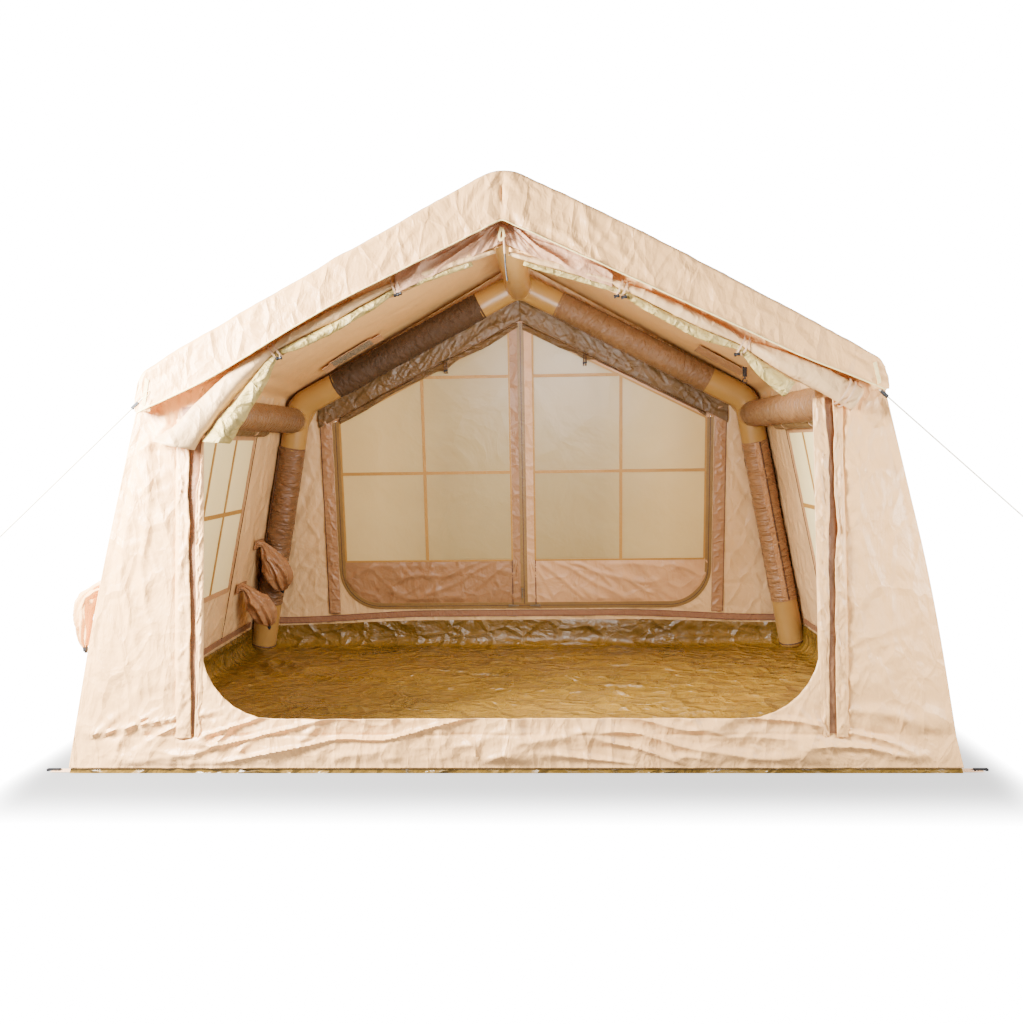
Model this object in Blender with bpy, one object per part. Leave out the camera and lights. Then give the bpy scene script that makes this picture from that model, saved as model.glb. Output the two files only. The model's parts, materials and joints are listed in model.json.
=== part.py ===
"""An inflatable ridge tent: two air arches joined by a ridge beam and two eave beams, in fabric sleeves,
under a roof sheet, with four leaning walls, a tub floor, windows, a rear door of two leaves and a rolled
front door.

Metres. X runs to the right seen from the front, Y to the rear and Z up. The origin is on the ground, under
the middle of the tent. Left and right are as seen from the front.
"""

from math import atan2, ceil, cos, hypot, pi, radians, sin, tau

import bmesh
import bpy
from mathutils import Matrix, Vector

# The outer faces of the fabric
BASE_HALF_WIDTH = 1.5
BASE_HALF_DEPTH = 1.05
EAVE_Z = 1.356
EAVE_HALF_WIDTH = 1.215
EAVE_HALF_DEPTH = 0.902
RIDGE_Z = 2.035
RIDGE_ROUNDING = 0.09
ROOF_OVERHANG = 0.06
VALANCE_MIDDLE_Z = 1.85
VALANCE_CORNER_Z = 1.27

# Fabric thicknesses, and the gap between pieces that touch
FABRIC = 0.003
SLEEVE_FABRIC = 0.0018
GAP = 0.0003

# The air tubes
TUBE_RADIUS = 0.065
BEAM_RADIUS = 0.062
TUBE_STANDOFF = 0.0735
TUBE_EAVE_DROP = 0.046
TUBE_APEX_DROP = 0.135
TUBE_EAVE_Z = EAVE_Z - TUBE_EAVE_DROP
TUBE_APEX_Z = RIDGE_Z - TUBE_APEX_DROP
ELBOW_RADIUS = 0.12
TUBE_SIDES = 16
ELBOW_STEPS = 4
CUT_OVERRUN = 0.02

# The sleeves over the air tubes
LEG_SLEEVE_LOW_Z = 0.27
LEG_SLEEVE_HIGH_Z = 1.1
RAFTER_SLEEVE_START_SHARE = 0.17
RAFTER_SLEEVE_END_SHARE = 0.83
EAVE_SLEEVE_HALF_LENGTH = 0.752

# The tub floor with its corner tabs, and the pegs' hooks
TUB_HEIGHT = 0.15
FLOOR_THICKNESS = 0.003
TUB_CLEARANCE = 0.0006
TAB_LENGTH = 0.055
TAB_WIDTH = 0.036
TAB_THICKNESS = 0.0024
TAB_LIFT = 0.0004
TAB_ROOT = 0.03
TAB_BACKSET = 0.03
TAB_HOLE_RADIUS = 0.0045
TAB_HOLE_EDGE = 0.012
HOOK_LENGTH = 0.042
HOOK_WIDTH = 0.014
HOOK_THICKNESS = 0.005
HOOK_PIN_RADIUS = 0.004
HOOK_TIP = 0.009
HOOK_LIFT = 0.0008

# The walls
WALL_FOOT_Z = 0.018
WALL_APEX_HALF_WIDTH = 0.06
FRONT_DOOR_HALF_WIDTH = 1.04
FRONT_DOOR_SILL_Z = 0.183
FRONT_DOOR_CORNER = 0.25
FRONT_DOOR_MIDDLE_Z = 1.775
FRONT_DOOR_SIDE_Z = 1.3018
REAR_DOOR_HALF_WIDTH = 0.98
REAR_DOOR_SILL_Z = 0.23
REAR_DOOR_CORNER = 0.2
REAR_DOOR_MIDDLE_Z = 1.735
REAR_DOOR_SIDE_Z = 1.245
CORNER_STEPS = 6

# The zips
TAPE_WIDTH = 0.04
TAPE_THICKNESS = 0.0015
TAPE_SUNK = 0.001
FRONT_ZIP_X = 1.095
FRONT_ZIP_LOW_Z = 0.13
FRONT_ZIP_HIGH_Z = 1.13
FRONT_ZIP_WIDTH = 0.03
SLIDER_LENGTH = 0.026
SLIDER_WIDTH = 0.013
SLIDER_THICKNESS = 0.006
SLIDER_NOSE_SHARE = 0.55
PULL_LENGTH = 0.036
PULL_WIDTH = 0.007
PULL_THICKNESS = 0.002
PULL_OVERLAP = 0.006
FRONT_SLIDER_LIFT = 0.06
REAR_SLIDER_X = 0.06

# The rear door's leaves
LEAF_SPLIT = 0.0016
LEAF_CLEARANCE = 0.0006
LEAF_TOP_CORNER = 0.012
PANE_LOW_Z = 0.478
PANE_INNER_X = 0.062
PANE_SIDE_MARGIN = 0.022
PANE_TOP_MARGIN = 0.03
PANE_THICKNESS = 0.001
MUNTIN_WIDTH = 0.02
MUNTIN_RISE = 0.0008
CROSS_MUNTIN_RISE = 0.0006
LEAF_MUNTIN_X = 0.517
LEAF_MUNTINS_Z = (0.951, 1.45)
CENTRE_TAPE_WIDTH = 0.019
CENTRE_TAPE_LOW_Z = 0.262
CENTRE_SLIDER_Z = 0.3

# The side windows and their blinds
WINDOW_HALF_WIDTH = 0.4
WINDOW_LOW_Z = 0.418
WINDOW_HIGH_Z = 1.145
WINDOW_MUNTINS_Y = (-0.135, 0.135)
WINDOW_MUNTIN_Z = 0.797
BLIND_HALF_LENGTH = 0.425
BLIND_RADIUS = 0.032
BLIND_Z = 1.18
BLIND_SIDES = 14
BLIND_ALONG_SHARES = (-1.0, -0.82, -0.62, -0.54, -0.35, 0.0, 0.35, 0.54, 0.62, 0.82, 1.0)
BLIND_RADIUS_SHARES = (0.8, 0.98, 0.8, 0.78, 1.0, 0.94, 1.0, 0.78, 0.8, 0.98, 0.8)

# The front door's two halves, rolled up along its sloping top edge: how far each place of the roll is
# along the edge, how far below it, and how thick the roll is there
ROLL_REACH = 1.15
ROLL_DROP = 0.1
ROLL_RADIUS = 0.048
MESH_ROLL_RADIUS = 0.032
ROLL_WIDTH_SHARE = 1.3
LEFT_ROLL_SHARES = (
    (0.02, 0.12, 0.3), (0.09, 0.2, 0.44), (0.18, 0.14, 0.52), (0.27, 0.12, 0.42), (0.322, 0.1, 0.3),
    (0.38, 0.14, 0.46), (0.5, 0.22, 0.62), (0.61, 0.3, 0.58), (0.69, 0.34, 0.4), (0.76, 0.55, 0.72),
    (0.83, 0.98, 0.92), (0.89, 1.55, 1.0), (0.95, 2.15, 1.0),
)
RIGHT_ROLL_SHARES = (
    (0.02, 0.12, 0.3), (0.09, 0.2, 0.42), (0.2, 0.14, 0.5), (0.3, 0.12, 0.42), (0.35, 0.1, 0.3),
    (0.41, 0.14, 0.46), (0.52, 0.2, 0.62), (0.63, 0.26, 0.56), (0.697, 0.26, 0.4), (0.76, 0.32, 0.72),
    (0.83, 0.42, 0.88), (0.91, 0.5, 0.92), (0.985, 0.62, 0.8),
)
MESH_ROLL_SKIPS = 2
MESH_ROLL_NEST = 0.0028
MESH_ROLL_END_SHARES = {-1: 0.9, 1: 0.88}
ROLL_SIDES = 14
ROLL_STEPS = 2
ROLL_FOLD_SHARE = 0.09
ROLL_FOLDS = 4
ROLL_FOLD_TURN = radians(74)

# The vents under the roof, and the strap with its hook
VENT_START_X = 0.7
VENT_END_X = 0.94
VENT_WIDTH = 0.055
VENT_RIM = 0.007
VENT_THICKNESS = 0.003
VENT_Y = 0.62
FLAP_START_X = 0.83
FLAP_END_X = 1.03
FLAP_WIDTH = 0.075
FLAP_THICKNESS = 0.003
FLAP_Y = 0.5
STRAP_X = 1.05
STRAP_Y = 0.36
STRAP_LENGTH = 0.045
STRAP_WIDTH = 0.02
STRAP_THICKNESS = 0.002
STRAP_HOLE_RADIUS = 0.0035
STRAP_HOLE_DROP = 0.036
LAMP_PIN_RADIUS = 0.003
LAMP_HOOK_THICKNESS = 0.003
LAMP_HOOK_RADIUS = 0.012
LAMP_HOOK_WIRE = 0.004
LAMP_BOW_STEPS = 12
LAMP_HOOK_SHANK = 0.02
LAMP_HOOK_OPEN = radians(70)

# The inflation valve, low on the front left leg
VALVE_Z = 0.15
VALVE_RADIUS = 0.022
VALVE_BORE = 0.012
VALVE_STEM_BORE = 0.0045
VALVE_DEPTH = 0.02
VALVE_BASE = 0.004
VALVE_LIP = 0.006
VALVE_POCKET_SPARE = 0.012
VALVE_CLEARANCE = 0.0004
CAP_WALL = 0.003
CAP_HEIGHT = 0.012
CAP_GRIP = 0.006
CAP_CLEARANCE = 0.0005
POPPET_HEAD_RADIUS = 0.009
POPPET_HEAD_HEIGHT = 0.004
POPPET_STEM_RADIUS = 0.0038
POPPET_TRAVEL = 0.006
POPPET_SEAT = 0.008
TURNED_SIDES = 20

# The cable ports: patch, crumpled sleeve, cord lock and its button
PATCH_WIDTH = 0.15
PATCH_HEIGHT = 0.05
PATCH_THICKNESS = 0.0025
PORT_SIDES = 12
PORT_FOLDS = 4
PORT_FOLD_SHARE = 0.13
PORT_STEPS = 2
PORT_MOUTH_RADIUS = 0.019
PORT_MOUTH_HALF_WIDTH = 0.055
LOCK_RADIUS = 0.009
LOCK_LENGTH = 0.024
LOCK_BORE = 0.006
LOCK_BORE_DEPTH = 0.013
LOCK_SINK = 0.01
BUTTON_RADIUS = 0.0054
BUTTON_PROUD = 0.006
BUTTON_TRAVEL = 0.005
BUTTON_SIDES = 12

# Each port: whether it is inside, the end wall that it is near, the place of its mouth in the left wall as
# (distance from the end wall, z), and the places that its sleeve hangs through, as (distance from the left
# wall, distance from the end wall, z, radius, half width)
CABLE_PORTS = {
    "upper": (
        True,
        1,
        (0.205, 0.6),
        (
            (0.035, 0.206, 0.59, 0.024, 0.045),
            (0.075, 0.207, 0.53, 0.032, 0.036),
            (0.128, 0.2, 0.45, 0.034, 0.034),
            (0.15, 0.183, 0.385, 0.025, 0.025),
            (0.157, 0.167, 0.35, 0.008, 0.008),
        ),
    ),
    "lower": (
        True,
        1,
        (0.406, 0.4),
        (
            (0.035, 0.407, 0.39, 0.024, 0.05),
            (0.08, 0.398, 0.335, 0.033, 0.042),
            (0.13, 0.38, 0.27, 0.034, 0.034),
            (0.155, 0.361, 0.22, 0.024, 0.024),
            (0.163, 0.354, 0.19, 0.008, 0.008),
        ),
    ),
    "outer": (
        False,
        -1,
        (0.102, 0.62),
        (
            (0.035, 0.103, 0.61, 0.024, 0.05),
            (0.08, 0.104, 0.56, 0.034, 0.042),
            (0.09, 0.102, 0.49, 0.034, 0.036),
            (0.085, 0.102, 0.435, 0.022, 0.024),
            (0.075, 0.101, 0.405, 0.008, 0.008),
        ),
    ),
}

# The guylines and their runners
GUY_RADIUS = 0.0025
GUY_END_X = 1.765
GUY_END_Z = 0.783
GUY_START_Z = 1.276
GUY_STEP_DIAMETERS = 3
RUNNER_LENGTH = 0.03
RUNNER_WIDTH = 0.012
RUNNER_THICKNESS = 0.008
RUNNER_BORE = 0.0034
RUNNER_START = 0.03
BORE_SIDES = 12

LEFT, RIGHT = -1, 1
FRONT, REAR = -1, 1

SIDE_LEAN = (BASE_HALF_WIDTH - EAVE_HALF_WIDTH) / EAVE_Z
END_LEAN = (BASE_HALF_DEPTH - EAVE_HALF_DEPTH) / EAVE_Z
ROOF_FALL = (RIDGE_Z - EAVE_Z) / EAVE_HALF_WIDTH
VALANCE_FALL = (VALANCE_MIDDLE_Z - VALANCE_CORNER_Z) / EAVE_HALF_WIDTH
FRONT_DOOR_FALL = (FRONT_DOOR_MIDDLE_Z - FRONT_DOOR_SIDE_Z) / FRONT_DOOR_HALF_WIDTH
REAR_DOOR_FALL = (REAR_DOOR_MIDDLE_Z - REAR_DOOR_SIDE_Z) / REAR_DOOR_HALF_WIDTH

# Colour as seen on screen, roughness and metallic value of each finish
FINISHES = {
    "cream_fabric": ((240, 222, 203), 0.75, 0.0),
    "tan_fabric": ((205, 168, 135), 0.75, 0.0),
    "brown_fabric": ((150, 110, 75), 0.7, 0.0),
    "gold_film": ((200, 160, 95), 0.35, 0.0),
    "gold_sheet": ((170, 125, 55), 0.35, 0.0),
    "pale_mesh": ((230, 220, 172), 0.7, 0.0),
    "clear_film": ((215, 208, 192), 0.3, 0.0),
    "webbing": ((190, 150, 85), 0.75, 0.0),
    "black_plastic": ((22, 22, 24), 0.4, 0.0),
    "zip_metal": ((120, 112, 100), 0.35, 0.9),
    "guy_cord": ((226, 216, 170), 0.8, 0.0),
}


def linear(channel):
    """A colour channel from 0 to 255 as shown on screen, as the linear value that a shader takes."""
    share = channel / 255
    return share / 12.92 if share <= 0.04045 else ((share + 0.055) / 1.055) ** 2.4


def finished(obj, finish):
    """Gives the object a material of its own."""
    colour, roughness, metallic = FINISHES[finish]
    material = bpy.data.materials.new(f"{obj.name}_{finish}")
    material.use_nodes = True
    shader = material.node_tree.nodes["Principled BSDF"]
    shader.inputs["Base Color"].default_value = (*map(linear, colour), 1)
    shader.inputs["Roughness"].default_value = roughness
    shader.inputs["Metallic"].default_value = metallic
    obj.data.materials.append(material)
    return obj


def made(name, bm, finish, place=None, smooth=False):
    """Turns a bmesh into a named object, placed by a matrix."""
    bmesh.ops.recalc_face_normals(bm, faces=bm.faces[:])
    mesh = bpy.data.meshes.new(name)
    bm.to_mesh(mesh)
    bm.free()
    if smooth:
        mesh.shade_smooth()
        mesh.set_sharp_from_angle(angle=radians(40))
    obj = bpy.data.objects.new(name, mesh)
    bpy.context.scene.collection.objects.link(obj)
    obj.matrix_world = place or Matrix()
    return finished(obj, finish)


def combined(obj, tool, operation):
    """Joins the tool to the object or cuts it out, and leaves the tool as a hidden guide."""
    tool.hide_render = True
    tool.display_type = "WIRE"
    boolean = obj.modifiers.new(f"{operation.lower()}_{tool.name}", "BOOLEAN")
    boolean.operation = operation
    boolean.solver = "EXACT"
    boolean.object = tool
    return obj


def joined(obj, tool):
    return combined(obj, tool, "UNION")


def cut(obj, tool):
    return combined(obj, tool, "DIFFERENCE")


def plate(name, loops, low, high, finish, place=None):
    """A flat piece: an outline, and any holes, filled in the XY plane and given its thickness along Z."""
    bm = bmesh.new()
    edges = []
    for loop in loops:
        corners = [bm.verts.new((u, v, low)) for u, v in loop]
        edges += [bm.edges.new(pair) for pair in zip(corners, corners[1:] + corners[:1])]
    bmesh.ops.triangle_fill(bm, use_beauty=True, use_dissolve=False, edges=edges)
    grown = bmesh.ops.extrude_face_region(bm, geom=bm.faces[:])["geom"]
    far = [item for item in grown if isinstance(item, bmesh.types.BMVert)]
    bmesh.ops.translate(bm, verts=far, vec=(0, 0, high - low))
    return made(name, bm, finish, place)


def rectangle(u_low, u_high, v_low, v_high):
    return [(u_low, v_low), (u_high, v_low), (u_high, v_high), (u_low, v_high)]


def arc(centre, radius, start, end, steps):
    """Points on an arc, both ends included."""
    turns = [start + (end - start) * step / steps for step in range(steps + 1)]
    return [(centre[0] + radius * cos(turn), centre[1] + radius * sin(turn)) for turn in turns]


def rounded(corners, radii, steps=CORNER_STEPS, closed=True):
    """An outline whose corners are turned into arcs of the given radii, where a radius isn't zero."""
    points = []
    last = len(corners) - 1
    for index, (corner, radius) in enumerate(zip(corners, radii)):
        if not radius or (not closed and index in (0, last)):
            points.append(tuple(corner))
            continue
        here = Vector(corner)
        back = (Vector(corners[index - 1]) - here).normalized()
        ahead = (Vector(corners[(index + 1) % len(corners)]) - here).normalized()
        half = back.angle(ahead) / 2
        centre = here + (back + ahead).normalized() * radius / sin(half)
        start = here + back * radius * cos(half) / sin(half) - centre
        end = here + ahead * radius * cos(half) / sin(half) - centre
        first = atan2(start.y, start.x)
        turn = (atan2(end.y, end.x) - first + pi) % tau - pi
        points += arc(centre, radius, first, first + turn, steps)
    return points


def circle(centre, radius, sides):
    return arc(centre, radius, 0, tau * (sides - 1) / sides, sides - 1)


def sweep(bm, stations, sides, filled=True):
    """A tube through the stations, which are matrices that place a unit circle. Returns its rings."""
    rings = [list(bmesh.ops.create_circle(bm, segments=sides, radius=1, matrix=stations[0])["verts"])]
    for here, following in zip(stations, stations[1:]):
        inside = set(rings[-1])
        edges = {edge for vert in inside for edge in vert.link_edges if set(edge.verts) <= inside}
        grown = bmesh.ops.extrude_edge_only(bm, edges=list(edges))["geom"]
        rings.append([item for item in grown if isinstance(item, bmesh.types.BMVert)])
        bmesh.ops.transform(bm, verts=rings[-1], matrix=following @ here.inverted())
    if filled:
        bmesh.ops.holes_fill(bm, edges=bm.edges[:], sides=0)
    return rings


def station(centre, across, normal, along, radius, stretch=1):
    """The matrix that places a unit circle of this radius, stretched across at a mitre."""
    place = Matrix((across * radius * stretch, normal * radius, along * radius)).transposed().to_4x4()
    place.translation = centre
    return place


def turned(name, profile, sides, finish, place):
    """A piece turned on its Z axis from a closed profile of (radius, height)."""
    bm = bmesh.new()
    verts = [bm.verts.new((radius, 0, height)) for radius, height in profile]
    edges = [bm.edges.new(pair) for pair in zip(verts, verts[1:] + verts[:1])]
    bmesh.ops.spin(
        bm, geom=verts + edges, cent=(0, 0, 0), axis=(0, 0, 1), angle=tau, steps=sides, use_merge=True
    )
    bmesh.ops.remove_doubles(bm, verts=bm.verts[:], dist=GAP / 30)
    return made(name, bm, finish, place, smooth=True)


def side_x(z):
    """How far the outer face of a side wall is from the middle at this height."""
    return BASE_HALF_WIDTH - SIDE_LEAN * z


def end_y(z):
    """How far the outer face of the front or rear wall is from the middle at this height."""
    return BASE_HALF_DEPTH - END_LEAN * z


def roof_z(x):
    """The height of the roof sheet's outer face, without its rounded ridge."""
    return RIDGE_Z - ROOF_FALL * abs(x)


def frame(origin, right, up):
    """The place of a flat wall: its X runs right and its Y up as seen from outside, and its Z points out."""
    right, up = Vector(right).normalized(), Vector(up).normalized()
    place = Matrix((right, up, right.cross(up))).transposed().to_4x4()
    place.translation = Vector(origin)
    return place


def end_frame(end):
    return frame((0, end * BASE_HALF_DEPTH, 0), (-end, 0, 0), (0, -end * END_LEAN, 1))


def side_frame(side):
    return frame((side * BASE_HALF_WIDTH, 0, 0), (0, side, 0), (-side * SIDE_LEAN, 0, 1))


def roof_frame(side):
    return frame((0, 0, RIDGE_Z), (0, side, 0), (-side, 0, ROOF_FALL))


def on_slope(points, lean):
    """Points given by their height, stretched along the slope of a leaning wall."""
    return [(across, height * hypot(1, lean)) for across, height in points]


# The air frame


def tube_standoff(lean):
    """How far a tube's axis is inside the outer face of a leaning wall, measured level."""
    return TUBE_STANDOFF * hypot(1, lean)


def tube_x(z):
    return side_x(z) - tube_standoff(SIDE_LEAN)


def arch_point(end, x, z):
    return Vector((x, end * (end_y(z) - tube_standoff(END_LEAN)), z))


def arch_normal(end):
    return Vector((0, 1, end * END_LEAN)).normalized()


def arch_corners():
    """The arch's axis seen from the front, from the left foot to the right, without its bends."""
    foot = FLOOR_THICKNESS + GAP
    half = [(tube_x(foot), foot), (tube_x(TUBE_EAVE_Z), TUBE_EAVE_Z)]
    return [(-x, z) for x, z in half] + [(0, TUBE_APEX_Z)] + half[::-1]


def arch_axis(end):
    bent = rounded(arch_corners(), (0, ELBOW_RADIUS, ELBOW_RADIUS, ELBOW_RADIUS, 0), ELBOW_STEPS, False)
    return [arch_point(end, x, z) for x, z in bent]


def bend_middle(end, corner):
    """The middle of the arch's bend: 1 is the left elbow, 2 the apex and 3 the right elbow."""
    return arch_axis(end)[1 + (corner - 1) * (ELBOW_STEPS + 1) + ELBOW_STEPS // 2]


def axis_stations(axis, normal, radius):
    """Rings along an axis that lies in one plane, mitred at its bends."""
    found = []
    for index, here in enumerate(axis):
        back = (here - axis[max(index - 1, 0)]).normalized()
        ahead = (axis[min(index + 1, len(axis) - 1)] - here).normalized()
        along = (back + ahead).normalized()
        bend = back.angle(ahead) / 2 if back.length and ahead.length else 0
        found.append(station(here, normal.cross(along), normal, along, radius, 1 / cos(bend)))
    return found


def set_on_floor(ring, along, floor_z):
    """Slides a tube's end ring along the tube until it is level at this height."""
    for vert in ring:
        vert.co += along * (floor_z - vert.co.z) / along.z


def arch(name, end, radius):
    axis = arch_axis(end)
    bm = bmesh.new()
    rings = sweep(bm, axis_stations(axis, arch_normal(end), radius), TUBE_SIDES)
    set_on_floor(rings[0], axis[1] - axis[0], axis[0].z)
    set_on_floor(rings[-1], axis[-2] - axis[-1], axis[-1].z)
    return made(name, bm, "gold_film", smooth=True)


def beam(name, start, end, cutters):
    """A straight air beam whose ends are cut to saddle on the arches."""
    along = (end - start).normalized()
    across = Vector((0, 0, 1))
    bm = bmesh.new()
    stations = [station(point, across, along.cross(across), along, BEAM_RADIUS) for point in (start, end)]
    sweep(bm, stations, TUBE_SIDES)
    obj = made(name, bm, "gold_film", smooth=True)
    for cutter in cutters:
        cut(obj, cutter)
    return obj


def sleeve(name, start, end, normal, radius):
    """A fabric sleeve on a straight stretch of tube: an open tube that Solidify gives its thickness."""
    along = (end - start).normalized()
    bm = bmesh.new()
    stations = [station(point, normal.cross(along), normal, along, radius + GAP) for point in (start, end)]
    sweep(bm, stations, TUBE_SIDES, filled=False)
    obj = made(name, bm, "brown_fabric", smooth=True)
    thicken(obj, SLEEVE_FABRIC, 1)
    return obj


def thicken(obj, thickness, offset):
    solidify = obj.modifiers.new("thickness", "SOLIDIFY")
    solidify.thickness = thickness
    solidify.offset = offset
    solidify.use_even_offset = True


def air_frame():
    cutters = []
    for end, word in ((FRONT, "front"), (REAR, "rear")):
        tube = arch(f"{word}_arch_tube", end, TUBE_RADIUS)
        if end == FRONT:
            cut(tube, valve_pocket())
        cutters.append(arch(f"{word}_arch_cutter", end, TUBE_RADIUS + GAP))
    for name, corner in (("left_eave_beam", 1), ("ridge_beam", 2), ("right_eave_beam", 3)):
        beam(name, bend_middle(FRONT, corner), bend_middle(REAR, corner), cutters)


def sleeves():
    elbow_x, elbow_z = tube_x(TUBE_EAVE_Z), TUBE_EAVE_Z
    shares = (RAFTER_SLEEVE_START_SHARE, RAFTER_SLEEVE_END_SHARE)
    for end, end_word in ((FRONT, "front"), (REAR, "rear")):
        normal = arch_normal(end)
        for side, side_word in ((LEFT, "left"), (RIGHT, "right")):
            leg = [arch_point(end, side * tube_x(z), z) for z in (LEG_SLEEVE_LOW_Z, LEG_SLEEVE_HIGH_Z)]
            sleeve(f"{end_word}_{side_word}_leg_sleeve", *leg, normal, TUBE_RADIUS)
            rafter = [
                arch_point(end, side * elbow_x * (1 - share), elbow_z + (TUBE_APEX_Z - elbow_z) * share)
                for share in shares
            ]
            sleeve(f"{end_word}_{side_word}_rafter_sleeve", *rafter, normal, TUBE_RADIUS)
    for side, word in ((LEFT, "left"), (RIGHT, "right")):
        middle = bend_middle(FRONT, 2 + side)
        ends = [Vector((middle.x, end * EAVE_SLEEVE_HALF_LENGTH, middle.z)) for end in (FRONT, REAR)]
        sleeve(f"{word}_eave_sleeve", *ends, Vector((1, 0, 0)), BEAM_RADIUS)


# The floor, its tabs and the hooks on them


def set_tub_corners(verts, z, inset):
    """Moves four points to the tub's corners at this height, this far inside its outer faces."""
    for vert in verts:
        side, end = (RIGHT if vert.co.x > 0 else LEFT), (REAR if vert.co.y > 0 else FRONT)
        x = side_x(z) - (FABRIC + TUB_CLEARANCE + inset) * hypot(1, SIDE_LEAN)
        y = end_y(z) - (FABRIC + TUB_CLEARANCE + inset) * hypot(1, END_LEAN)
        vert.co = (side * x, end * y, z)


def groundsheet():
    """A block with leaning sides, whose top is inset and pushed down to leave the floor and its edge."""
    bm = bmesh.new()
    bmesh.ops.create_cube(bm)
    set_tub_corners([vert for vert in bm.verts if vert.co.z < 0], 0, 0)
    set_tub_corners([vert for vert in bm.verts if vert.co.z > 0], TUB_HEIGHT, 0)
    bm.normal_update()
    top = max(bm.faces, key=lambda face: face.normal.z)
    bmesh.ops.inset_region(bm, faces=[top], thickness=FABRIC)
    set_tub_corners(top.verts, TUB_HEIGHT, FABRIC)
    sunk = bmesh.ops.extrude_face_region(bm, geom=[top])["geom"]
    bmesh.ops.delete(bm, geom=[top], context="FACES_ONLY")
    set_tub_corners([item for item in sunk if isinstance(item, bmesh.types.BMVert)], FLOOR_THICKNESS, FABRIC)
    sheet = made("groundsheet", bm, "gold_sheet")
    for side in (LEFT, RIGHT):
        for end in (FRONT, REAR):
            joined(sheet, corner_tab(side, end))


def tab_hole(side, end):
    return (side * (BASE_HALF_WIDTH + TAB_LENGTH - TAB_HOLE_EDGE), end * (BASE_HALF_DEPTH - TAB_BACKSET))


def corner_tab(side, end):
    x, y = tab_hole(side, end)
    half = TAB_WIDTH / 2
    inner, outer = side * (BASE_HALF_WIDTH - TAB_ROOT), side * (BASE_HALF_WIDTH + TAB_LENGTH)
    outline = rectangle(min(inner, outer), max(inner, outer), y - half, y + half)
    hole = circle((x, y), TAB_HOLE_RADIUS, BORE_SIDES)
    name = f"tab_{side}_{end}"
    return plate(name, [outline, hole], TAB_LIFT, TAB_LIFT + TAB_THICKNESS, "webbing")


def peg_hooks():
    """A hook that turns in the hole of each tab: an arm on a pin, with its tip turned down."""
    for side, side_word in ((LEFT, "left"), (RIGHT, "right")):
        for end, end_word in ((FRONT, "front"), (REAR, "rear")):
            place = Matrix.Translation((*tab_hole(side, end), 0)) @ Matrix.Scale(side, 4, (1, 0, 0))
            low = TAB_LIFT + TAB_THICKNESS + GAP
            half = HOOK_WIDTH / 2
            bar = arc((0, 0), half, pi / 2, 3 * pi / 2, CORNER_STEPS) + [
                (HOOK_LENGTH, -half),
                (HOOK_LENGTH, half),
            ]
            name = f"{end_word}_{side_word}_peg_hook"
            arm = plate(name, [bar], low, low + HOOK_THICKNESS, "black_plastic", place)
            sunk = low + HOOK_THICKNESS / 2
            pin = circle((0, 0), HOOK_PIN_RADIUS, BORE_SIDES)
            tip = rectangle(HOOK_LENGTH - HOOK_TIP, HOOK_LENGTH - GAP, GAP - half, half - GAP)
            for word, outline in (("pin", pin), ("tip", tip)):
                joined(arm, plate(f"{name}_{word}", [outline], HOOK_LIFT, sunk, "black_plastic", place))


# The walls and the roof


def wall_top(x):
    """The height that a wall reaches under the roof sheet."""
    return roof_z(x) - (FABRIC + GAP) * hypot(1, ROOF_FALL)


def wall_eave_z():
    """The height at which a side wall's outer face meets the underside of the roof sheet."""
    return (wall_top(0) - ROOF_FALL * BASE_HALF_WIDTH) / (1 - ROOF_FALL * SIDE_LEAN)


def gable_outline():
    half = [
        (side_x(WALL_FOOT_Z), WALL_FOOT_Z),
        (side_x(wall_eave_z()), wall_eave_z()),
        (WALL_APEX_HALF_WIDTH, wall_top(WALL_APEX_HALF_WIDTH)),
    ]
    return half + [(-x, z) for x, z in half[::-1]]


def door_outline(half_width, sill_z, side_z, middle_z, corner):
    half = [(half_width, sill_z), (half_width, side_z)]
    left = [(-x, z) for x, z in half]
    return rounded([left[0], *half, (0, middle_z), left[1]], (corner, corner, 0, 0, 0))


def front_door_top(x):
    return FRONT_DOOR_MIDDLE_Z - FRONT_DOOR_FALL * abs(x)


def rear_door_top(x):
    return REAR_DOOR_MIDDLE_Z - REAR_DOOR_FALL * abs(x)


def front_wall():
    heights = (FRONT_DOOR_SILL_Z, FRONT_DOOR_SIDE_Z, FRONT_DOOR_MIDDLE_Z)
    opening = door_outline(FRONT_DOOR_HALF_WIDTH, *heights, FRONT_DOOR_CORNER)
    loops = [on_slope(loop, END_LEAN) for loop in (gable_outline(), opening)]
    wall = plate("front_wall", loops, -FABRIC, 0, "cream_fabric", end_frame(FRONT))
    half = FRONT_ZIP_WIDTH / 2
    for side in (LEFT, RIGHT):
        x = side * FRONT_ZIP_X
        outline = on_slope(rectangle(x - half, x + half, FRONT_ZIP_LOW_Z, FRONT_ZIP_HIGH_Z), END_LEAN)
        name = f"front_zip_tape_{side}"
        joined(wall, plate(name, [outline], -TAPE_SUNK, TAPE_THICKNESS, "brown_fabric", end_frame(FRONT)))


def rear_wall():
    heights = (REAR_DOOR_SILL_Z, REAR_DOOR_SIDE_Z, REAR_DOOR_MIDDLE_Z)
    opening = door_outline(REAR_DOOR_HALF_WIDTH, *heights, REAR_DOOR_CORNER)
    loops = [on_slope(loop, END_LEAN) for loop in (gable_outline(), opening)]
    plate("rear_wall", loops, -FABRIC, 0, "tan_fabric", end_frame(REAR))


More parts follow.
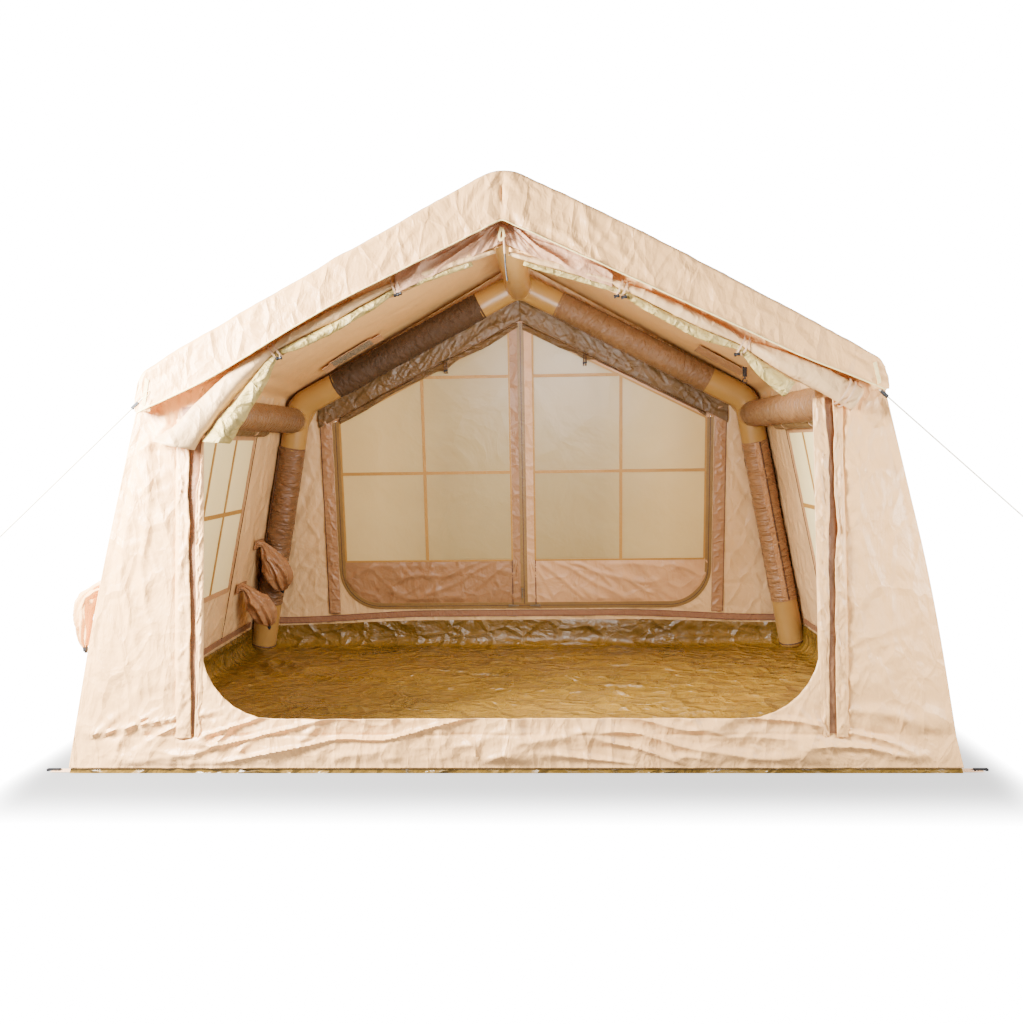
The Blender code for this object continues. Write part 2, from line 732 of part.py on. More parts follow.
def side_walls():
    setback = (FABRIC + GAP) * hypot(1, END_LEAN) + GAP
    foot, top = WALL_FOOT_Z, wall_eave_z()
    outline = [(end_y(foot) - setback, foot), (end_y(top) - setback, top)]
    outline += [(-y, z) for y, z in outline[::-1]]
    window = rectangle(-WINDOW_HALF_WIDTH, WINDOW_HALF_WIDTH, WINDOW_LOW_Z, WINDOW_HIGH_Z)
    for side, word in ((LEFT, "left"), (RIGHT, "right")):
        loops = [on_slope(loop, SIDE_LEAN) for loop in (outline, window)]
        plate(f"{word}_wall", loops, -FABRIC, 0, "cream_fabric", side_frame(side))


def roof_sheet():
    """The ridge profile drawn across, pulled from the rear edge to the front, and let down at both ends."""
    corners = [(-EAVE_HALF_WIDTH, EAVE_Z), (0, RIDGE_Z), (EAVE_HALF_WIDTH, EAVE_Z)]
    profile = rounded(corners, (0, RIDGE_ROUNDING, 0), ELBOW_STEPS, False)
    bm = bmesh.new()
    verts = [bm.verts.new((x, end_y(z) + ROOF_OVERHANG, z)) for x, z in profile]
    edges = [bm.edges.new(pair) for pair in zip(verts, verts[1:])]
    grown = bmesh.ops.extrude_edge_only(bm, edges=edges)["geom"]
    front = [item for item in grown if isinstance(item, bmesh.types.BMVert)]
    front_edges = [edge for edge in bm.edges if set(edge.verts) <= set(front)]
    for vert in front:
        vert.co.y *= -1
    for end, run in ((REAR, edges), (FRONT, front_edges)):
        drop = bmesh.ops.extrude_edge_only(bm, edges=run)["geom"]
        for vert in (item for item in drop if isinstance(item, bmesh.types.BMVert)):
            z = VALANCE_MIDDLE_Z - VALANCE_FALL * abs(vert.co.x)
            vert.co.yz = end * (end_y(z) + ROOF_OVERHANG), z
    obj = made("roof_sheet", bm, "cream_fabric", smooth=True)
    if obj.data.polygons[0].normal.z < 0:
        obj.data.flip_normals()
    thicken(obj, FABRIC, -1)


# The windows in the side walls, with their rolled blinds


def pane_faces():
    """The two faces of a pane, which is in the middle of its wall's thickness, in the wall's frame."""
    return -(FABRIC + PANE_THICKNESS) / 2, -(FABRIC - PANE_THICKNESS) / 2


def windows():
    pane = rectangle(
        GAP - WINDOW_HALF_WIDTH, WINDOW_HALF_WIDTH - GAP, WINDOW_LOW_Z + GAP, WINDOW_HIGH_Z - GAP
    )
    half = MUNTIN_WIDTH / 2
    inset = MUNTIN_WIDTH / 4
    for side, word in ((LEFT, "left"), (RIGHT, "right")):
        place = side_frame(side)
        low, high = pane_faces()
        obj = plate(f"{word}_window", [on_slope(pane, SIDE_LEAN)], low, high, "pale_mesh", place)
        low, high = low - MUNTIN_RISE, high + MUNTIN_RISE
        for number, y in enumerate(WINDOW_MUNTINS_Y):
            strip = rectangle(y - half, y + half, WINDOW_LOW_Z + inset, WINDOW_HIGH_Z - inset)
            name = f"{word}_window_upright_{number}"
            joined(obj, plate(name, [on_slope(strip, SIDE_LEAN)], low, high, "webbing", place))
        level = WINDOW_MUNTIN_Z
        strip = rectangle(inset - WINDOW_HALF_WIDTH, WINDOW_HALF_WIDTH - inset, level - half, level + half)
        low, high = low + MUNTIN_RISE - CROSS_MUNTIN_RISE, high - MUNTIN_RISE + CROSS_MUNTIN_RISE
        joined(obj, plate(f"{word}_window_bar", [on_slope(strip, SIDE_LEAN)], low, high, "webbing", place))


def blinds():
    """A rolled blind above each window, drawn in by its two ties."""
    for side, word in ((LEFT, "left"), (RIGHT, "right")):
        x = side_x(BLIND_Z) - (FABRIC + BLIND_RADIUS) * hypot(1, SIDE_LEAN) - GAP
        along = Vector((0, 1, 0))
        up = Vector((0, 0, 1))
        stations = []
        for share, size in zip(BLIND_ALONG_SHARES, BLIND_RADIUS_SHARES):
            centre = Vector((side * x, share * BLIND_HALF_LENGTH, BLIND_Z))
            stations.append(station(centre, up, along.cross(up), along, BLIND_RADIUS * size))
        bm = bmesh.new()
        sweep(bm, stations, BLIND_SIDES)
        made(f"{word}_window_blind", bm, "brown_fabric", smooth=True)


# The rear door: zip tape, two leaves that lift about their sloping top edges, panes and sliders


def inner_face(depth):
    """A height below the inner face of a wall, in the wall's own frame."""
    return -(FABRIC + depth)


def rear_zip_tape():
    half = TAPE_WIDTH / 2
    top = rear_door_top(REAR_DOOR_HALF_WIDTH) - half
    outline = []
    for grow, step in ((half, 1), (-half, -1)):
        width, sill, corner = REAR_DOOR_HALF_WIDTH + grow, REAR_DOOR_SILL_Z - grow, REAR_DOOR_CORNER + grow
        corners = [(-width, top), (-width, sill), (width, sill), (width, top)]
        outline += rounded(corners, (0, corner, corner, 0), closed=False)[::step]
    low, high = inner_face(GAP + TAPE_THICKNESS), inner_face(GAP)
    plate("rear_door_zip_tape", [on_slope(outline, END_LEAN)], low, high, "brown_fabric", end_frame(REAR))


def mirrored(points, side):
    """Points given on the right half, moved to this side in the rear wall's frame, where X runs left."""
    return [(-side * across, height) for across, height in points]


def leaf_outline():
    width, sill = REAR_DOOR_HALF_WIDTH - LEAF_CLEARANCE, REAR_DOOR_SILL_Z + LEAF_CLEARANCE
    drop = LEAF_CLEARANCE * hypot(1, REAR_DOOR_FALL)
    corners = [
        (LEAF_SPLIT, sill),
        (width, sill),
        (width, rear_door_top(width) - drop),
        (LEAF_SPLIT, rear_door_top(LEAF_SPLIT) - drop),
    ]
    return rounded(corners, (0, REAR_DOOR_CORNER, LEAF_TOP_CORNER, 0))


def pane_top(x):
    return rear_door_top(x) - PANE_TOP_MARGIN * hypot(1, REAR_DOOR_FALL)


def pane_outline(gap):
    outer = REAR_DOOR_HALF_WIDTH - PANE_SIDE_MARGIN - gap
    inner = PANE_INNER_X + gap
    drop = gap * hypot(1, REAR_DOOR_FALL)
    low = PANE_LOW_Z + gap
    return [(inner, low), (outer, low), (outer, pane_top(outer) - drop), (inner, pane_top(inner) - drop)]


def leaf_muntins():
    """The strips sewn on a pane, as (outline, rise): one upright, and level ones that stop at the slope."""
    half = MUNTIN_WIDTH / 2
    inset = MUNTIN_WIDTH / 4
    x = LEAF_MUNTIN_X
    outer = REAR_DOOR_HALF_WIDTH - PANE_SIDE_MARGIN - inset
    upright = [
        (x - half, PANE_LOW_Z + inset),
        (x + half, PANE_LOW_Z + inset),
        (x + half, pane_top(x + half) - inset),
        (x - half, pane_top(x - half) - inset),
    ]
    strips = [(upright, MUNTIN_RISE)]
    for z in LEAF_MUNTINS_Z:
        ends = [min(outer, (pane_top(0) - inset - edge) / REAR_DOOR_FALL) for edge in (z - half, z + half)]
        level = [
            (PANE_INNER_X + inset, z - half),
            (ends[0], z - half),
            (ends[1], z + half),
            (PANE_INNER_X + inset, z + half),
        ]
        strips.append((level, CROSS_MUNTIN_RISE))
    return strips


def rear_leaves():
    place = end_frame(REAR)
    for side, word in ((LEFT, "left"), (RIGHT, "right")):
        loops = [on_slope(mirrored(loop, side), END_LEAN) for loop in (leaf_outline(), pane_outline(0))]
        leaf = plate(f"rear_{word}_door_leaf", loops, -FABRIC, 0, "tan_fabric", place)
        top = pane_top(PANE_INNER_X)
        tape = rectangle(LEAF_SPLIT, LEAF_SPLIT + CENTRE_TAPE_WIDTH, CENTRE_TAPE_LOW_Z, top)
        outline = on_slope(mirrored(tape, side), END_LEAN)
        low, high = inner_face(TAPE_THICKNESS), inner_face(-TAPE_SUNK)
        joined(leaf, plate(f"centre_tape_{side}", [outline], low, high, "brown_fabric", place))
        outline = on_slope(mirrored(pane_outline(GAP), side), END_LEAN)
        low, high = pane_faces()
        pane = plate(f"rear_{word}_door_pane", [outline], low, high, "clear_film", place)
        for number, (strip, rise) in enumerate(leaf_muntins()):
            outline = on_slope(mirrored(strip, side), END_LEAN)
            name = f"pane_strip_{side}_{number}"
            joined(pane, plate(name, [outline], low - rise, high + rise, "webbing", place))


def slider(name, place):
    """A zip slider that runs along its Y on the face at Z zero, with its pull lying behind it."""
    half, nose = SLIDER_WIDTH / 2, SLIDER_WIDTH / 2 * SLIDER_NOSE_SHARE
    body = [(-half, SLIDER_LENGTH), (-nose, 0), (nose, 0), (half, SLIDER_LENGTH)]
    obj = plate(name, [body], GAP, GAP + SLIDER_THICKNESS, "zip_metal", place)
    half = PULL_WIDTH / 2
    pull = rectangle(-half, half, PULL_OVERLAP - PULL_LENGTH, PULL_OVERLAP)
    pull = rounded(pull, (half / 2, half / 2, 0, 0), CORNER_STEPS // 2)
    low = GAP + SLIDER_THICKNESS / 2
    joined(obj, plate(f"{name}_pull", [pull], low, low + PULL_THICKNESS, "zip_metal", place))


def sliders():
    """The front sliders run up, the rear ones out from the middle, and the middle one up the left leaf."""
    rise = hypot(1, END_LEAN)
    half_turn = Matrix.Rotation(pi, 4, "Y")
    for side, word in ((LEFT, "left"), (RIGHT, "right")):
        spot = Vector((side * FRONT_ZIP_X, (FRONT_ZIP_LOW_Z + FRONT_SLIDER_LIFT) * rise, TAPE_THICKNESS))
        slider(f"front_{word}_zip_slider", end_frame(FRONT) @ Matrix.Translation(spot))
        spot = Vector((-side * REAR_SLIDER_X, REAR_DOOR_SILL_Z * rise, inner_face(GAP + TAPE_THICKNESS)))
        outward = Matrix.Rotation(-side * pi / 2, 4, "Z")
        slider(f"rear_{word}_zip_slider", end_frame(REAR) @ Matrix.Translation(spot) @ half_turn @ outward)
    spot = Vector((LEAF_SPLIT + CENTRE_TAPE_WIDTH / 2, CENTRE_SLIDER_Z * rise, inner_face(TAPE_THICKNESS)))
    slider("rear_centre_zip_slider", end_frame(REAR) @ Matrix.Translation(spot) @ half_turn)


# The rolled front door


def smooth_path(points, steps):
    """Places on a smooth curve through the points, as tuples of any length (Catmull-Rom)."""
    found = []
    last = len(points) - 1
    for index in range(last):
        corners = [Vector(points[min(max(index + shift, 0), last)]) for shift in (-1, 0, 1, 2)]
        for step in range(steps):
            t = step / steps
            a, b, c, d = corners
            bend, twist = 2 * a - 5 * b + 4 * c - d, 3 * b - a - 3 * c + d
            found.append(b + ((c - a) * t + bend * t**2 + twist * t**3) / 2)
    return found + [Vector(points[-1])]


def roll_route(side):
    """The outer roll's places on the front wall, as (x, z, radius)."""
    shares = LEFT_ROLL_SHARES if side == LEFT else RIGHT_ROLL_SHARES
    places = []
    for along, drop, size in shares:
        x = along * ROLL_REACH
        places.append((side * x, front_door_top(x) - drop * ROLL_DROP, size * ROLL_RADIUS))
    return smooth_path(places, ROLL_STEPS)


def mesh_roll_route(side):
    """The mesh door's roll hangs on the inner side of the outer roll, and ends a little before it."""
    outer = roll_route(side)
    found = []
    for index in range(MESH_ROLL_SKIPS, round(MESH_ROLL_END_SHARES[side] * len(outer))):
        x, z, radius = outer[index]
        ahead = outer[index + 1]
        along = Vector((ahead[0] - x, ahead[1] - z)).normalized()
        inward = Vector((-side * along.y, side * along.x)) * -1
        size = radius * MESH_ROLL_RADIUS / ROLL_RADIUS
        reach = (radius + size) * (1 + ROLL_FOLD_SHARE) * ROLL_WIDTH_SHARE + GAP - MESH_ROLL_NEST
        found.append(Vector((x + inward.x * reach, z + inward.y * reach, size)))
    return found


def folded_roll(name, route, lift, finish):
    """A roll of cloth along the front wall, with folds that wind along it."""
    centres = []
    for x, z, size in route:
        away = (size * (1 + ROLL_FOLD_SHARE) + lift) * hypot(1, END_LEAN)
        centres.append(Vector((x, -end_y(z) - away, z)))
    normal = arch_normal(FRONT)
    stations = []
    for index, (centre, (_, _, size)) in enumerate(zip(centres, route)):
        along = (centres[min(index + 1, len(centres) - 1)] - centres[max(index - 1, 0)]).normalized()
        across = normal.cross(along).normalized()
        stations.append(station(centre, across, along.cross(across), along, size, ROLL_WIDTH_SHARE))
    bm = bmesh.new()
    fold(sweep(bm, stations, ROLL_SIDES), stations, ROLL_FOLDS, ROLL_FOLD_SHARE, ROLL_FOLD_TURN)
    return made(name, bm, finish, smooth=True)


def fold(rings, stations, folds, share, turn):
    """Pushes the points of a tube's rings in and out, so that folds run along it and wind slowly round."""
    for index, (ring, place) in enumerate(zip(rings, stations)):
        for vert in ring:
            local = place.inverted() @ vert.co
            scale = 1 + share * cos(folds * atan2(local.y, local.x) + turn * index)
            vert.co = place @ Vector((local.x * scale, local.y * scale, 0))


def door_rolls():
    """The left roll reaches down over its zip tape, and the right one ends above its own."""
    for side, word, lift in ((LEFT, "left", TAPE_THICKNESS + 2 * GAP), (RIGHT, "right", GAP)):
        folded_roll(f"front_{word}_door_roll", roll_route(side), lift, "cream_fabric")
        folded_roll(f"front_{word}_mesh_roll", mesh_roll_route(side), lift, "pale_mesh")


# Under the roof: the vents, and the strap with its hook


def under_roof(x_low, x_high, width, y, side):
    """A rectangle on a roof slope, in that slope's frame."""
    stretch = hypot(1, ROOF_FALL)
    return rectangle(side * y - width / 2, side * y + width / 2, -x_high * stretch, -x_low * stretch)


def roof_vents():
    """On the left a vent framed by a raised rim, and on the right a flap that closes the other vent."""
    place = roof_frame(LEFT)
    low, high = inner_face(GAP + VENT_THICKNESS), inner_face(GAP)
    middle = (low + high) / 2
    outline = under_roof(VENT_START_X, VENT_END_X, VENT_WIDTH, VENT_Y, LEFT)
    vent = plate("left_roof_vent", [outline], middle, high, "pale_mesh", place)
    rim = VENT_RIM
    hole = under_roof(VENT_START_X + rim, VENT_END_X - rim, VENT_WIDTH - 2 * rim, VENT_Y, LEFT)
    joined(vent, plate("vent_rim", [outline, hole], low, high - GAP, "brown_fabric", place))
    outline = under_roof(FLAP_START_X, FLAP_END_X, FLAP_WIDTH, FLAP_Y, RIGHT)
    low = inner_face(GAP + FLAP_THICKNESS)
    plate("right_vent_flap", [outline], low, high, "brown_fabric", roof_frame(RIGHT))


def strap_top():
    return roof_z(STRAP_X + STRAP_WIDTH / 2) - (FABRIC + GAP) * hypot(1, ROOF_FALL)


def lamp_strap():
    """A webbing strap that hangs from the roof, and a hook that swings on a pin through its end."""
    standing = frame((STRAP_X, STRAP_Y, strap_top()), (1, 0, 0), (0, 0, 1))
    half = STRAP_WIDTH / 2
    outline = [(-half, -STRAP_LENGTH), (half, -STRAP_LENGTH), (half, 0), (-half, ROOF_FALL * STRAP_WIDTH)]
    hole = circle((0, -STRAP_HOLE_DROP), STRAP_HOLE_RADIUS, BORE_SIDES)
    plate("lamp_strap", [outline, hole], -STRAP_THICKNESS / 2, STRAP_THICKNESS / 2, "webbing", standing)
    place = standing @ Matrix.Translation((0, -STRAP_HOLE_DROP, 0))
    low = STRAP_THICKNESS / 2 + GAP
    high = low + LAMP_HOOK_THICKNESS
    wire = LAMP_HOOK_WIRE
    shank = rectangle(-wire, wire, -LAMP_HOOK_SHANK, wire)
    shank = rounded(shank, (0, 0, wire / 2, wire / 2), CORNER_STEPS // 2)
    hook = plate("lamp_hook", [shank], low, high, "black_plastic", place)
    middle = (0, wire - LAMP_HOOK_SHANK - LAMP_HOOK_RADIUS)
    ends = (pi / 2, pi / 2 + tau - LAMP_HOOK_OPEN)
    outer = arc(middle, LAMP_HOOK_RADIUS, *ends, LAMP_BOW_STEPS)
    inner = arc(middle, LAMP_HOOK_RADIUS - wire, *ends, LAMP_BOW_STEPS)
    bow = outer + inner[::-1]
    joined(hook, plate("lamp_hook_bow", [bow], low + GAP / 2, high - GAP / 2, "black_plastic", place))
    pin = circle((0, 0), LAMP_PIN_RADIUS, BORE_SIDES)
    joined(hook, plate("lamp_hook_pin", [pin], -low, (low + high) / 2, "black_plastic", place))


# The inflation valve


def valve_place():
    """The valve's frame: Z points out of the leg towards the rear, and zero is on the tube's skin."""
    axis = arch_axis(FRONT)
    along = (axis[1] - axis[0]).normalized()
    out = Vector((0, 1, 0))
    out = (out - out.dot(along) * along).normalized()
    across = along.cross(out)
    place = Matrix((across, along, across.cross(along))).transposed().to_4x4()
    spot = axis[0] + along * (VALVE_Z - axis[0].z) / along.z
    place.translation = spot + place.to_3x3() @ Vector((0, 0, TUBE_RADIUS))
    return place


def valve_pocket():
    radius = VALVE_RADIUS + VALVE_CLEARANCE
    low = -(VALVE_DEPTH + VALVE_POCKET_SPARE)
    profile = [(0, low), (radius, low), (radius, CUT_OVERRUN), (0, CUT_OVERRUN)]
    return turned("valve_pocket", profile, TURNED_SIDES, "black_plastic", valve_place())


def valve():
    """A body with a stepped bore, a sprung poppet in it, and a cap that turns on its lip."""
    place = valve_place()
    top = VALVE_LIP
    body = [
        (VALVE_STEM_BORE, -VALVE_DEPTH),
        (VALVE_RADIUS, -VALVE_DEPTH),
        (VALVE_RADIUS, top),
        (VALVE_BORE, top),
        (VALVE_BORE, VALVE_BASE - VALVE_DEPTH),
        (VALVE_STEM_BORE, VALVE_BASE - VALVE_DEPTH),
    ]
    turned("valve_body", body, TURNED_SIDES, "black_plastic", place)
    head = POPPET_SEAT - VALVE_DEPTH + POPPET_TRAVEL
    poppet = [
        (0, -VALVE_DEPTH),
        (POPPET_STEM_RADIUS, -VALVE_DEPTH),
        (POPPET_STEM_RADIUS, head),
        (POPPET_HEAD_RADIUS, head),
        (POPPET_HEAD_RADIUS, head + POPPET_HEAD_HEIGHT),
        (0, head + POPPET_HEAD_HEIGHT),
    ]
    turned("valve_poppet", poppet, TURNED_SIDES, "black_plastic", place)
    inner, outer = VALVE_RADIUS + CAP_CLEARANCE, VALVE_RADIUS + CAP_CLEARANCE + CAP_WALL
    low, roof = GAP + CAP_GRIP / 2, top + CAP_CLEARANCE
    cap = [
        (0, roof),
        (inner, roof),
        (inner, low),
        (outer, low),
        (outer, roof + CAP_WALL / 2),
        (inner, roof + CAP_WALL),
        (0, roof + CAP_WALL),
    ]
    obj = turned("valve_cap", cap, TURNED_SIDES, "black_plastic", place)
    half = CAP_WALL / 2
    grip = plate(
        "valve_cap_grip",
        [rectangle(-VALVE_RADIUS, VALVE_RADIUS, -half, half)],
        roof + half,
        roof + CAP_WALL + CAP_GRIP,
        "black_plastic",
        place,
    )
    joined(obj, grip)


# The cable ports


def port_patch(name, inside, end, mouth):
    """The stiff patch round the port's mouth, sewn on the left wall's inner or outer face."""
    y, z = end * (end_y(mouth[1]) - mouth[0]), mouth[1]
    half, half_height = PATCH_WIDTH / 2, PATCH_HEIGHT / 2
    middle = z * hypot(1, SIDE_LEAN)
    outline = rectangle(-y - half, -y + half, middle - half_height, middle + half_height)
    low = inner_face(GAP + PATCH_THICKNESS) if inside else GAP
    return plate(name, [outline], low, low + PATCH_THICKNESS, "brown_fabric", side_frame(LEFT))


def port_stations(inside, end, mouth, places):
    """The sleeve's rings: one flat in the patch, then the places that its cloth hangs through."""
    y, z = end * (end_y(mouth[1]) - mouth[0]), mouth[1]
    place = side_frame(LEFT)
    depth = inner_face(GAP + PATCH_THICKNESS / 2) if inside else GAP + PATCH_THICKNESS / 2
    away = -1 if inside else 1
    start = place @ Vector((-y, z * hypot(1, SIDE_LEAN), depth))
    route = [(*start, PORT_MOUTH_RADIUS, PORT_MOUTH_HALF_WIDTH)]
    for far, setback, z, radius, width in places:
        route.append((-(side_x(z) + away * far), end * (end_y(z) - setback), z, radius, width))
    path = smooth_path(route, PORT_STEPS)
    stations = []
    for index, (x, y, z, radius, width) in enumerate(path):
        back, ahead = path[max(index - 1, 0)], path[min(index + 1, len(path) - 1)]
        along = Vector(ahead[:3]) - Vector(back[:3]) if index else place.to_3x3() @ Vector((0, 0, away))
        along.normalize()
        across = (Vector((0, 1, 0)) - along.y * along).normalized()
        centre = Vector((x, y, z))
        stations.append(station(centre, across, along.cross(across), along, radius, width / radius))
    return stations


def lock_place(stations):
    """The cord lock's frame: Z points on from the end of the sleeve, and zero is at the lock's root."""
    end = stations[-1].translation
    along = (end - stations[-2].translation).normalized()
    across = along.orthogonal().normalized()
    place = Matrix((across, along.cross(across), along)).transposed().to_4x4()
    place.translation = end - along * LOCK_SINK
    return place


def cable_ports():
    """A patch, and a crumpled sleeve that hangs from it and is drawn shut by a cord lock with a button."""
    deep = LOCK_LENGTH - LOCK_BORE_DEPTH
    barrel = [
        (0, 0),
        (LOCK_RADIUS, 0),
        (LOCK_RADIUS, LOCK_LENGTH),
        (LOCK_BORE, LOCK_LENGTH),
        (LOCK_BORE, deep),
        (0, deep),
    ]
    low, high = deep + BUTTON_TRAVEL + GAP, LOCK_LENGTH + BUTTON_PROUD
    button = [(0, low), (BUTTON_RADIUS, low), (BUTTON_RADIUS, high), (0, high)]
    for word, (inside, end, mouth, places) in CABLE_PORTS.items():
        name = f"{word}_cable_port"
        stations = port_stations(inside, end, mouth, places)
        bm = bmesh.new()
        fold(sweep(bm, stations, PORT_SIDES), stations, PORT_FOLDS, PORT_FOLD_SHARE, ROLL_FOLD_TURN)
        sleeve_obj = made(name, bm, "brown_fabric" if inside else "cream_fabric", smooth=True)
        joined(sleeve_obj, port_patch(f"{name}_patch", inside, end, mouth))
        place = lock_place(stations)
        joined(sleeve_obj, turned(f"{name}_lock", barrel, BUTTON_SIDES, "black_plastic", place))
        turned(f"{name}_button", button, BUTTON_SIDES, "black_plastic", place)


# The guylines


def guy_ends(side):
    run, fall = GUY_END_X - EAVE_HALF_WIDTH, GUY_START_Z - GUY_END_Z
    start_x = EAVE_HALF_WIDTH + GAP + GUY_RADIUS * fall / hypot(run, fall)
    y = end_y(GUY_START_Z) + ROOF_OVERHANG - FABRIC / 2
    return [Vector((side * x, -y, z)) for x, z in ((start_x, GUY_START_Z), (GUY_END_X, GUY_END_Z))]


def guylines():
    """A taut cord from each front corner of the valance, and the runner that tightens it."""
    for side, word in ((LEFT, "left"), (RIGHT, "right")):
        start, end = guy_ends(side)
        count = ceil((end - start).length / (2 * GUY_RADIUS * GUY_STEP_DIAMETERS))
        curve = bpy.data.curves.new(f"{word}_guyline", "CURVE")
        curve.dimensions = "3D"
        curve.bevel_depth = GUY_RADIUS
        curve.bevel_resolution = 2
        curve.use_fill_caps = True
        spline = curve.splines.new("POLY")
        spline.points.add(count)
        for index, point in enumerate(spline.points):
            point.co = (*start.lerp(end, index / count), 1)
        cord = bpy.data.objects.new(f"{word}_guyline", curve)
        bpy.context.scene.collection.objects.link(cord)
        finished(cord, "guy_cord")
        guy_runner(f"{word}_guy_runner", start, (end - start).normalized())


def guy_runner(name, start, along):
    """A block with a bore that the cord runs through."""
    across = Vector((0, 1, 0))
    place = Matrix((across, along.cross(across), along)).transposed().to_4x4()
    place.translation = start
    loops = [
        rounded(
            rectangle(-RUNNER_THICKNESS / 2, RUNNER_THICKNESS / 2, -RUNNER_WIDTH / 2, RUNNER_WIDTH / 2),
            [RUNNER_THICKNESS / 4] * 4,
            CORNER_STEPS // 3,
        ),
        circle((0, 0), RUNNER_BORE, BORE_SIDES),
    ]
    plate(name, loops, RUNNER_START, RUNNER_START + RUNNER_LENGTH, "black_plastic", place)


def clear_scene():
    for obj in list(bpy.data.objects):
        bpy.data.objects.remove(obj, do_unlink=True)


def tent():
    clear_scene()
    air_frame()
    sleeves()
    groundsheet()
    peg_hooks()
    front_wall()
    rear_wall()
    side_walls()
    roof_sheet()
    windows()
    blinds()
    rear_zip_tape()
    rear_leaves()
    sliders()
    door_rolls()
    roof_vents()
    lamp_strap()
    valve()
    cable_ports()
    guylines()


tent()
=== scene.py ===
# %% [markdown]
# This lesson dresses an inflatable ridge tent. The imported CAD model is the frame: it fixes every size and
# every moving part. Each cloth, tube and tape is then made again as a finer mesh that sits in the room of
# its CAD solid. X runs to the right seen from the front, Y to the rear and Z up, in metres.

import json
from math import atan2, cos, hypot, pi, radians, sin, tau

import bmesh
import bpy
import numpy as np
from mathutils import Matrix, Vector


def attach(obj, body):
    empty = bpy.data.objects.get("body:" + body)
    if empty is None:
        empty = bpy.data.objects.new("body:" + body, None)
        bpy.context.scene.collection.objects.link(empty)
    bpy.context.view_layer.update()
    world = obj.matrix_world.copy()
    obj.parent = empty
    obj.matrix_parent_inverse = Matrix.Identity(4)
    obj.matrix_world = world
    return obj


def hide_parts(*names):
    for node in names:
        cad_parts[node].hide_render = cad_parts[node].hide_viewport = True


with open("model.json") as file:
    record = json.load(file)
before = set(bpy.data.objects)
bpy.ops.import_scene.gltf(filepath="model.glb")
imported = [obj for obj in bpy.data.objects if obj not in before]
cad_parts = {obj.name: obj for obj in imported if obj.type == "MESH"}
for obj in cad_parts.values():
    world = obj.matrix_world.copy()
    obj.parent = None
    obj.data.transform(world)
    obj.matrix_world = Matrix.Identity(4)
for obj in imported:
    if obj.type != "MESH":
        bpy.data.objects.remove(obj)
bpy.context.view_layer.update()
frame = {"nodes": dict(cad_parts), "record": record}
nodes = frame["nodes"]

# %% [markdown]
# The camera comes before any shape. Its place, its turn and its focal length were found by matching corners
# of the frame (feet, eaves, ridge, rear joints) to where they show. The focal length is in pixels of an
# image 1023 wide, so it is turned into millimetres on the sensor.

# %% Camera
IMAGE_WIDTH = 1023
FOCAL_PIXELS = 994
SENSOR_WIDTH = 36
CAMERA_PLACE = Vector((0.1623, -4.2976, 1.0965))
CAMERA_YAW = 0.042462
CAMERA_PITCH = -0.06782
CAMERA_ROLL = -0.013973

forward = Vector(
    (-sin(CAMERA_YAW) * cos(CAMERA_PITCH), cos(CAMERA_YAW) * cos(CAMERA_PITCH), sin(CAMERA_PITCH))
)
level_right = Vector((cos(CAMERA_YAW), sin(CAMERA_YAW), 0))
level_up = level_right.cross(forward)
camera_right = cos(CAMERA_ROLL) * level_right + sin(CAMERA_ROLL) * level_up
camera_up = cos(CAMERA_ROLL) * level_up - sin(CAMERA_ROLL) * level_right
camera_data = bpy.data.cameras.new("camera")
camera_data.sensor_fit = "HORIZONTAL"
camera_data.sensor_width = SENSOR_WIDTH
camera_data.lens = FOCAL_PIXELS * SENSOR_WIDTH / IMAGE_WIDTH
camera = bpy.data.objects.new("camera", camera_data)
bpy.context.scene.collection.objects.link(camera)
camera.matrix_world = Matrix((camera_right, camera_up, -forward)).transposed().to_4x4()
camera.matrix_world.translation = CAMERA_PLACE
bpy.context.scene.camera = camera
print("lens:", round(camera_data.lens, 2), "mm")

# %% [markdown]
# A studio with soft light: a white world fills every shadow, a near lamp on the left makes the left side
# the bright one, a weaker one low on the right draws the folds there, and lamps just inside the doorway
# light the tent's inside. The camera sees the world as pure white. The ground is one pale sheet, and its
# material paints a soft shadow round the tent's base.

# %% Light and ground
WORLD_STRENGTH = 0.8
BACKDROP_STRENGTH = 18
GROUND_SIZE = 60


def lamp(name, place, target, size, power, colour=(1, 1, 1)):
    """A square area lamp that looks at a target."""
    data = bpy.data.lights.new(name, "AREA")
    data.size = size
    data.energy = power
    data.color = colour
    obj = bpy.data.objects.new(name, data)
    bpy.context.scene.collection.objects.link(obj)
    obj.location = place
    obj.rotation_euler = (Vector(target) - Vector(place)).to_track_quat("-Z", "Y").to_euler()
    return obj


world = bpy.data.worlds.new("studio")
world.use_nodes = True
backdrop = world.node_tree.nodes["Background"]
backdrop.inputs["Color"].default_value = (1, 1, 1, 1)
rays = world.node_tree.nodes.new("ShaderNodeLightPath")
strength = world.node_tree.nodes.new("ShaderNodeMix")
strength.inputs["A"].default_value = WORLD_STRENGTH
strength.inputs["B"].default_value = BACKDROP_STRENGTH
world.node_tree.links.new(rays.outputs["Is Camera Ray"], strength.inputs["Factor"])
world.node_tree.links.new(strength.outputs["Result"], backdrop.inputs["Strength"])
bpy.context.scene.world = world
lamp("left_softbox", (-2.4, -2.0, 1.8), (-1.0, -1, 1.0), 0.7, 640)
lamp("right_softbox", (2.4, -1.55, 0.95), (1.3, -1, 0.8), 0.4, 52)
lamp("bounce_softbox", (2.3, -3.4, 1.2), (-1.2, 0.6, 0.8), 0.8, 30)
lamp("inner_softbox", (0.15, -0.78, 1.2), (0.0, 0.9, 0.95), 0.7, 36)
lamp("inner_left_softbox", (0.75, -0.7, 1.0), (-1.3, 0.15, 0.75), 0.5, 12)

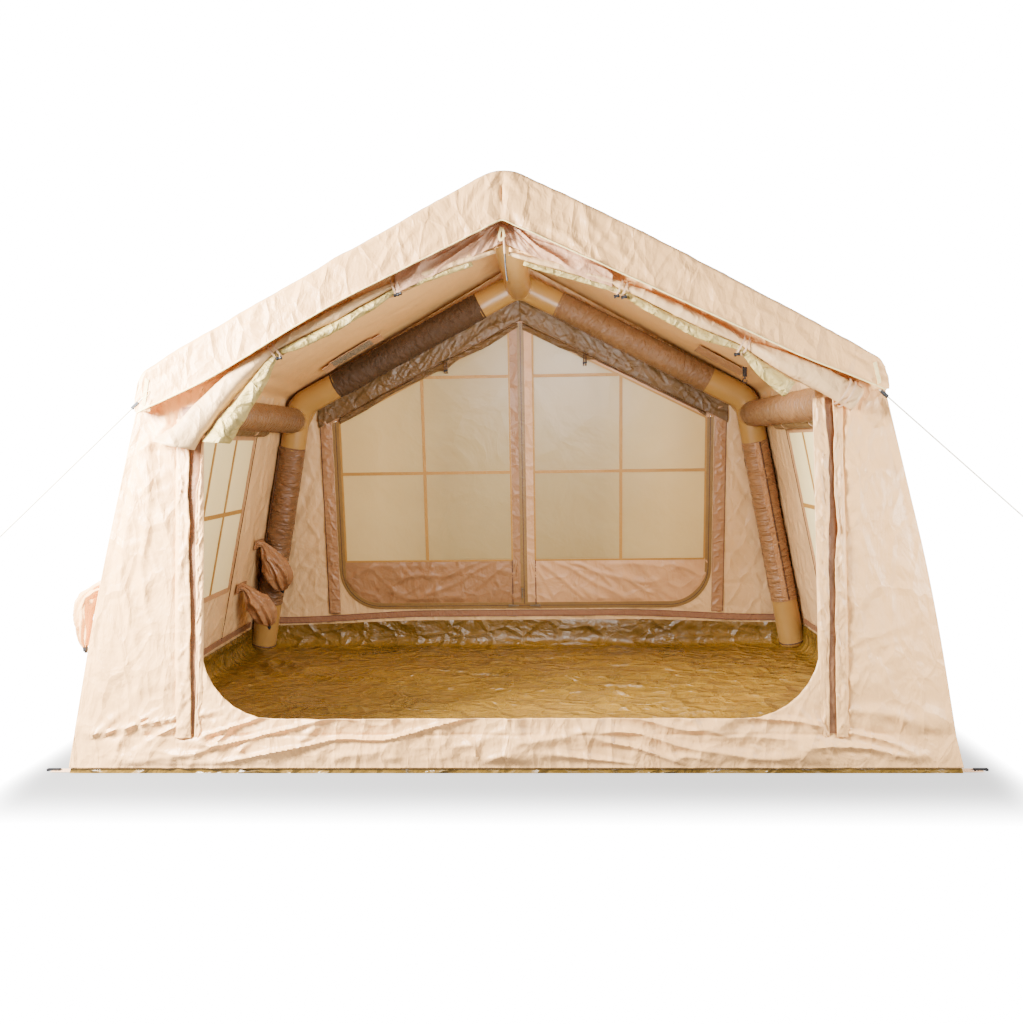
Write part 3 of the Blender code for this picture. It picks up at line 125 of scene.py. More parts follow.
bm = bmesh.new()
bmesh.ops.create_grid(bm, x_segments=1, y_segments=1, size=GROUND_SIZE / 2)
ground_mesh = bpy.data.meshes.new("ground")
bm.to_mesh(ground_mesh)
bm.free()
ground = bpy.data.objects.new("ground", ground_mesh)
bpy.context.scene.collection.objects.link(ground)
print("lamps:", len(bpy.data.lights))

# %% [markdown]
# The driving sizes are those of the CAD model. The four walls lean in by a fixed amount for each metre of
# height, so one function for each wall turns a place on it, and a lift off its outer face, into a point.
# They take whole arrays of numbers, so that a cloth of fifty thousand points is placed at once.

# %% Driving sizes and the planes of the tent
BASE_HALF_WIDTH = 1.5
BASE_HALF_DEPTH = 1.05
EAVE_Z = 1.356
EAVE_HALF_WIDTH = 1.215
EAVE_HALF_DEPTH = 0.902
RIDGE_Z = 2.035
ROOF_OVERHANG = 0.06
VALANCE_MIDDLE_Z = 1.85
VALANCE_CORNER_Z = 1.27
FABRIC = 0.003
GAP = 0.0003
LEFT, RIGHT = -1, 1
FRONT, REAR = -1, 1
SIDE_LEAN = (BASE_HALF_WIDTH - EAVE_HALF_WIDTH) / EAVE_Z
END_LEAN = (BASE_HALF_DEPTH - EAVE_HALF_DEPTH) / EAVE_Z
ROOF_FALL = (RIDGE_Z - EAVE_Z) / EAVE_HALF_WIDTH
VALANCE_FALL = (VALANCE_MIDDLE_Z - VALANCE_CORNER_Z) / EAVE_HALF_WIDTH


def side_x(z):
    return BASE_HALF_WIDTH - SIDE_LEAN * z


def end_y(z):
    return BASE_HALF_DEPTH - END_LEAN * z


def roof_z(x):
    return RIDGE_Z - ROOF_FALL * np.abs(x)


def on_end(end, x, z, lift=0.0):
    """Points on the front or rear wall, lifted off its outer face."""
    share = lift / hypot(1, END_LEAN)
    return np.stack([x + 0 * z, end * (end_y(z) + share), z + END_LEAN * share + 0 * x], axis=-1)


def on_side(side, y, z, lift=0.0):
    """Points on a side wall, lifted off its outer face."""
    share = lift / hypot(1, SIDE_LEAN)
    return np.stack([side * (side_x(z) + share), y + 0 * z, z + SIDE_LEAN * share + 0 * y], axis=-1)


print("leans:", round(SIDE_LEAN, 4), round(END_LEAN, 4), "roof fall:", round(ROOF_FALL, 4))

# %% [markdown]
# Wrinkles are what make cloth. Two functions give them, from one table of seeded random numbers: drift is a
# soft uneven rise and fall, and creases folds that at zero, which leaves thin sharp ridges with broad
# hollows between, as thin coated cloth has. Stretching or turning what goes in makes the folds run long.

# %% Drift and creases
KNOTS = 64


def drift(a, b, seed):
    """Uneven heights from -1 to 1 over a plane, smooth between knots one unit apart."""
    knots = np.random.default_rng(seed).uniform(-1, 1, (KNOTS, KNOTS))
    a, b = np.asarray(a, float) + 0 * b, np.asarray(b, float) + 0 * a
    i, j = np.floor(a).astype(int), np.floor(b).astype(int)
    s, t = a - i, b - j
    s, t = s * s * (3 - 2 * s), t * t * (3 - 2 * t)
    i, j = i % KNOTS, j % KNOTS
    k, m = (i + 1) % KNOTS, (j + 1) % KNOTS
    near = knots[i, j] * (1 - s) + knots[k, j] * s
    far = knots[i, m] * (1 - s) + knots[k, m] * s
    return near * (1 - t) + far * t


def creases(a, b, seed):
    """Thin ridges from 0 to 1, where drift passes through zero."""
    return np.clip(1 - 2.4 * np.abs(drift(a, b, seed)), 0, 1) ** 1.5


def crumple(a, b, size, seed):
    """Ridges that run every way: three layers, each turned and finer than the last."""
    total = 0
    for layer, (turn, finer, share) in enumerate(((0.5, 1, 0.55), (2.1, 1.9, 0.3), (3.9, 3.4, 0.15))):
        p = (a * cos(turn) + b * sin(turn)) / size * finer
        q = (b * cos(turn) - a * sin(turn)) / size * finer
        bend = 0.7 * drift(p * 0.6, q * 0.6, seed + 50 + layer)
        total = total + share * creases(p + bend, (q - bend) * 0.6, seed + layer)
    return total


def near(value, middle, reach):
    """1 at the middle, falling smoothly to nearly 0 at twice the reach."""
    return np.exp(-(((value - middle) / reach) ** 2))


def ramp(value, start, end):
    """0 before start, 1 after end, smooth between."""
    share = np.clip((value - start) / (end - start), 0, 1)
    return share * share * (3 - 2 * share)


print("drift at a knot:", round(float(drift(3.0, 4.0, 1)), 3))

# %% [markdown]
# Every cloth here starts as one bmesh grid. A shape function then says where each of its points goes, from
# two shares that run from 0 to 1 across and along it. A grid whose first and last columns meet is welded
# into a tube. The UV map is in metres of cloth, so a weave keeps its size however the piece is bent.

# %% Helpers that turn a grid into cloth
def grid_mesh(columns, rows, shape, flat, around=False, flip=False, capped=False):
    """A mesh from a grid of cells whose points go where shape(u, v) says, with UVs over flat metres."""
    bm = bmesh.new()
    bmesh.ops.create_grid(bm, x_segments=columns, y_segments=rows, size=0.5)
    mesh = bpy.data.meshes.new("grid")
    bm.to_mesh(mesh)
    bm.free()
    count = len(mesh.vertices)
    places = np.empty(count * 3, np.float32)
    mesh.vertices.foreach_get("co", places)
    u, v = (places.reshape(count, 3)[:, :2].T + 0.5).astype(float)
    points = np.asarray(shape(u, v), np.float32)
    corners = np.empty(len(mesh.loops), np.int32)
    mesh.loops.foreach_get("vertex_index", corners)
    uv = np.stack([u[corners] * flat[0], v[corners] * flat[1]], axis=-1).astype(np.float32)
    mesh.uv_layers.new(name="cloth").data.foreach_set("uv", uv.ravel())
    mesh.vertices.foreach_set("co", points.ravel())
    if around or capped:
        bm = bmesh.new()
        bm.from_mesh(mesh)
        bmesh.ops.remove_doubles(bm, verts=bm.verts[:], dist=1e-5)
        if capped:
            bmesh.ops.holes_fill(bm, edges=bm.edges[:], sides=0)
            bmesh.ops.recalc_face_normals(bm, faces=bm.faces[:])
        bm.to_mesh(mesh)
        bm.free()
    if flip:
        mesh.flip_normals()
    return mesh


def piece(name, meshes, materials, body="tent", stands_for=(), sharp=60):
    """One object from one or more meshes, with its materials and the body that it rides on."""
    bm = bmesh.new()
    for mesh in meshes:
        bm.from_mesh(mesh)
        bpy.data.meshes.remove(mesh)
    mesh = bpy.data.meshes.new(name)
    bm.to_mesh(mesh)
    bm.free()
    mesh.shade_smooth()
    mesh.set_sharp_from_angle(angle=radians(sharp))
    for material in materials:
        mesh.materials.append(material)
    obj = bpy.data.objects.new(name, mesh)
    bpy.context.scene.collection.objects.link(obj)
    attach(obj, body)
    if stands_for:
        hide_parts(*stands_for)
    print(name, len(mesh.polygons), "faces")
    return obj


def doubled(obj, thickness, lining=False):
    """Gives a single sheet its thickness inwards; lining puts the second material on the inner face."""
    solid = obj.modifiers.new("thickness", "SOLIDIFY")
    solid.thickness = thickness
    solid.offset = -1
    solid.use_even_offset = False
    if lining:
        solid.material_offset = 1
        solid.material_offset_rim = 1
    return obj


def unit(vectors):
    return vectors / np.maximum(np.linalg.norm(vectors, axis=-1, keepdims=True), 1e-12)


def along_path(path, share):
    """Points at these shares of a polyline's length."""
    path = np.asarray(path, float)
    steps = np.linalg.norm(np.diff(path, axis=0), axis=1)
    reach = np.concatenate([[0], np.cumsum(steps)]) / max(steps.sum(), 1e-9)
    return np.stack([np.interp(share, reach, path[:, axis]) for axis in range(path.shape[1])], axis=-1)


def path_length(path):
    return float(np.linalg.norm(np.diff(np.asarray(path, float), axis=0), axis=1).sum())


def band(path, normals, width, rise, step=0.006, sunk=0.0005, across=4):
    """A flat tape along a path: a closed bar, domed by its rise and let a little into what it lies on."""
    path = np.asarray(path, float)
    normals = unit(np.broadcast_to(np.asarray(normals, float), path.shape))
    length = path_length(path)
    rows = max(2, round(length / step))
    around = 2 * across

    def shape(u, v):
        centre = along_path(path, v)
        normal = unit(along_path(np.concatenate([path * 0 + normals], axis=1), v))
        ahead = (
            along_path(path, np.minimum(v + 0.5 / rows, 1))
            - along_path(path, np.maximum(v - 0.5 / rows, 0))
        )
        across_way = unit(np.cross(unit(ahead), normal))
        turn = u * tau
        flat = np.clip(1.35 * np.cos(turn), -1, 1) * width / 2
        high = np.where(np.sin(turn) > 0, np.clip(1.6 * np.sin(turn), 0, 1) * rise, np.sin(turn) * sunk)
        return centre + across_way * flat[:, None] + normal * high[:, None]

    return grid_mesh(around, rows, shape, (2 * width, length), around=True, capped=True)


def tube(path, radius, step=0.01, sides=12, ends=True, fold=None):
    """A round tube along a path; fold(turn, share) may push its skin in or out by a share of its radius."""
    path = np.asarray(path, float)
    length = path_length(path)
    rows = max(2, round(length / step))
    first = unit(path[1] - path[0])
    seed_way = np.array([0.0, 0.0, 1.0]) if abs(first[2]) < 0.9 else np.array([0.0, 1.0, 0.0])

    def shape(u, v):
        centre = along_path(path, v)
        ahead = unit(
            along_path(path, np.minimum(v + 0.5 / rows, 1))
            - along_path(path, np.maximum(v - 0.5 / rows, 0))
        )
        across_way = unit(np.cross(ahead, seed_way))
        up_way = np.cross(across_way, ahead)
        size = radius(v) if callable(radius) else radius + 0 * v
        if fold is not None:
            size = size * (1 + fold(u * tau, v))
        turn = u * tau
        return centre + across_way * (size * np.cos(turn))[:, None] + up_way * (size * np.sin(turn))[:, None]

    return grid_mesh(sides, rows, shape, (tau * 0.03, length), around=True, capped=ends)


def smooth(points, steps=8):
    """A smooth curve through a few given points (Catmull-Rom)."""
    points = np.asarray(points, float)
    found = []
    last = len(points) - 1
    for index in range(last):
        a, b, c, d = (points[min(max(index + shift, 0), last)] for shift in (-1, 0, 1, 2))
        for step in range(steps):
            t = step / steps
            bend, twist = 2 * a - 5 * b + 4 * c - d, 3 * b - a - 3 * c + d
            found.append(b + ((c - a) * t + bend * t**2 + twist * t**3) / 2)
    return np.array(found + [points[-1]])


def rounded(corners, radii, steps=8, closed=True):
    """An outline whose corners are turned into arcs of the given radii, where a radius isn't zero."""
    points = []
    last = len(corners) - 1
    for index, (corner, radius) in enumerate(zip(corners, radii)):
        if not radius or (not closed and index in (0, last)):
            points.append(tuple(corner))
            continue
        here = Vector(corner)
        back = (Vector(corners[index - 1]) - here).normalized()
        ahead = (Vector(corners[(index + 1) % len(corners)]) - here).normalized()
        half = back.angle(ahead) / 2
        centre = here + (back + ahead).normalized() * radius / sin(half)
        start = here + back * radius * cos(half) / sin(half) - centre
        end = here + ahead * radius * cos(half) / sin(half) - centre
        first = atan2(start.y, start.x)
        turn = (atan2(end.y, end.x) - first + pi) % tau - pi
        for step in range(steps + 1):
            spot = first + turn * step / steps
            points.append((centre[0] + radius * cos(spot), centre[1] + radius * sin(spot)))
    return points


print("a straight path of 3 and 4 is", path_length([(0, 0), (3, 4)]), "long")

# %% [markdown]
# Most surfaces here are thin coated cloth. Close up it is a plain weave of threads under a millimetre
# thick, so one shader group draws the threads, one the fine creases that the mesh is too coarse for, and
# one a slow change of shade. Each material places these groups with its own values.

# %% Shader groups: weave, fine creases, shade, stitches
def new_group(name, inputs, outputs):
    """An empty shader group with float or vector inputs and float outputs."""
    group = bpy.data.node_groups.new(name, "ShaderNodeTree")
    for label, kind, value in inputs:
        socket = group.interface.new_socket(label, in_out="INPUT", socket_type=kind)
        if value is not None:
            socket.default_value = value
    for label in outputs:
        group.interface.new_socket(label, in_out="OUTPUT", socket_type="NodeSocketFloat")
    return group, group.nodes.new("NodeGroupInput"), group.nodes.new("NodeGroupOutput")


def math_node(tree, operation, first, second=None, clamp=False):
    """A Math node; each of its inputs is a number or a socket."""
    node = tree.nodes.new("ShaderNodeMath")
    node.operation = operation
    node.use_clamp = clamp
    for index, value in enumerate((first, second)):
        if value is None:
            continue
        if isinstance(value, (int, float)):
            node.inputs[index].default_value = value
        else:
            tree.links.new(value, node.inputs[index])
    return node.outputs[0]


def weave_group():
    """Plain weave: two sets of threads at right angles, each thread of a slightly different height."""
    group, given, out = new_group(
        "weave", [("Vector", "NodeSocketVector", None), ("Threads", "NodeSocketFloat", 900)],
        ["Height", "Shade"],
    )
    heights = []
    for direction in ("X", "Y"):
        wave = group.nodes.new("ShaderNodeTexWave")
        wave.bands_direction = direction
        wave.inputs["Distortion"].default_value = 0.6
        wave.inputs["Detail"].default_value = 1
        wave.inputs["Detail Scale"].default_value = 0.4
        group.links.new(given.outputs["Vector"], wave.inputs["Vector"])
        group.links.new(given.outputs["Threads"], wave.inputs["Scale"])
        heights.append(wave.outputs["Fac"])
    noise = group.nodes.new("ShaderNodeTexNoise")
    noise.inputs["Scale"].default_value = 220
    noise.inputs["Detail"].default_value = 2
    group.links.new(given.outputs["Vector"], noise.inputs["Vector"])
    threads = math_node(group, "MAXIMUM", heights[0], heights[1])
    group.links.new(math_node(group, "MULTIPLY", threads, noise.outputs["Fac"]), out.inputs["Height"])
    group.links.new(noise.outputs["Fac"], out.inputs["Shade"])
    return group


def crease_group():
    """Fine sharp creases and soft dents, as coated cloth keeps from its bag."""
    group, given, out = new_group(
        "fine_creases",
        [
            ("Vector", "NodeSocketVector", None), ("Scale", "NodeSocketFloat", 12),
            ("Sharp", "NodeSocketFloat", 0.5),
        ],
        ["Height"],
    )
    noise = group.nodes.new("ShaderNodeTexNoise")
    noise.inputs["Detail"].default_value = 4
    noise.inputs["Roughness"].default_value = 0.55
    noise.inputs["Distortion"].default_value = 0.35
    group.links.new(given.outputs["Vector"], noise.inputs["Vector"])
    group.links.new(given.outputs["Scale"], noise.inputs["Scale"])
    ridge = math_node(group, "ABSOLUTE", math_node(group, "SUBTRACT", noise.outputs["Fac"], 0.5))
    ridge = math_node(group, "SUBTRACT", 1, math_node(group, "MULTIPLY", ridge, 5), clamp=True)
    cells = group.nodes.new("ShaderNodeTexVoronoi")
    cells.feature = "DISTANCE_TO_EDGE"
    warp = group.nodes.new("ShaderNodeVectorMath")
    warp.operation = "MULTIPLY_ADD"
    group.links.new(noise.outputs["Color"], warp.inputs[0])
    warp.inputs[1].default_value = (0.05, 0.05, 0.05)
    group.links.new(given.outputs["Vector"], warp.inputs[2])
    group.links.new(warp.outputs["Vector"], cells.inputs["Vector"])
    group.links.new(math_node(group, "MULTIPLY", given.outputs["Scale"], 1.3), cells.inputs["Scale"])
    edge = math_node(
        group, "SUBTRACT", 1, math_node(group, "MULTIPLY", cells.outputs["Distance"], 6), clamp=True
    )
    edge = math_node(group, "MULTIPLY", edge, given.outputs["Sharp"])
    group.links.new(
        math_node(group, "ADD", math_node(group, "MULTIPLY", ridge, 0.6), edge), out.inputs["Height"]
    )
    return group


def shade_group():
    """A slow change of shade, from 0 to 1, as from handling and from light through the cloth."""
    group, given, out = new_group(
        "slow_shade", [("Vector", "NodeSocketVector", None), ("Scale", "NodeSocketFloat", 2)], ["Shade"]
    )
    noise = group.nodes.new("ShaderNodeTexNoise")
    noise.inputs["Detail"].default_value = 3
    noise.inputs["Roughness"].default_value = 0.6
    group.links.new(given.outputs["Vector"], noise.inputs["Vector"])
    group.links.new(given.outputs["Scale"], noise.inputs["Scale"])
    spread = math_node(group, "MULTIPLY", math_node(group, "SUBTRACT", noise.outputs["Fac"], 0.5), 2.2)
    group.links.new(math_node(group, "ADD", spread, 0.5, clamp=True), out.inputs["Shade"])
    return group


def stitch_group():
    """Two rows of stitches along a tape: 1 on the thread, 0 beside it. V runs along, U across from 0 to 1."""
    group, given, out = new_group(
        "stitches",
        [
            ("Vector", "NodeSocketVector", None), ("Length", "NodeSocketFloat", 0.004),
            ("Width", "NodeSocketFloat", 0.04),
        ],
        ["Thread"],
    )
    split = group.nodes.new("ShaderNodeSeparateXYZ")
    group.links.new(given.outputs["Vector"], split.inputs["Vector"])
    share = math_node(group, "DIVIDE", split.outputs["Y"], given.outputs["Length"])
    dash = math_node(group, "LESS_THAN", math_node(group, "FRACT", share), 0.68)
    across = math_node(group, "DIVIDE", split.outputs["X"], given.outputs["Width"])
    rows = None
    for place in (0.1, 0.4):
        away = math_node(group, "ABSOLUTE", math_node(group, "SUBTRACT", across, place))
        row = math_node(group, "LESS_THAN", away, 0.018)
        rows = row if rows is None else math_node(group, "MAXIMUM", rows, row)
    group.links.new(math_node(group, "MULTIPLY", rows, dash), out.inputs["Thread"])
    return group


WEAVE, CREASES, SHADE, STITCHES = weave_group(), crease_group(), shade_group(), stitch_group()
print("shader groups:", [group.name for group in (WEAVE, CREASES, SHADE, STITCHES)])

# %% [markdown]
# A cloth material mixes two close colours by the slow shade, dulls and shines with it, and gives its bump
# from creases and threads. The same function makes canvas, sleeve cloth, mesh, tape and air film, because
# on the real tent they are all woven or coated sheet, told apart by colour, gloss and how they crease.

# %% Cloth, film and plastic materials
def placed_group(tree, group, vector, **values):
    node = tree.nodes.new("ShaderNodeGroup")
    node.node_tree = group
    tree.links.new(vector, node.inputs["Vector"])
    for label, value in values.items():
        node.inputs[label].default_value = value
    return node


def cloth_material(
    name, light, dark, roughness, crease_scale=9, crease_depth=0.004, sharp=0.5, threads=700,
    thread_depth=0.00012, sheen=0.0, shade_scale=1.6, alpha=1.0, stitched=None, coat=0.0,
    stretch=(1, 1, 1), along_cloth=False, painted_shade_by_height=None, painted_light_outwards=None,
):
    """Sheet material. Its light and dark colours are the shares of red, green and blue that it sends back."""
    material = bpy.data.materials.new(name)
    material.use_nodes = True
    tree = material.node_tree
    shader = tree.nodes["Principled BSDF"]
    places = tree.nodes.new("ShaderNodeTexCoord")
    solid, flat = places.outputs["Object"], places.outputs["UV"]
    shade = placed_group(tree, SHADE, solid, Scale=shade_scale)
    drawn = tree.nodes.new("ShaderNodeVectorMath")
    drawn.operation = "MULTIPLY"
    tree.links.new(flat if along_cloth else solid, drawn.inputs[0])
    drawn.inputs[1].default_value = stretch
    crease = placed_group(tree, CREASES, drawn.outputs["Vector"], Scale=crease_scale, Sharp=sharp)
    weave = placed_group(tree, WEAVE, flat, Threads=threads)
    mix = tree.nodes.new("ShaderNodeMix")
    mix.data_type = "RGBA"
    mix.inputs["A"].default_value = (*dark, 1)
    mix.inputs["B"].default_value = (*light, 1)
    blended = math_node(tree, "MULTIPLY", weave.outputs["Shade"], 0.3)
    blended = math_node(tree, "ADD", math_node(tree, "MULTIPLY", shade.outputs["Shade"], 0.85), blended)
    tree.links.new(math_node(tree, "SUBTRACT", blended, 0.05, clamp=True), mix.inputs["Factor"])
    base = mix.outputs["Result"]
    if stitched:
        thread_colour, width = stitched
        thread = placed_group(tree, STITCHES, flat, Width=2 * width)
        over = tree.nodes.new("ShaderNodeMix")
        over.data_type = "RGBA"
        tree.links.new(thread.outputs["Thread"], over.inputs["Factor"])
        tree.links.new(base, over.inputs["A"])
        over.inputs["B"].default_value = (*thread_colour, 1)
        base = over.outputs["Result"]
    # Painted light and shade: the colour is scaled by height (darker up the tub's edge) or by distance from
    # the middle (brighter towards the panes' outer edges).
    for axis, painted_ramp in (("Z", painted_shade_by_height), ("X", painted_light_outwards)):
        if painted_ramp is None:
            continue
        low, high, share = painted_ramp
        split = tree.nodes.new("ShaderNodeSeparateXYZ")
        tree.links.new(solid, split.inputs["Vector"])
        climb = tree.nodes.new("ShaderNodeMapRange")
        climb.inputs["From Min"].default_value = low
        climb.inputs["From Max"].default_value = high
        climb.inputs["To Min"].default_value = 1
        climb.inputs["To Max"].default_value = share
        tree.links.new(math_node(tree, "ABSOLUTE", split.outputs[axis]), climb.inputs["Value"])
        painted_scale = tree.nodes.new("ShaderNodeVectorMath")
        painted_scale.operation = "SCALE"
        tree.links.new(base, painted_scale.inputs[0])
        tree.links.new(climb.outputs["Result"], painted_scale.inputs["Scale"])
        base = painted_scale.outputs["Vector"]
    tree.links.new(base, shader.inputs["Base Color"])
    rough = math_node(tree, "MULTIPLY", shade.outputs["Shade"], 0.12)
    tree.links.new(math_node(tree, "ADD", rough, roughness - 0.06), shader.inputs["Roughness"])
    bumps = []
    for height, distance in (
        (crease.outputs["Height"], crease_depth), (weave.outputs["Height"], thread_depth)
    ):
        bump = tree.nodes.new("ShaderNodeBump")
        bump.inputs["Strength"].default_value = 1
        bump.inputs["Distance"].default_value = distance
        tree.links.new(height, bump.inputs["Height"])
        if bumps:
            tree.links.new(bumps[-1].outputs["Normal"], bump.inputs["Normal"])
        bumps.append(bump)
    tree.links.new(bumps[-1].outputs["Normal"], shader.inputs["Normal"])
    shader.inputs["Sheen Weight"].default_value = sheen
    shader.inputs["Alpha"].default_value = alpha
    shader.inputs["Coat Weight"].default_value = coat
    shader.inputs["Coat Roughness"].default_value = 0.25
    return material


CREAM = cloth_material(
    "cream_canvas", (0.90, 0.50, 0.19), (0.82, 0.445, 0.162), 0.4, 6, 0.0065, 0.5, sheen=0.1,
    stretch=(1.5, 1, 0.8),
)
# The inner face of the same cream cloth. Its darker tan is painted shade for the tent's inside, and its
# warmth painted light that comes through the cloth.
INNER_FACE_SHADE = cloth_material(
    "inner_face_painted_shade", (0.74, 0.465, 0.215), (0.64, 0.39, 0.173), 0.46, 6, 0.006, 0.5, stretch=(1.4, 1, 0.9)
)
# The roof's inner face, of the same cloth: brighter and yellower than the walls' inner face, as painted light
# that comes through the roof.
CEILING_PAINTED_LIGHT = cloth_material("ceiling_painted_light", (0.78, 0.45, 0.162), (0.73, 0.41, 0.14), 0.55, 4, 0.0012, 0.1)
# Inner faces of the rear leaves, one cloth in two copies: the left leaf's is darker as painted shade, the
# right leaf's (below) lighter as painted light.
LEAF_LINING_SHADED = cloth_material("leaf_lining", (0.33, 0.165, 0.068), (0.26, 0.125, 0.05), 0.44, 7, 0.006, 0.5)
# Two copies of one brown sleeve cloth for the rafters: the darker is painted shade for the left rafter
# sleeves, the lighter one, named lit, serves the right ones.
SHADED_RAFTER_SLEEVE = cloth_material(
    "rafter_sleeve", (0.066, 0.028, 0.005), (0.042, 0.018, 0.003), 0.72, 22, 0.008, 0.3, along_cloth=True
)
RAFTER_LIT = cloth_material(
    "rafter_sleeve_lit", (0.225, 0.112, 0.041), (0.155, 0.076, 0.027), 0.5, 22, 0.008, 0.3,
    along_cloth=True,
)
SLEEVE = cloth_material(
    "brown_sleeve", (0.21, 0.10, 0.038), (0.145, 0.068, 0.025), 0.38, 22, 0.010, 0.3, along_cloth=True,
    stretch=(0.5, 1.2, 1),
)
# The same brown sleeve cloth, lighter: painted light on the right leg sleeves.
SLEEVE_LIT = cloth_material(
    "brown_sleeve_lit", (0.34, 0.17, 0.068), (0.25, 0.12, 0.046), 0.38, 22, 0.010, 0.3, along_cloth=True,
    stretch=(0.5, 1.2, 1),
)
SLEEVE_FLAP = cloth_material("sleeve_flap", (0.44, 0.22, 0.09), (0.34, 0.165, 0.066), 0.36, 26, 0.004, 0.3)
FILM = cloth_material(
    "golden_film", (0.38, 0.205, 0.052), (0.34, 0.18, 0.042), 0.34, 5, 0.0012, 0.05, thread_depth=0.00002
)
# Darker higher up the tub's edge: painted shade, so the edge that faces the lamps reads as dark as the floor.
FLOOR = cloth_material(
    "golden_floor", (0.235, 0.126, 0.0145), (0.125, 0.067, 0.0075), 0.3, 7, 0.016, 0.5, threads=500,
    coat=0.2, stretch=(0.75, 1.1, 1.1), painted_shade_by_height=(0.03, 0.09, 0.8),
)
MESH = cloth_material(
    "door_mesh", (0.56, 0.41, 0.125), (0.42, 0.30, 0.085), 0.5, 12, 0.012, 0.5, threads=700,
    thread_depth=0.0003,
)
WINDOW = cloth_material(
    "window_mesh", (0.96, 0.80, 0.40), (0.92, 0.73, 0.33), 0.6, 5, 0.002, 0.05, threads=350, alpha=0.97
)
# Brighter towards the outer edges: painted light, for the white outside showing through the film.
PANE = cloth_material(
    "pane_film", (0.40, 0.297, 0.126), (0.35, 0.252, 0.105), 0.36, 3, 0.003, 0.3, thread_depth=0.00002,
    painted_light_outwards=(0.4, 0.76, 1.6),
)
TAPE = cloth_material("golden_tape", (0.42, 0.215, 0.042), (0.34, 0.165, 0.03), 0.5, 20, 0.001, threads=1200)
OLIVE = cloth_material("zip_tape", (0.24, 0.135, 0.038), (0.18, 0.10, 0.027), 0.45, 20, 0.001, threads=1200)
PIPING = cloth_material("pale_piping", (0.95, 0.73, 0.33), (0.88, 0.65, 0.26), 0.5, 25, 0.001, threads=1200)
CURTAIN = cloth_material("brown_curtain", (0.165, 0.088, 0.026), (0.095, 0.048, 0.013), 0.45, 12, 0.006, 0.4)
# Painted shade: the colour of the cream wall cloth in the valance's shadow at the peak.
VALANCE_SHADOW_CLOTH = cloth_material("valance_shadow_cloth", (0.70, 0.39, 0.215), (0.50, 0.25, 0.125), 0.45, 12, 0.004, 0.2)
BINDING = cloth_material("tan_binding", (0.50, 0.26, 0.115), (0.40, 0.20, 0.08), 0.5, 14, 0.003, 0.2)
WEBBING = cloth_material("pale_webbing", (0.72, 0.46, 0.27), (0.58, 0.35, 0.19), 0.6, 25, 0.001, threads=500)
SLIT = cloth_material("brown_slit", (0.40, 0.18, 0.075), (0.30, 0.13, 0.052), 0.45, 14, 0.003, 0.2)
# The right leaf's inner face: the same cloth as the left's, lighter as painted light.
LEAF_LINING_LIT = cloth_material(
    "leaf_lining_painted_light", (0.60, 0.325, 0.15), (0.49, 0.26, 0.115), 0.44, 7, 0.006, 0.5
)
PORT = cloth_material("port_cloth", (0.38, 0.185, 0.078), (0.28, 0.13, 0.052), 0.42, 18, 0.003, 0.4)
STRIP = cloth_material("brown_strip", (0.40, 0.205, 0.093), (0.30, 0.148, 0.064), 0.4, 14, 0.004, 0.4)
HEM = cloth_material("purple_hem", (0.30, 0.145, 0.075), (0.22, 0.102, 0.05), 0.45, 18, 0.002)
GRILLE = cloth_material("grey_grille", (0.26, 0.21, 0.14), (0.17, 0.13, 0.085), 0.5, 20, 0.001, threads=300)
STRAP = cloth_material(
    "black_webbing", (0.03, 0.02, 0.014), (0.018, 0.012, 0.009), 0.6, 25, 0.001, threads=500
)
DARK = cloth_material("dark_tape", (0.10, 0.05, 0.024), (0.06, 0.028, 0.013), 0.45, 20, 0.001, threads=1200)


def plain_material(name, light, dark, roughness, metallic, grain, depth):
    """Moulded plastic or cast metal: a fine grain, and a colour that shifts slightly with it."""
    material = bpy.data.materials.new(name)
    material.use_nodes = True
    tree = material.node_tree
    shader = tree.nodes["Principled BSDF"]
    places = tree.nodes.new("ShaderNodeTexCoord")
    shade = placed_group(tree, SHADE, places.outputs["Object"], Scale=grain)
    mix = tree.nodes.new("ShaderNodeMix")
    mix.data_type = "RGBA"
    mix.inputs["A"].default_value = (*dark, 1)
    mix.inputs["B"].default_value = (*light, 1)
    tree.links.new(shade.outputs["Shade"], mix.inputs["Factor"])
    tree.links.new(mix.outputs["Result"], shader.inputs["Base Color"])
    rough = math_node(tree, "MULTIPLY", shade.outputs["Shade"], 0.15)
    tree.links.new(math_node(tree, "ADD", rough, roughness - 0.07), shader.inputs["Roughness"])
    bump = tree.nodes.new("ShaderNodeBump")
    bump.inputs["Distance"].default_value = depth
    tree.links.new(shade.outputs["Shade"], bump.inputs["Height"])
    tree.links.new(bump.outputs["Normal"], shader.inputs["Normal"])
    shader.inputs["Metallic"].default_value = metallic
    return material


PLASTIC = plain_material("black_plastic", (0.016, 0.015, 0.016), (0.007, 0.007, 0.008), 0.4, 0.0, 600, 0.0002)
METAL = plain_material("zip_metal", (0.32, 0.26, 0.19), (0.14, 0.11, 0.08), 0.35, 0.9, 400, 0.0001)
CORD = cloth_material("guy_cord", (0.93, 0.85, 0.66), (0.85, 0.76, 0.55), 0.7, 60, 0.0004, threads=1500)


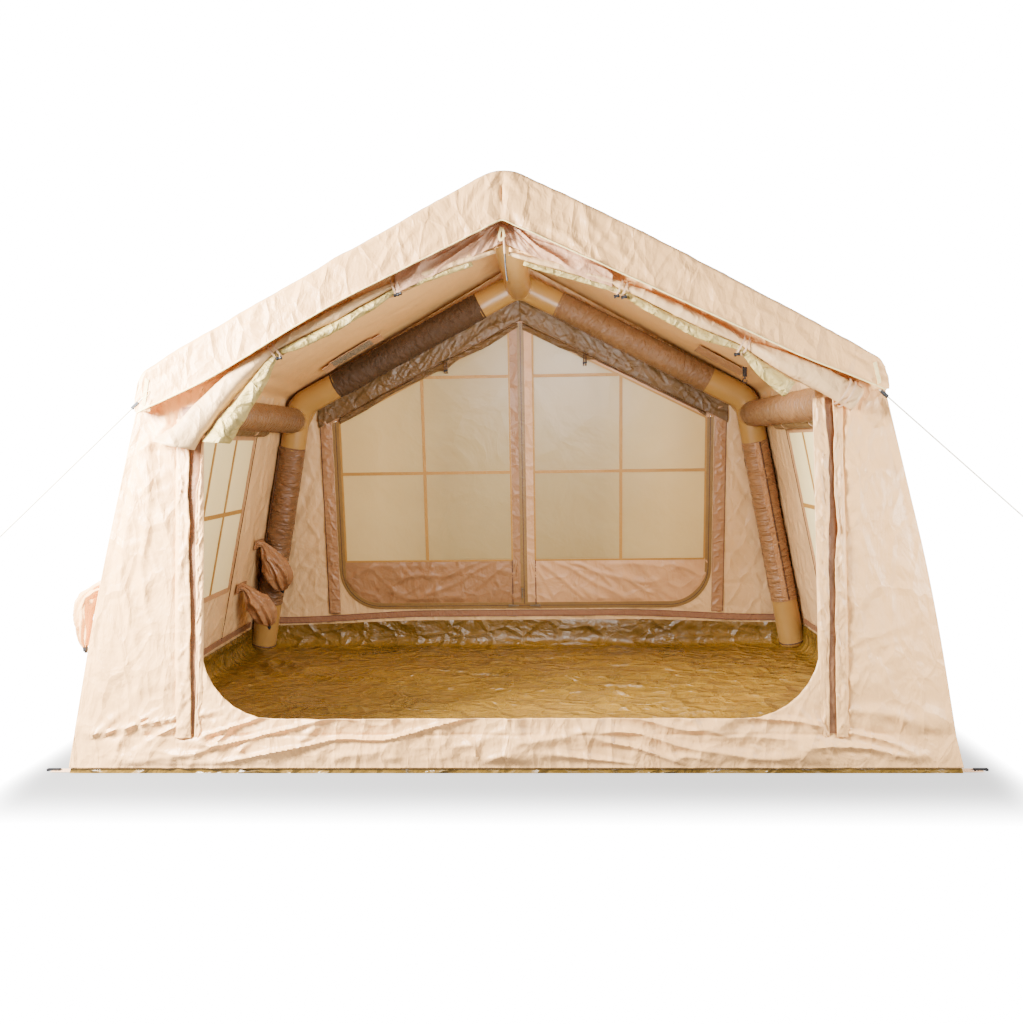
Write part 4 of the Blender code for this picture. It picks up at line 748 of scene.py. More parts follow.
def ground_material():
    """Pale ground that glows towards white, with a painted shadow: it glows less near the tent's base."""
    material = bpy.data.materials.new("studio_ground")
    material.use_nodes = True
    tree = material.node_tree
    shader = tree.nodes["Principled BSDF"]
    shader.inputs["Base Color"].default_value = (0.12, 0.12, 0.12, 1)
    shader.inputs["Roughness"].default_value = 1
    shader.inputs["Specular IOR Level"].default_value = 0
    shader.inputs["Emission Color"].default_value = (1, 1, 1, 1)
    places = tree.nodes.new("ShaderNodeTexCoord")
    split = tree.nodes.new("ShaderNodeSeparateXYZ")
    tree.links.new(places.outputs["Object"], split.inputs["Vector"])
    # Painted shadow: the glow falls off with distance from the tent's base, narrower at the sides, not with
    # any light that the tent blocks.
    beside = []
    for axis, edge, spread in (("X", BASE_HALF_WIDTH, PAINTED_SHADOW_SIDE_SHARE), ("Y", BASE_HALF_DEPTH, 1)):
        away = math_node(tree, "SUBTRACT", math_node(tree, "ABSOLUTE", split.outputs[axis]), edge)
        away = math_node(tree, "DIVIDE", math_node(tree, "MAXIMUM", away, 0), spread)
        beside.append(math_node(tree, "POWER", away, 2))
    away = math_node(tree, "POWER", math_node(tree, "ADD", *beside), 0.5)
    share = math_node(tree, "DIVIDE", away, PAINTED_SHADOW_REACH, clamp=True)
    path = tree.nodes.new("ShaderNodeLightPath")
    share = math_node(tree, "POWER", share, PAINTED_SHADOW_POWER)
    glow = math_node(tree, "ADD", math_node(tree, "MULTIPLY", share, GROUND_GLOW), PAINTED_SHADOW_GLOW)
    seen = math_node(tree, "MULTIPLY", glow, path.outputs["Is Camera Ray"])
    tree.links.new(seen, shader.inputs["Emission Strength"])
    return material


PAINTED_SHADOW_REACH = 0.47
PAINTED_SHADOW_SIDE_SHARE = 0.4
PAINTED_SHADOW_POWER = 4
PAINTED_SHADOW_GLOW = 1.25
GROUND_GLOW = 17
GROUND = ground_material()
ground.data.materials.append(GROUND)
print("materials:", len(bpy.data.materials))

# %% [markdown]
# The two guylines come first, because they alone leave the tent. Each is a limp braided cord, taut from a
# loop at the front eave corner down and out to a peg just beyond the picture. It runs through the runner
# that tightens it and ends in the loop that the peg would hold. A cord is drawn as a tube along its line.

# %% Guylines
GUY_RADIUS = 0.0025
GUY_START_Z = 1.276
GUY_END_X = 1.765
GUY_END_Z = 0.783
GUY_LOOP = 0.011


def guy_ends(side):
    run, fall = GUY_END_X - EAVE_HALF_WIDTH, GUY_START_Z - GUY_END_Z
    start_x = EAVE_HALF_WIDTH + GAP + GUY_RADIUS * fall / hypot(run, fall)
    y = end_y(GUY_START_Z) + ROOF_OVERHANG - FABRIC / 2
    return [np.array([side * x, -y, z]) for x, z in ((start_x, GUY_START_Z), (GUY_END_X, GUY_END_Z))]


for side, word in ((LEFT, "left"), (RIGHT, "right")):
    start, end = guy_ends(side)
    line = [start + (end - start) * share for share in np.linspace(0, 1, 16)]

    def braid(turn, share):
        return 0.07 * np.cos(6 * turn + share * 700)

    cord = piece(
        f"{word}_guy_cord", [tube(line, GUY_RADIUS, 0.002, 12, fold=braid)], [CORD],
        stands_for=[f"{word}_guyline"],
    )
    down = (end - start) / np.linalg.norm(end - start)
    aside = np.cross(down, (0, 1, 0))
    turns = np.linspace(0, tau, 24)
    loop = [
        end + down * GUY_LOOP * (-0.75 * (1 - cos(turn))) + aside * GUY_LOOP * 0.5 * sin(turn)
        for turn in turns
    ]
    knot = [
        end - down * (0.006 + 0.0016 * step) + aside * 0.0022 * cos(step * 1.6)
        + np.array([0, 0.0022, 0]) * sin(step * 1.6)
        for step in range(10)
    ]
    knot_piece = piece(
        f"{word}_guy_knot", [tube(loop, 0.0018, 0.002, 8), tube(knot, 0.0021, 0.0015, 8)], [CORD],
    )
    print(word, "guyline:", round(float(np.linalg.norm(end - start)), 3), "m")

# %% [markdown]
# The roof is one sheet: over the ridge, round the eaves into a narrow skirt at each side, and down into a
# valance at the front and the rear. Its cross-section is a polyline with round corners, so the grid's first
# share walks along that section from skirt to skirt, and its second from the front valance to the rear one.
# Folds fan out from the peak, a puckered seam runs below the front edge, and slanting folds cross the right
# half of the valance.

# %% Roof sheet with its valances
SKIRT_LOW_Z = 1.3
SKIRT_CORNER_Z = 1.268
SKIRT_LIFT = 0.007
EAVE_ROUNDING = 0.05
RIDGE_ROUNDING = 0.13
VALANCE_SHARE = 0.14
ROOF_COLUMNS, ROOF_ROWS = 300, 120
PUCKER_DROP = 0.03


def roof_section():
    """The roof's outline across, from the left skirt over the ridge to the right one."""
    x = side_x(EAVE_Z) + SKIRT_LIFT * 0.4
    low_x = side_x(SKIRT_LOW_Z) + SKIRT_LIFT
    corners = [(-low_x, SKIRT_LOW_Z), (-x, roof_z(x)), (0, RIDGE_Z), (x, roof_z(x)), (low_x, SKIRT_LOW_Z)]
    return np.array(rounded(corners, (0, EAVE_ROUNDING, RIDGE_ROUNDING, EAVE_ROUNDING, 0), 10, False))


def valance_z(x):
    return VALANCE_MIDDLE_Z - VALANCE_FALL * np.abs(x)


def valance_folds(end, x, z):
    """How far the valance stands out, from its seams, the fan at the peak and its slanting folds."""
    seam_z = roof_z(x) - PUCKER_DROP * 1.15
    pucker = 0.0022 * near(z, seam_z, 0.007) * drift(x * 75, z * 9, 11) - 0.0016 * near(z, seam_z, 0.004)
    top = ramp(z, seam_z - 0.01, seam_z + 0.02)
    slack = np.where(x > 0, 1.0, 0.42) if end == FRONT else 0.7
    slack = slack * (0.55 + 0.45 * drift(x * 1.7 + 5, z * 0.7, 12))
    along = (x * 0.72 * np.where(x > 0, 1, -1) - z * 0.69) * 1.0
    across = x * 0.69 * np.where(x > 0, 1, -1) + z * 0.72
    bend = 0.5 * drift(x * 4, z * 5, 13)
    slanting = 0.012 * slack * creases(across * 15 + bend, along * 3.2, 14)
    slanting += 0.0065 * slack * creases(across * 36 + bend * 2, along * 6, 15)
    slanting += 0.003 * crumple(x, z, 0.09, 16) * (0.4 + 0.6 * slack)
    fan_turn = np.arctan2(x, RIDGE_Z - 0.01 - z)
    fan = near(x, 0, 0.1) * (
        0.010 * creases(fan_turn * 4.6 + 0.3, z * 2, 17) + 0.005 * drift(fan_turn * 9, z, 18)
    )
    hem = (
        0.0035 * near(z, valance_z(x), 0.006)
        + 0.002 * near(z, valance_z(x), 0.02) * drift(x * 28, 0 * z, 19)
    )
    return pucker + slanting * (1 - 0.75 * top) + fan * (1 - 0.8 * top) + hem


def roof_shape(u, v):
    section = along_path(roof_section(), u)
    x, z = section[:, 0], section[:, 1]
    middle = ramp(np.abs(x), EAVE_HALF_WIDTH - 0.04, EAVE_HALF_WIDTH - 0.1)
    skirt_drop = (SKIRT_LOW_Z - SKIRT_CORNER_Z) * ramp(z, 1.34, SKIRT_LOW_Z)
    edge_y = end_y(z) + ROOF_OVERHANG
    share = (v - VALANCE_SHARE) / (1 - 2 * VALANCE_SHARE)
    on_top = np.clip(share, 0, 1)
    eased = on_top + 0.035 * np.sin(tau * on_top) * -1
    y = -edge_y + 2 * edge_y * eased
    hang = np.clip(np.where(share < 0, -share, share - 1) * (1 - 2 * VALANCE_SHARE) / VALANCE_SHARE, 0, 1)
    end = np.where(share < 0.5, FRONT, REAR)
    hanging = hang > 0
    fall_z = np.where(middle > 0, valance_z(x), SKIRT_CORNER_Z)
    fall_z = np.minimum(fall_z, z - 0.004)
    new_z = np.where(hanging, z + (fall_z - z) * hang, z - skirt_drop * near(np.abs(y), edge_y, 0.12))
    out = np.where(end == FRONT, valance_folds(FRONT, x, new_z), valance_folds(REAR, x, new_z))
    y = np.where(hanging, end * (end_y(new_z) + ROOF_OVERHANG + out), y)
    edge = near(np.abs(y), edge_y, 0.012) * (1 - hanging)
    round_off = 0.006 * np.where(hanging, near(hang, 0, 0.06), edge)
    seam = 0.0018 * near(np.abs(y), edge_y - 0.03, 0.006) * drift(x * 70, y * 4, 21)
    billow = 0.008 * np.sin(pi * on_top) * middle * (1 - near(x, 0, 0.15))
    rumple = 0.006 * crumple(x * 0.8, y, 0.22, 22) * middle + 0.002 * crumple(x, y, 0.07, 23)
    lift = np.where(hanging, 0, billow + rumple + seam) - round_off
    slope = np.sign(x) * ROOF_FALL
    k = 1 / hypot(1, ROOF_FALL)
    steep = ramp(np.abs(x), EAVE_HALF_WIDTH - 0.03, EAVE_HALF_WIDTH + 0.005)
    x = x + lift * (slope * k * (1 - steep) + np.sign(x) * steep)
    return np.stack([x, y, new_z + lift * k * (1 - steep)], axis=-1)


roof = piece(
    "roof_canopy", [grid_mesh(ROOF_COLUMNS, ROOF_ROWS, roof_shape, (2.8, 2.2))], [CREAM, CEILING_PAINTED_LIGHT],
    stands_for=["roof_sheet"],
)
doubled(roof, 0.0015, lining=True)

# %% [markdown]
# The front wall is a ring of cloth round the doorway. The grid's first share walks round both outlines at
# once, the doorway's and the wall's own, and its second crosses from one to the other. The two outlines are
# given by matching corners, so the cells stay square enough for folds to show. The folds are upright on the
# side panels, slanting on the low sill, and fan out from the doorway's round lower corners.

# %% Front wall
FRONT_DOOR_HALF_WIDTH = 1.04
FRONT_DOOR_SILL_Z = 0.183
FRONT_DOOR_CORNER = 0.25
FRONT_DOOR_MIDDLE_Z = 1.775
FRONT_DOOR_SIDE_Z = 1.3018
FRONT_DOOR_FALL = (FRONT_DOOR_MIDDLE_Z - FRONT_DOOR_SIDE_Z) / FRONT_DOOR_HALF_WIDTH
WALL_FOOT_Z = 0.018
BAND_SEAM_Z = 0.128
PANEL_SEAM_X = 1.125
ARC_STEPS = 8


def wall_top(x):
    """The height that a wall reaches under the roof sheet."""
    return roof_z(x) - (FABRIC + GAP) * hypot(1, ROOF_FALL)


WALL_EAVE_Z = (wall_top(0) - ROOF_FALL * BASE_HALF_WIDTH) / (1 - ROOF_FALL * SIDE_LEAN)


def ring_outlines(half_width, sill_z, side_z, middle_z, corner, foot_z):
    """Matching points on a doorway's outline and on the wall's, from the peak round by the left."""
    inner, outer = [(0, middle_z), (-half_width, side_z)], [
        (0, wall_top(0) - 0.01), (-side_x(WALL_EAVE_Z), WALL_EAVE_Z)
    ]
    for step in range(ARC_STEPS + 1):
        turn = pi + pi / 2 * step / ARC_STEPS
        inner.append((-half_width + corner + corner * cos(turn), sill_z + corner + corner * sin(turn)))
        share = step / ARC_STEPS
        foot = (-side_x(foot_z), foot_z)
        high = (-side_x(sill_z + corner), sill_z + corner)
        far = (-half_width + corner, foot_z)
        start, end, part = (high, foot, share * 2) if share <= 0.5 else (foot, far, share * 2 - 1)
        outer.append((start[0] + (end[0] - start[0]) * part, start[1] + (end[1] - start[1]) * part))
    inner += [(-x, z) for x, z in inner[::-1]]
    outer += [(-x, z) for x, z in outer[::-1]]
    return np.array(inner), np.array(outer)


def ring_shape(outlines):
    """The place in its plane of each grid point of a ring between two outlines, u round and v across."""
    inner, outer = outlines
    middle = (inner + outer) / 2
    steps = np.linalg.norm(np.diff(middle, axis=0), axis=1)
    reach = np.concatenate([[0], np.cumsum(steps)]) / max(steps.sum(), 1e-9)

    def place(u, v):
        a = np.stack([np.interp(u, reach, inner[:, axis]) for axis in (0, 1)], axis=-1)
        b = np.stack([np.interp(u, reach, outer[:, axis]) for axis in (0, 1)], axis=-1)
        spot = a + (b - a) * v[:, None]
        return spot[:, 0], spot[:, 1]

    return place


def front_folds(x, z):
    """How far the front wall's cloth stands out from its plane."""
    far = np.abs(x)
    panel = ramp(far, 1.1, 1.17) * ramp(z, 0.13, 0.3)
    bend = 0.6 * drift(x * 5, z * 3, 31)
    tall = 0.6 + 0.4 * drift(x * 3, z * 1.3, 32)
    upright = 0.016 * tall * creases(x * 12 + bend, z * 1.5 + bend * 0.3, 33)
    upright += 0.009 * tall * creases((x + 0.35 * z) * 23 + bend, z * 3.1, 34)
    upper = ramp(z, 0.75, 1.2)
    side = panel * (upright * (0.5 + 0.6 * upper) + 0.016 * crumple(x, z, 0.11, 35) * (0.4 + 1.0 * upper))
    hollow = panel * 0.008 * drift(x * 4 + 7, z * 2.2, 36)
    low = ramp(z, 0.24, 0.17)
    slant = np.sign(x) * 0.8
    sill = low * ramp(z, 0.02, 0.06) * (
        0.015 * creases((x * 0.35 + slant * z * 2.2) * 9 + bend, (x - slant * z) * 2.6, 37)
        + 0.011 * creases((x + slant * z) * 9 + 2 * bend, (z - slant * x * 0.3) * 7, 38)
        + 0.006 * crumple(x, z, 0.06, 39)
    )
    turn = np.arctan2(z - 0.30, far - 0.92)
    spread = np.hypot(z - 0.30, far - 0.92)
    fan = 0.006 * creases(turn * 5.2, spread * 4, 39) * near(spread, 0.27, 0.13) * ramp(0 - z, -0.6, -0.3)
    seam = (
        -0.0035 * near(z, BAND_SEAM_Z, 0.006)
        + 0.0015 * near(z, BAND_SEAM_Z, 0.014) * drift(x * 60, z * 20, 40)
    )
    upright_seam = (
        -0.003 * near(far, PANEL_SEAM_X, 0.007)
        + 0.0014 * near(far, PANEL_SEAM_X, 0.02) * drift(x * 9, z * 48, 41)
    )
    gable = ramp(z, 1.2, 1.4) * ramp(0 - far, -1.1, -1.0)
    peak_gathers = gable * (
        0.012 * creases(x * 26 + bend, z * 5, 42) * near(x, 0, 0.35) + 0.006 * crumple(x, z, 0.05, 43)
        + 0.004 * creases((z + FRONT_DOOR_FALL * far) * 30, x * 4, 44)
    )
    jamb = near(far, 1.06, 0.02) * ramp(z, 0.4, 0.5) * 0.002 * drift(x * 8, z * 22, 45)
    still = 1 - (
        0.96 * ramp(far, 1.034, 1.05) * ramp(0 - far, -1.128, -1.11)
        * ramp(z, 0.1, 0.14) * ramp(0 - z, -1.28, -1.24)
    )
    to_corner = side_x(z) - far
    still = still * (0.05 + 0.95 * ramp(to_corner, 0.002, 0.075))
    corner_seam = -0.003 * near(to_corner, 0.024, 0.005)
    return (
        0.0002
        + np.maximum(
            (side + hollow + sill + fan + peak_gathers + jamb) * still + seam + upright_seam + corner_seam,
            -0.004,
        )
    )


front_outlines = ring_outlines(
    FRONT_DOOR_HALF_WIDTH, FRONT_DOOR_SILL_Z, FRONT_DOOR_SIDE_Z, FRONT_DOOR_MIDDLE_Z,
    FRONT_DOOR_CORNER, WALL_FOOT_Z,
)
front_place = ring_shape(front_outlines)


def front_shape(u, v):
    x, z = front_place(u, v)
    return on_end(FRONT, x, z, front_folds(x, z))


front_wall = piece(
    "front_wall_cloth", [grid_mesh(760, 46, front_shape, (7.2, 0.35), around=True, flip=True)],
    [CREAM, INNER_FACE_SHADE], stands_for=["front_wall"],
)
doubled(front_wall, 0.0014, lining=True)

# %% [markdown]
# The rear wall is the same kind of ring with its own doorway. It is seen from inside, so its folds are
# judged there: slanting lines spread over the low panel and from the corners, and a seam runs up each side.

# %% Rear wall
REAR_DOOR_HALF_WIDTH = 0.98
REAR_DOOR_SILL_Z = 0.23
REAR_DOOR_CORNER = 0.2
REAR_DOOR_MIDDLE_Z = 1.735
REAR_DOOR_SIDE_Z = 1.245
REAR_DOOR_FALL = (REAR_DOOR_MIDDLE_Z - REAR_DOOR_SIDE_Z) / REAR_DOOR_HALF_WIDTH


def rear_folds(x, z):
    far = np.abs(x)
    bend = 0.5 * drift(x * 4, z * 4, 51)
    still = 1 - 0.9 * near(far, REAR_DOOR_HALF_WIDTH, 0.03) * ramp(z, 0.1, 0.3)
    panel = ramp(far, 1.0, 1.06)
    upright = panel * (
        0.008 * creases((far + 0.75 * z) * 14 + bend, (far - z) * 2.5, 52)
        + 0.004 * creases(x * 9, z * 16 + bend, 53)
    )
    low = ramp(z, 0.27, 0.2)
    slant = np.sign(x) * 0.9
    lower = low * (0.005 * creases((x + slant * z) * 12 + bend, z * 9, 54) + 0.003 * crumple(x, z, 0.07, 55))
    gable = ramp(z, 1.3, 1.45) * 0.005 * crumple(x, z, 0.08, 56)
    still = still * (0.05 + 0.95 * ramp(side_x(z) - far, 0.002, 0.06))
    return 0.0003 + (upright + lower + gable + 0.002 * crumple(x, z, 0.1, 57)) * still


rear_outlines = ring_outlines(
    REAR_DOOR_HALF_WIDTH, REAR_DOOR_SILL_Z, REAR_DOOR_SIDE_Z, REAR_DOOR_MIDDLE_Z,
    REAR_DOOR_CORNER, WALL_FOOT_Z,
)
rear_place = ring_shape(rear_outlines)


def rear_shape(u, v):
    x, z = rear_place(u, v)
    return on_end(REAR, x, z, rear_folds(x, z))


rear_wall = piece(
    "rear_wall_cloth", [grid_mesh(640, 36, rear_shape, (7.0, 0.4), around=True)], [CREAM, INNER_FACE_SHADE],
    stands_for=["rear_wall"],
)
doubled(rear_wall, 0.0014, lining=True)

# %% [markdown]
# A side wall is a ring round its window, seen from inside through the doorway and from outside in a side
# view. A panel seam runs down from each upper corner of the window.

# %% Side walls
WINDOW_HALF_WIDTH = 0.4
WINDOW_LOW_Z = 0.418
WINDOW_HIGH_Z = 1.145
SIDE_SEAM_Y = 0.412


def side_folds(side, y, z):
    bend = 0.5 * drift(y * 4, z * 3, 61)
    window = 1 - 0.85 * ramp(0 - np.abs(y), -0.46, -0.41) * ramp(z, 0.36, 0.41) * ramp(0 - z, -1.2, -1.15)
    upright = 0.006 * creases(y * 13 + bend, z * 1.8, 62 + side)
    radial = 0.004 * creases((y + 0.6 * z) * 17 + bend, z * 3, 64 + side)
    lower = ramp(z, 0.42, 0.2) * 0.005 * creases((y - z * np.sign(y)) * 11, z * 6 + bend, 66 + side)
    seam = (
        -0.0025 * near(np.abs(y), SIDE_SEAM_Y, 0.006)
        + 0.0012 * near(np.abs(y), SIDE_SEAM_Y, 0.02) * drift(y * 9, z * 50, 68)
    )
    hem = -0.003 * near(z, BAND_SEAM_Z, 0.006)
    window = window * (0.05 + 0.95 * ramp(end_y(z) - np.abs(y), 0.004, 0.06))
    return 0.0003 + (upright + radial + lower + 0.003 * crumple(y, z, 0.1, 69 + side)) * window + seam + hem


def side_outlines():
    inner = rounded(
        [
            (0, WINDOW_HIGH_Z),
            (-WINDOW_HALF_WIDTH, WINDOW_HIGH_Z),
            (-WINDOW_HALF_WIDTH, WINDOW_LOW_Z),
            (WINDOW_HALF_WIDTH, WINDOW_LOW_Z),
            (WINDOW_HALF_WIDTH, WINDOW_HIGH_Z),
            (0, WINDOW_HIGH_Z),
        ],
        (0,) * 6,
        closed=False,
    )
    setback = (FABRIC + GAP) * hypot(1, END_LEAN) + GAP
    top, foot = WALL_EAVE_Z, WALL_FOOT_Z
    half = [(0, top), (-(end_y(top) - setback), top), (-(end_y(foot) - setback), foot)]
    outer = half + [(-y, z) for y, z in half[::-1]]
    return np.array(inner), np.array(outer)


for side, word in ((LEFT, "left"), (RIGHT, "right")):
    place_side = ring_shape(side_outlines())

    def side_shape(u, v, side=side, place_side=place_side):
        y, z = place_side(u, v)
        return on_side(side, y, z, side_folds(side, y, z))

    wall = piece(
        f"{word}_wall_cloth",
        [grid_mesh(380, 46, side_shape, (4.6, 0.5), around=True, flip=side == RIGHT)], [CREAM, INNER_FACE_SHADE],
        stands_for=[f"{word}_wall"],
    )
    doubled(wall, 0.0014, lining=True)

corner_lines = []
for end in (FRONT, REAR):
    for side in (LEFT, RIGHT):
        heights = np.linspace(WALL_FOOT_Z + 0.003, WALL_EAVE_Z - 0.002, 60)
        corner_x = side * (side_x(heights) - 0.0032)
        corner_y = end * (end_y(heights) - 0.0032)
        corner_lines.append(tube(np.stack([corner_x, corner_y, heights], axis=-1), 0.0042, 0.02, 12))
piece("corner_seams", corner_lines, [CREAM])

# %% [markdown]
# The floor is one tub of coated sheet. It was folded small in its bag, so it is full of sharp creases with
# slack pillows between them, and it is the shiniest piece. Rings of the grid run from the middle outwards:
# the flat floor first, then up the inside of the tub's edge, over it, and down the outside to the ground.

# %% Tub floor
TUB_HEIGHT = 0.15
TUB_GAP = 0.0046
FLOOR_RING = 0.86


def tub_shape(u, v):
    a, b = 2 * u - 1, 2 * v - 1
    ring = np.maximum(np.abs(a), np.abs(b))
    scale = np.maximum(ring, 1e-9)
    flat_share = np.minimum(ring / FLOOR_RING, 1)
    climb = np.clip((ring - FLOOR_RING) / (1 - FLOOR_RING), 0, 1)
    profile = [
        (0, 0.004), (0.06, 0.010), (0.13, 0.028), (0.25, 0.08), (0.5, 1), (0.54, 1), (0.8, 0.08), (1, 0.0)
    ]
    inset = [
        (0, 0.085), (0.06, 0.05), (0.13, 0.022), (0.25, 0.005), (0.5, 0.0025), (0.54, 0.0), (0.8, 0.0),
        (1, 0.0),
    ]
    z = np.interp(climb, *zip(*profile))
    inner = np.interp(climb, *zip(*inset))
    far = np.abs(a / scale * ring) * BASE_HALF_WIDTH
    top_z = TUB_HEIGHT - 0.022 * ramp(far, 0.5, 1.3) * (b > 0)
    z = np.where(z > 0.5, top_z, z)
    z = np.where((climb > 0.25) & (climb < 0.5), 0.08 + (top_z - 0.08) * (climb - 0.25) / 0.25, z)
    z = np.where((climb > 0.54) & (climb < 0.8), top_z + (0.08 - top_z) * (climb - 0.54) / 0.26, z)
    half_x = side_x(z) - TUB_GAP - inner
    half_y = end_y(z) - TUB_GAP - inner
    x, y = a / scale * flat_share * half_x, b / scale * flat_share * half_y
    rough = ramp(0 - ring, -FLOOR_RING - 0.03, -FLOOR_RING + 0.04)
    left = ramp(0 - x, 0.1, 0.7)
    bend = 1.1 * drift(x * 2, y * 3, 71)
    streaks = (
        0.014 * creases(y * 9 + bend, x * 1.6 + y, 72)
        + 0.009 * creases(y * 19 + 1.4 * bend, x * 3.1 - y, 73)
    )
    streaks += 0.004 * creases(y * 34 + 2 * bend, x * 6 + y * 3, 74)
    pillows = (
        0.022 * (0.5 + 0.5 * drift((x + y) * 2.6, (x - y) * 1.5, 76))
        + 0.016 * creases((x * 0.8 + y) * 5 + bend, (y - x) * 1.8, 77)
    )
    pillows = pillows * left + streaks * (1 - 0.75 * left) + 0.006 * (0.5 + 0.5 * drift(x * 2, y * 2, 78))
    rise = 0.010 * crumple(x, z * 2.2 + y, 0.18, 79) + 0.008 * creases((x + z * 2.5) * 7 + bend, z * 9, 80)
    edge = rise * ramp(climb, 0.02, 0.12) * ramp(0 - climb, -0.5, -0.4)
    z = z + pillows * rough
    ends = np.abs(b) > np.abs(a)
    return np.stack([x - np.sign(x) * edge * ~ends, y - np.sign(y) * edge * ends, z], axis=-1)


tub = piece(
    "tub_floor", [grid_mesh(290, 210, tub_shape, (3.2, 2.3), around=False, capped=True)], [FLOOR],
    stands_for=["groundsheet"],
)

# %% [markdown]
# The air frame is five tubes of thick golden film. Each arch is one tube bent at its elbows and its peak,
# and the three beams run between the arches. A tube is a grid wrapped round a path. At each bend the film
# is short on the outside and bunches a little on the inside, so the skin gets shallow ribs there.

# %% Air tubes
TUBE_RADIUS = 0.065
BEAM_RADIUS = 0.062
TUBE_STANDOFF = 0.0735
TUBE_EAVE_Z = EAVE_Z - 0.046
TUBE_APEX_Z = RIDGE_Z - 0.135
ELBOW_RADIUS = 0.12
FOOT_Z = 0.0037


def tube_x(z):
    return side_x(z) - TUBE_STANDOFF * hypot(1, SIDE_LEAN)


def arch_points(end, outline):
    inset = TUBE_STANDOFF * hypot(1, END_LEAN)
    return np.array([(x, end * (end_y(z) - inset), z) for x, z in outline])


def arch_path(end):
    foot = FOOT_Z + 0.012
    half = [(tube_x(foot), foot), (tube_x(TUBE_EAVE_Z), TUBE_EAVE_Z)]
    corners = [(-x, z) for x, z in half] + [(0, TUBE_APEX_Z)] + half[::-1]
    return arch_points(end, rounded(corners, (0, ELBOW_RADIUS, ELBOW_RADIUS, ELBOW_RADIUS, 0), 8, False))


def foot_round(length, reach=0.035, radius=TUBE_RADIUS):
    """The radius along a tube whose closed ends are rounded off."""

    def size(v):
        from_end = np.minimum(v, 1 - v) * length
        share = np.clip(from_end / reach, 0, 1)
        return radius * (0.80 + 0.20 * np.sqrt(1 - (1 - share) ** 2))

    return size


for end, word in ((FRONT, "front"), (REAR, "rear")):
    path = arch_path(end)
    length = path_length(path)
    bends = [0.235, 0.5, 0.765]

    def ribs(turn, share, bends=bends):
        total = 0
        for bend in bends:
            total = total + near(share, bend, 0.017) * 0.02 * np.cos(share * 900) * (0.5 + 0.5 * np.cos(turn))
        return total + 0.004 * drift(turn * 2, share * 40, 81)

    piece(
        f"{word}_arch_skin", [tube(path, foot_round(length), 0.016, 40, fold=ribs)], [FILM],
        stands_for=[f"{word}_arch_tube"],
    )

front_arch, rear_arch = arch_path(FRONT), arch_path(REAR)
rings = []
for path in (front_arch, rear_arch):
    for start, ahead in ((path[0], path[1]), (path[-1], path[-2])):
        way = unit(ahead - start)
        aside = unit(np.cross(way, (0.0, 1.0, 0.0)))
        middle = start + way * 0.026
        turns = np.linspace(0, tau, 40)
        loop = [
            middle + (aside * cos(turn) + np.cross(way, aside) * sin(turn)) * (TUBE_RADIUS + 0.0005)
            for turn in turns
        ]
        rings.append(tube(loop, 0.0032, 0.004, 8))
piece("foot_rings", rings, [DARK])
for word, share in (("left_eave", 0.24), ("ridge", 0.5), ("right_eave", 0.76)):
    start, end = along_path(front_arch, np.array([share]))[0], along_path(rear_arch, np.array([share]))[0]
    shift = {"ridge": -0.004}.get(word, 0)
    start[2] += shift
    end[2] += shift
    reach = np.array([0, TUBE_RADIUS * 0.6, 0])

    def waves(turn, share):
        return (
            0.006 * drift(turn * 2, share * 14, 82)
            + 0.010 * (near(share, 0.04, 0.02) + near(share, 0.96, 0.02)) * np.cos(turn * 9)
        )

    piece(
        f"{word}_beam_skin",
        [tube([start + reach, (start + end) / 2, end - reach], BEAM_RADIUS, 0.02, 40, fold=waves)],
        [FILM], stands_for=[f"{word}_beam"],
    )

# %% [markdown]
# Cloth sleeves cover the straight stretches of the tubes and take the strain. Each is laced tight by a zip
# along its length, so fine wrinkles run across it and lean away from the zip like the barbs of a feather.
# A sleeve is a wrapped grid just outside the tube, with its two ends drawn in to the film.

# %% Sleeves
LEG_SLEEVE_LOW_Z = 0.27
LEG_SLEEVE_HIGH_Z = 1.1
RAFTER_SLEEVE_START_SHARE = 0.17
RAFTER_SLEEVE_END_SHARE = 0.83
EAVE_SLEEVE_HALF_LENGTH = 0.752
SLEEVE_PROUD = 0.0016


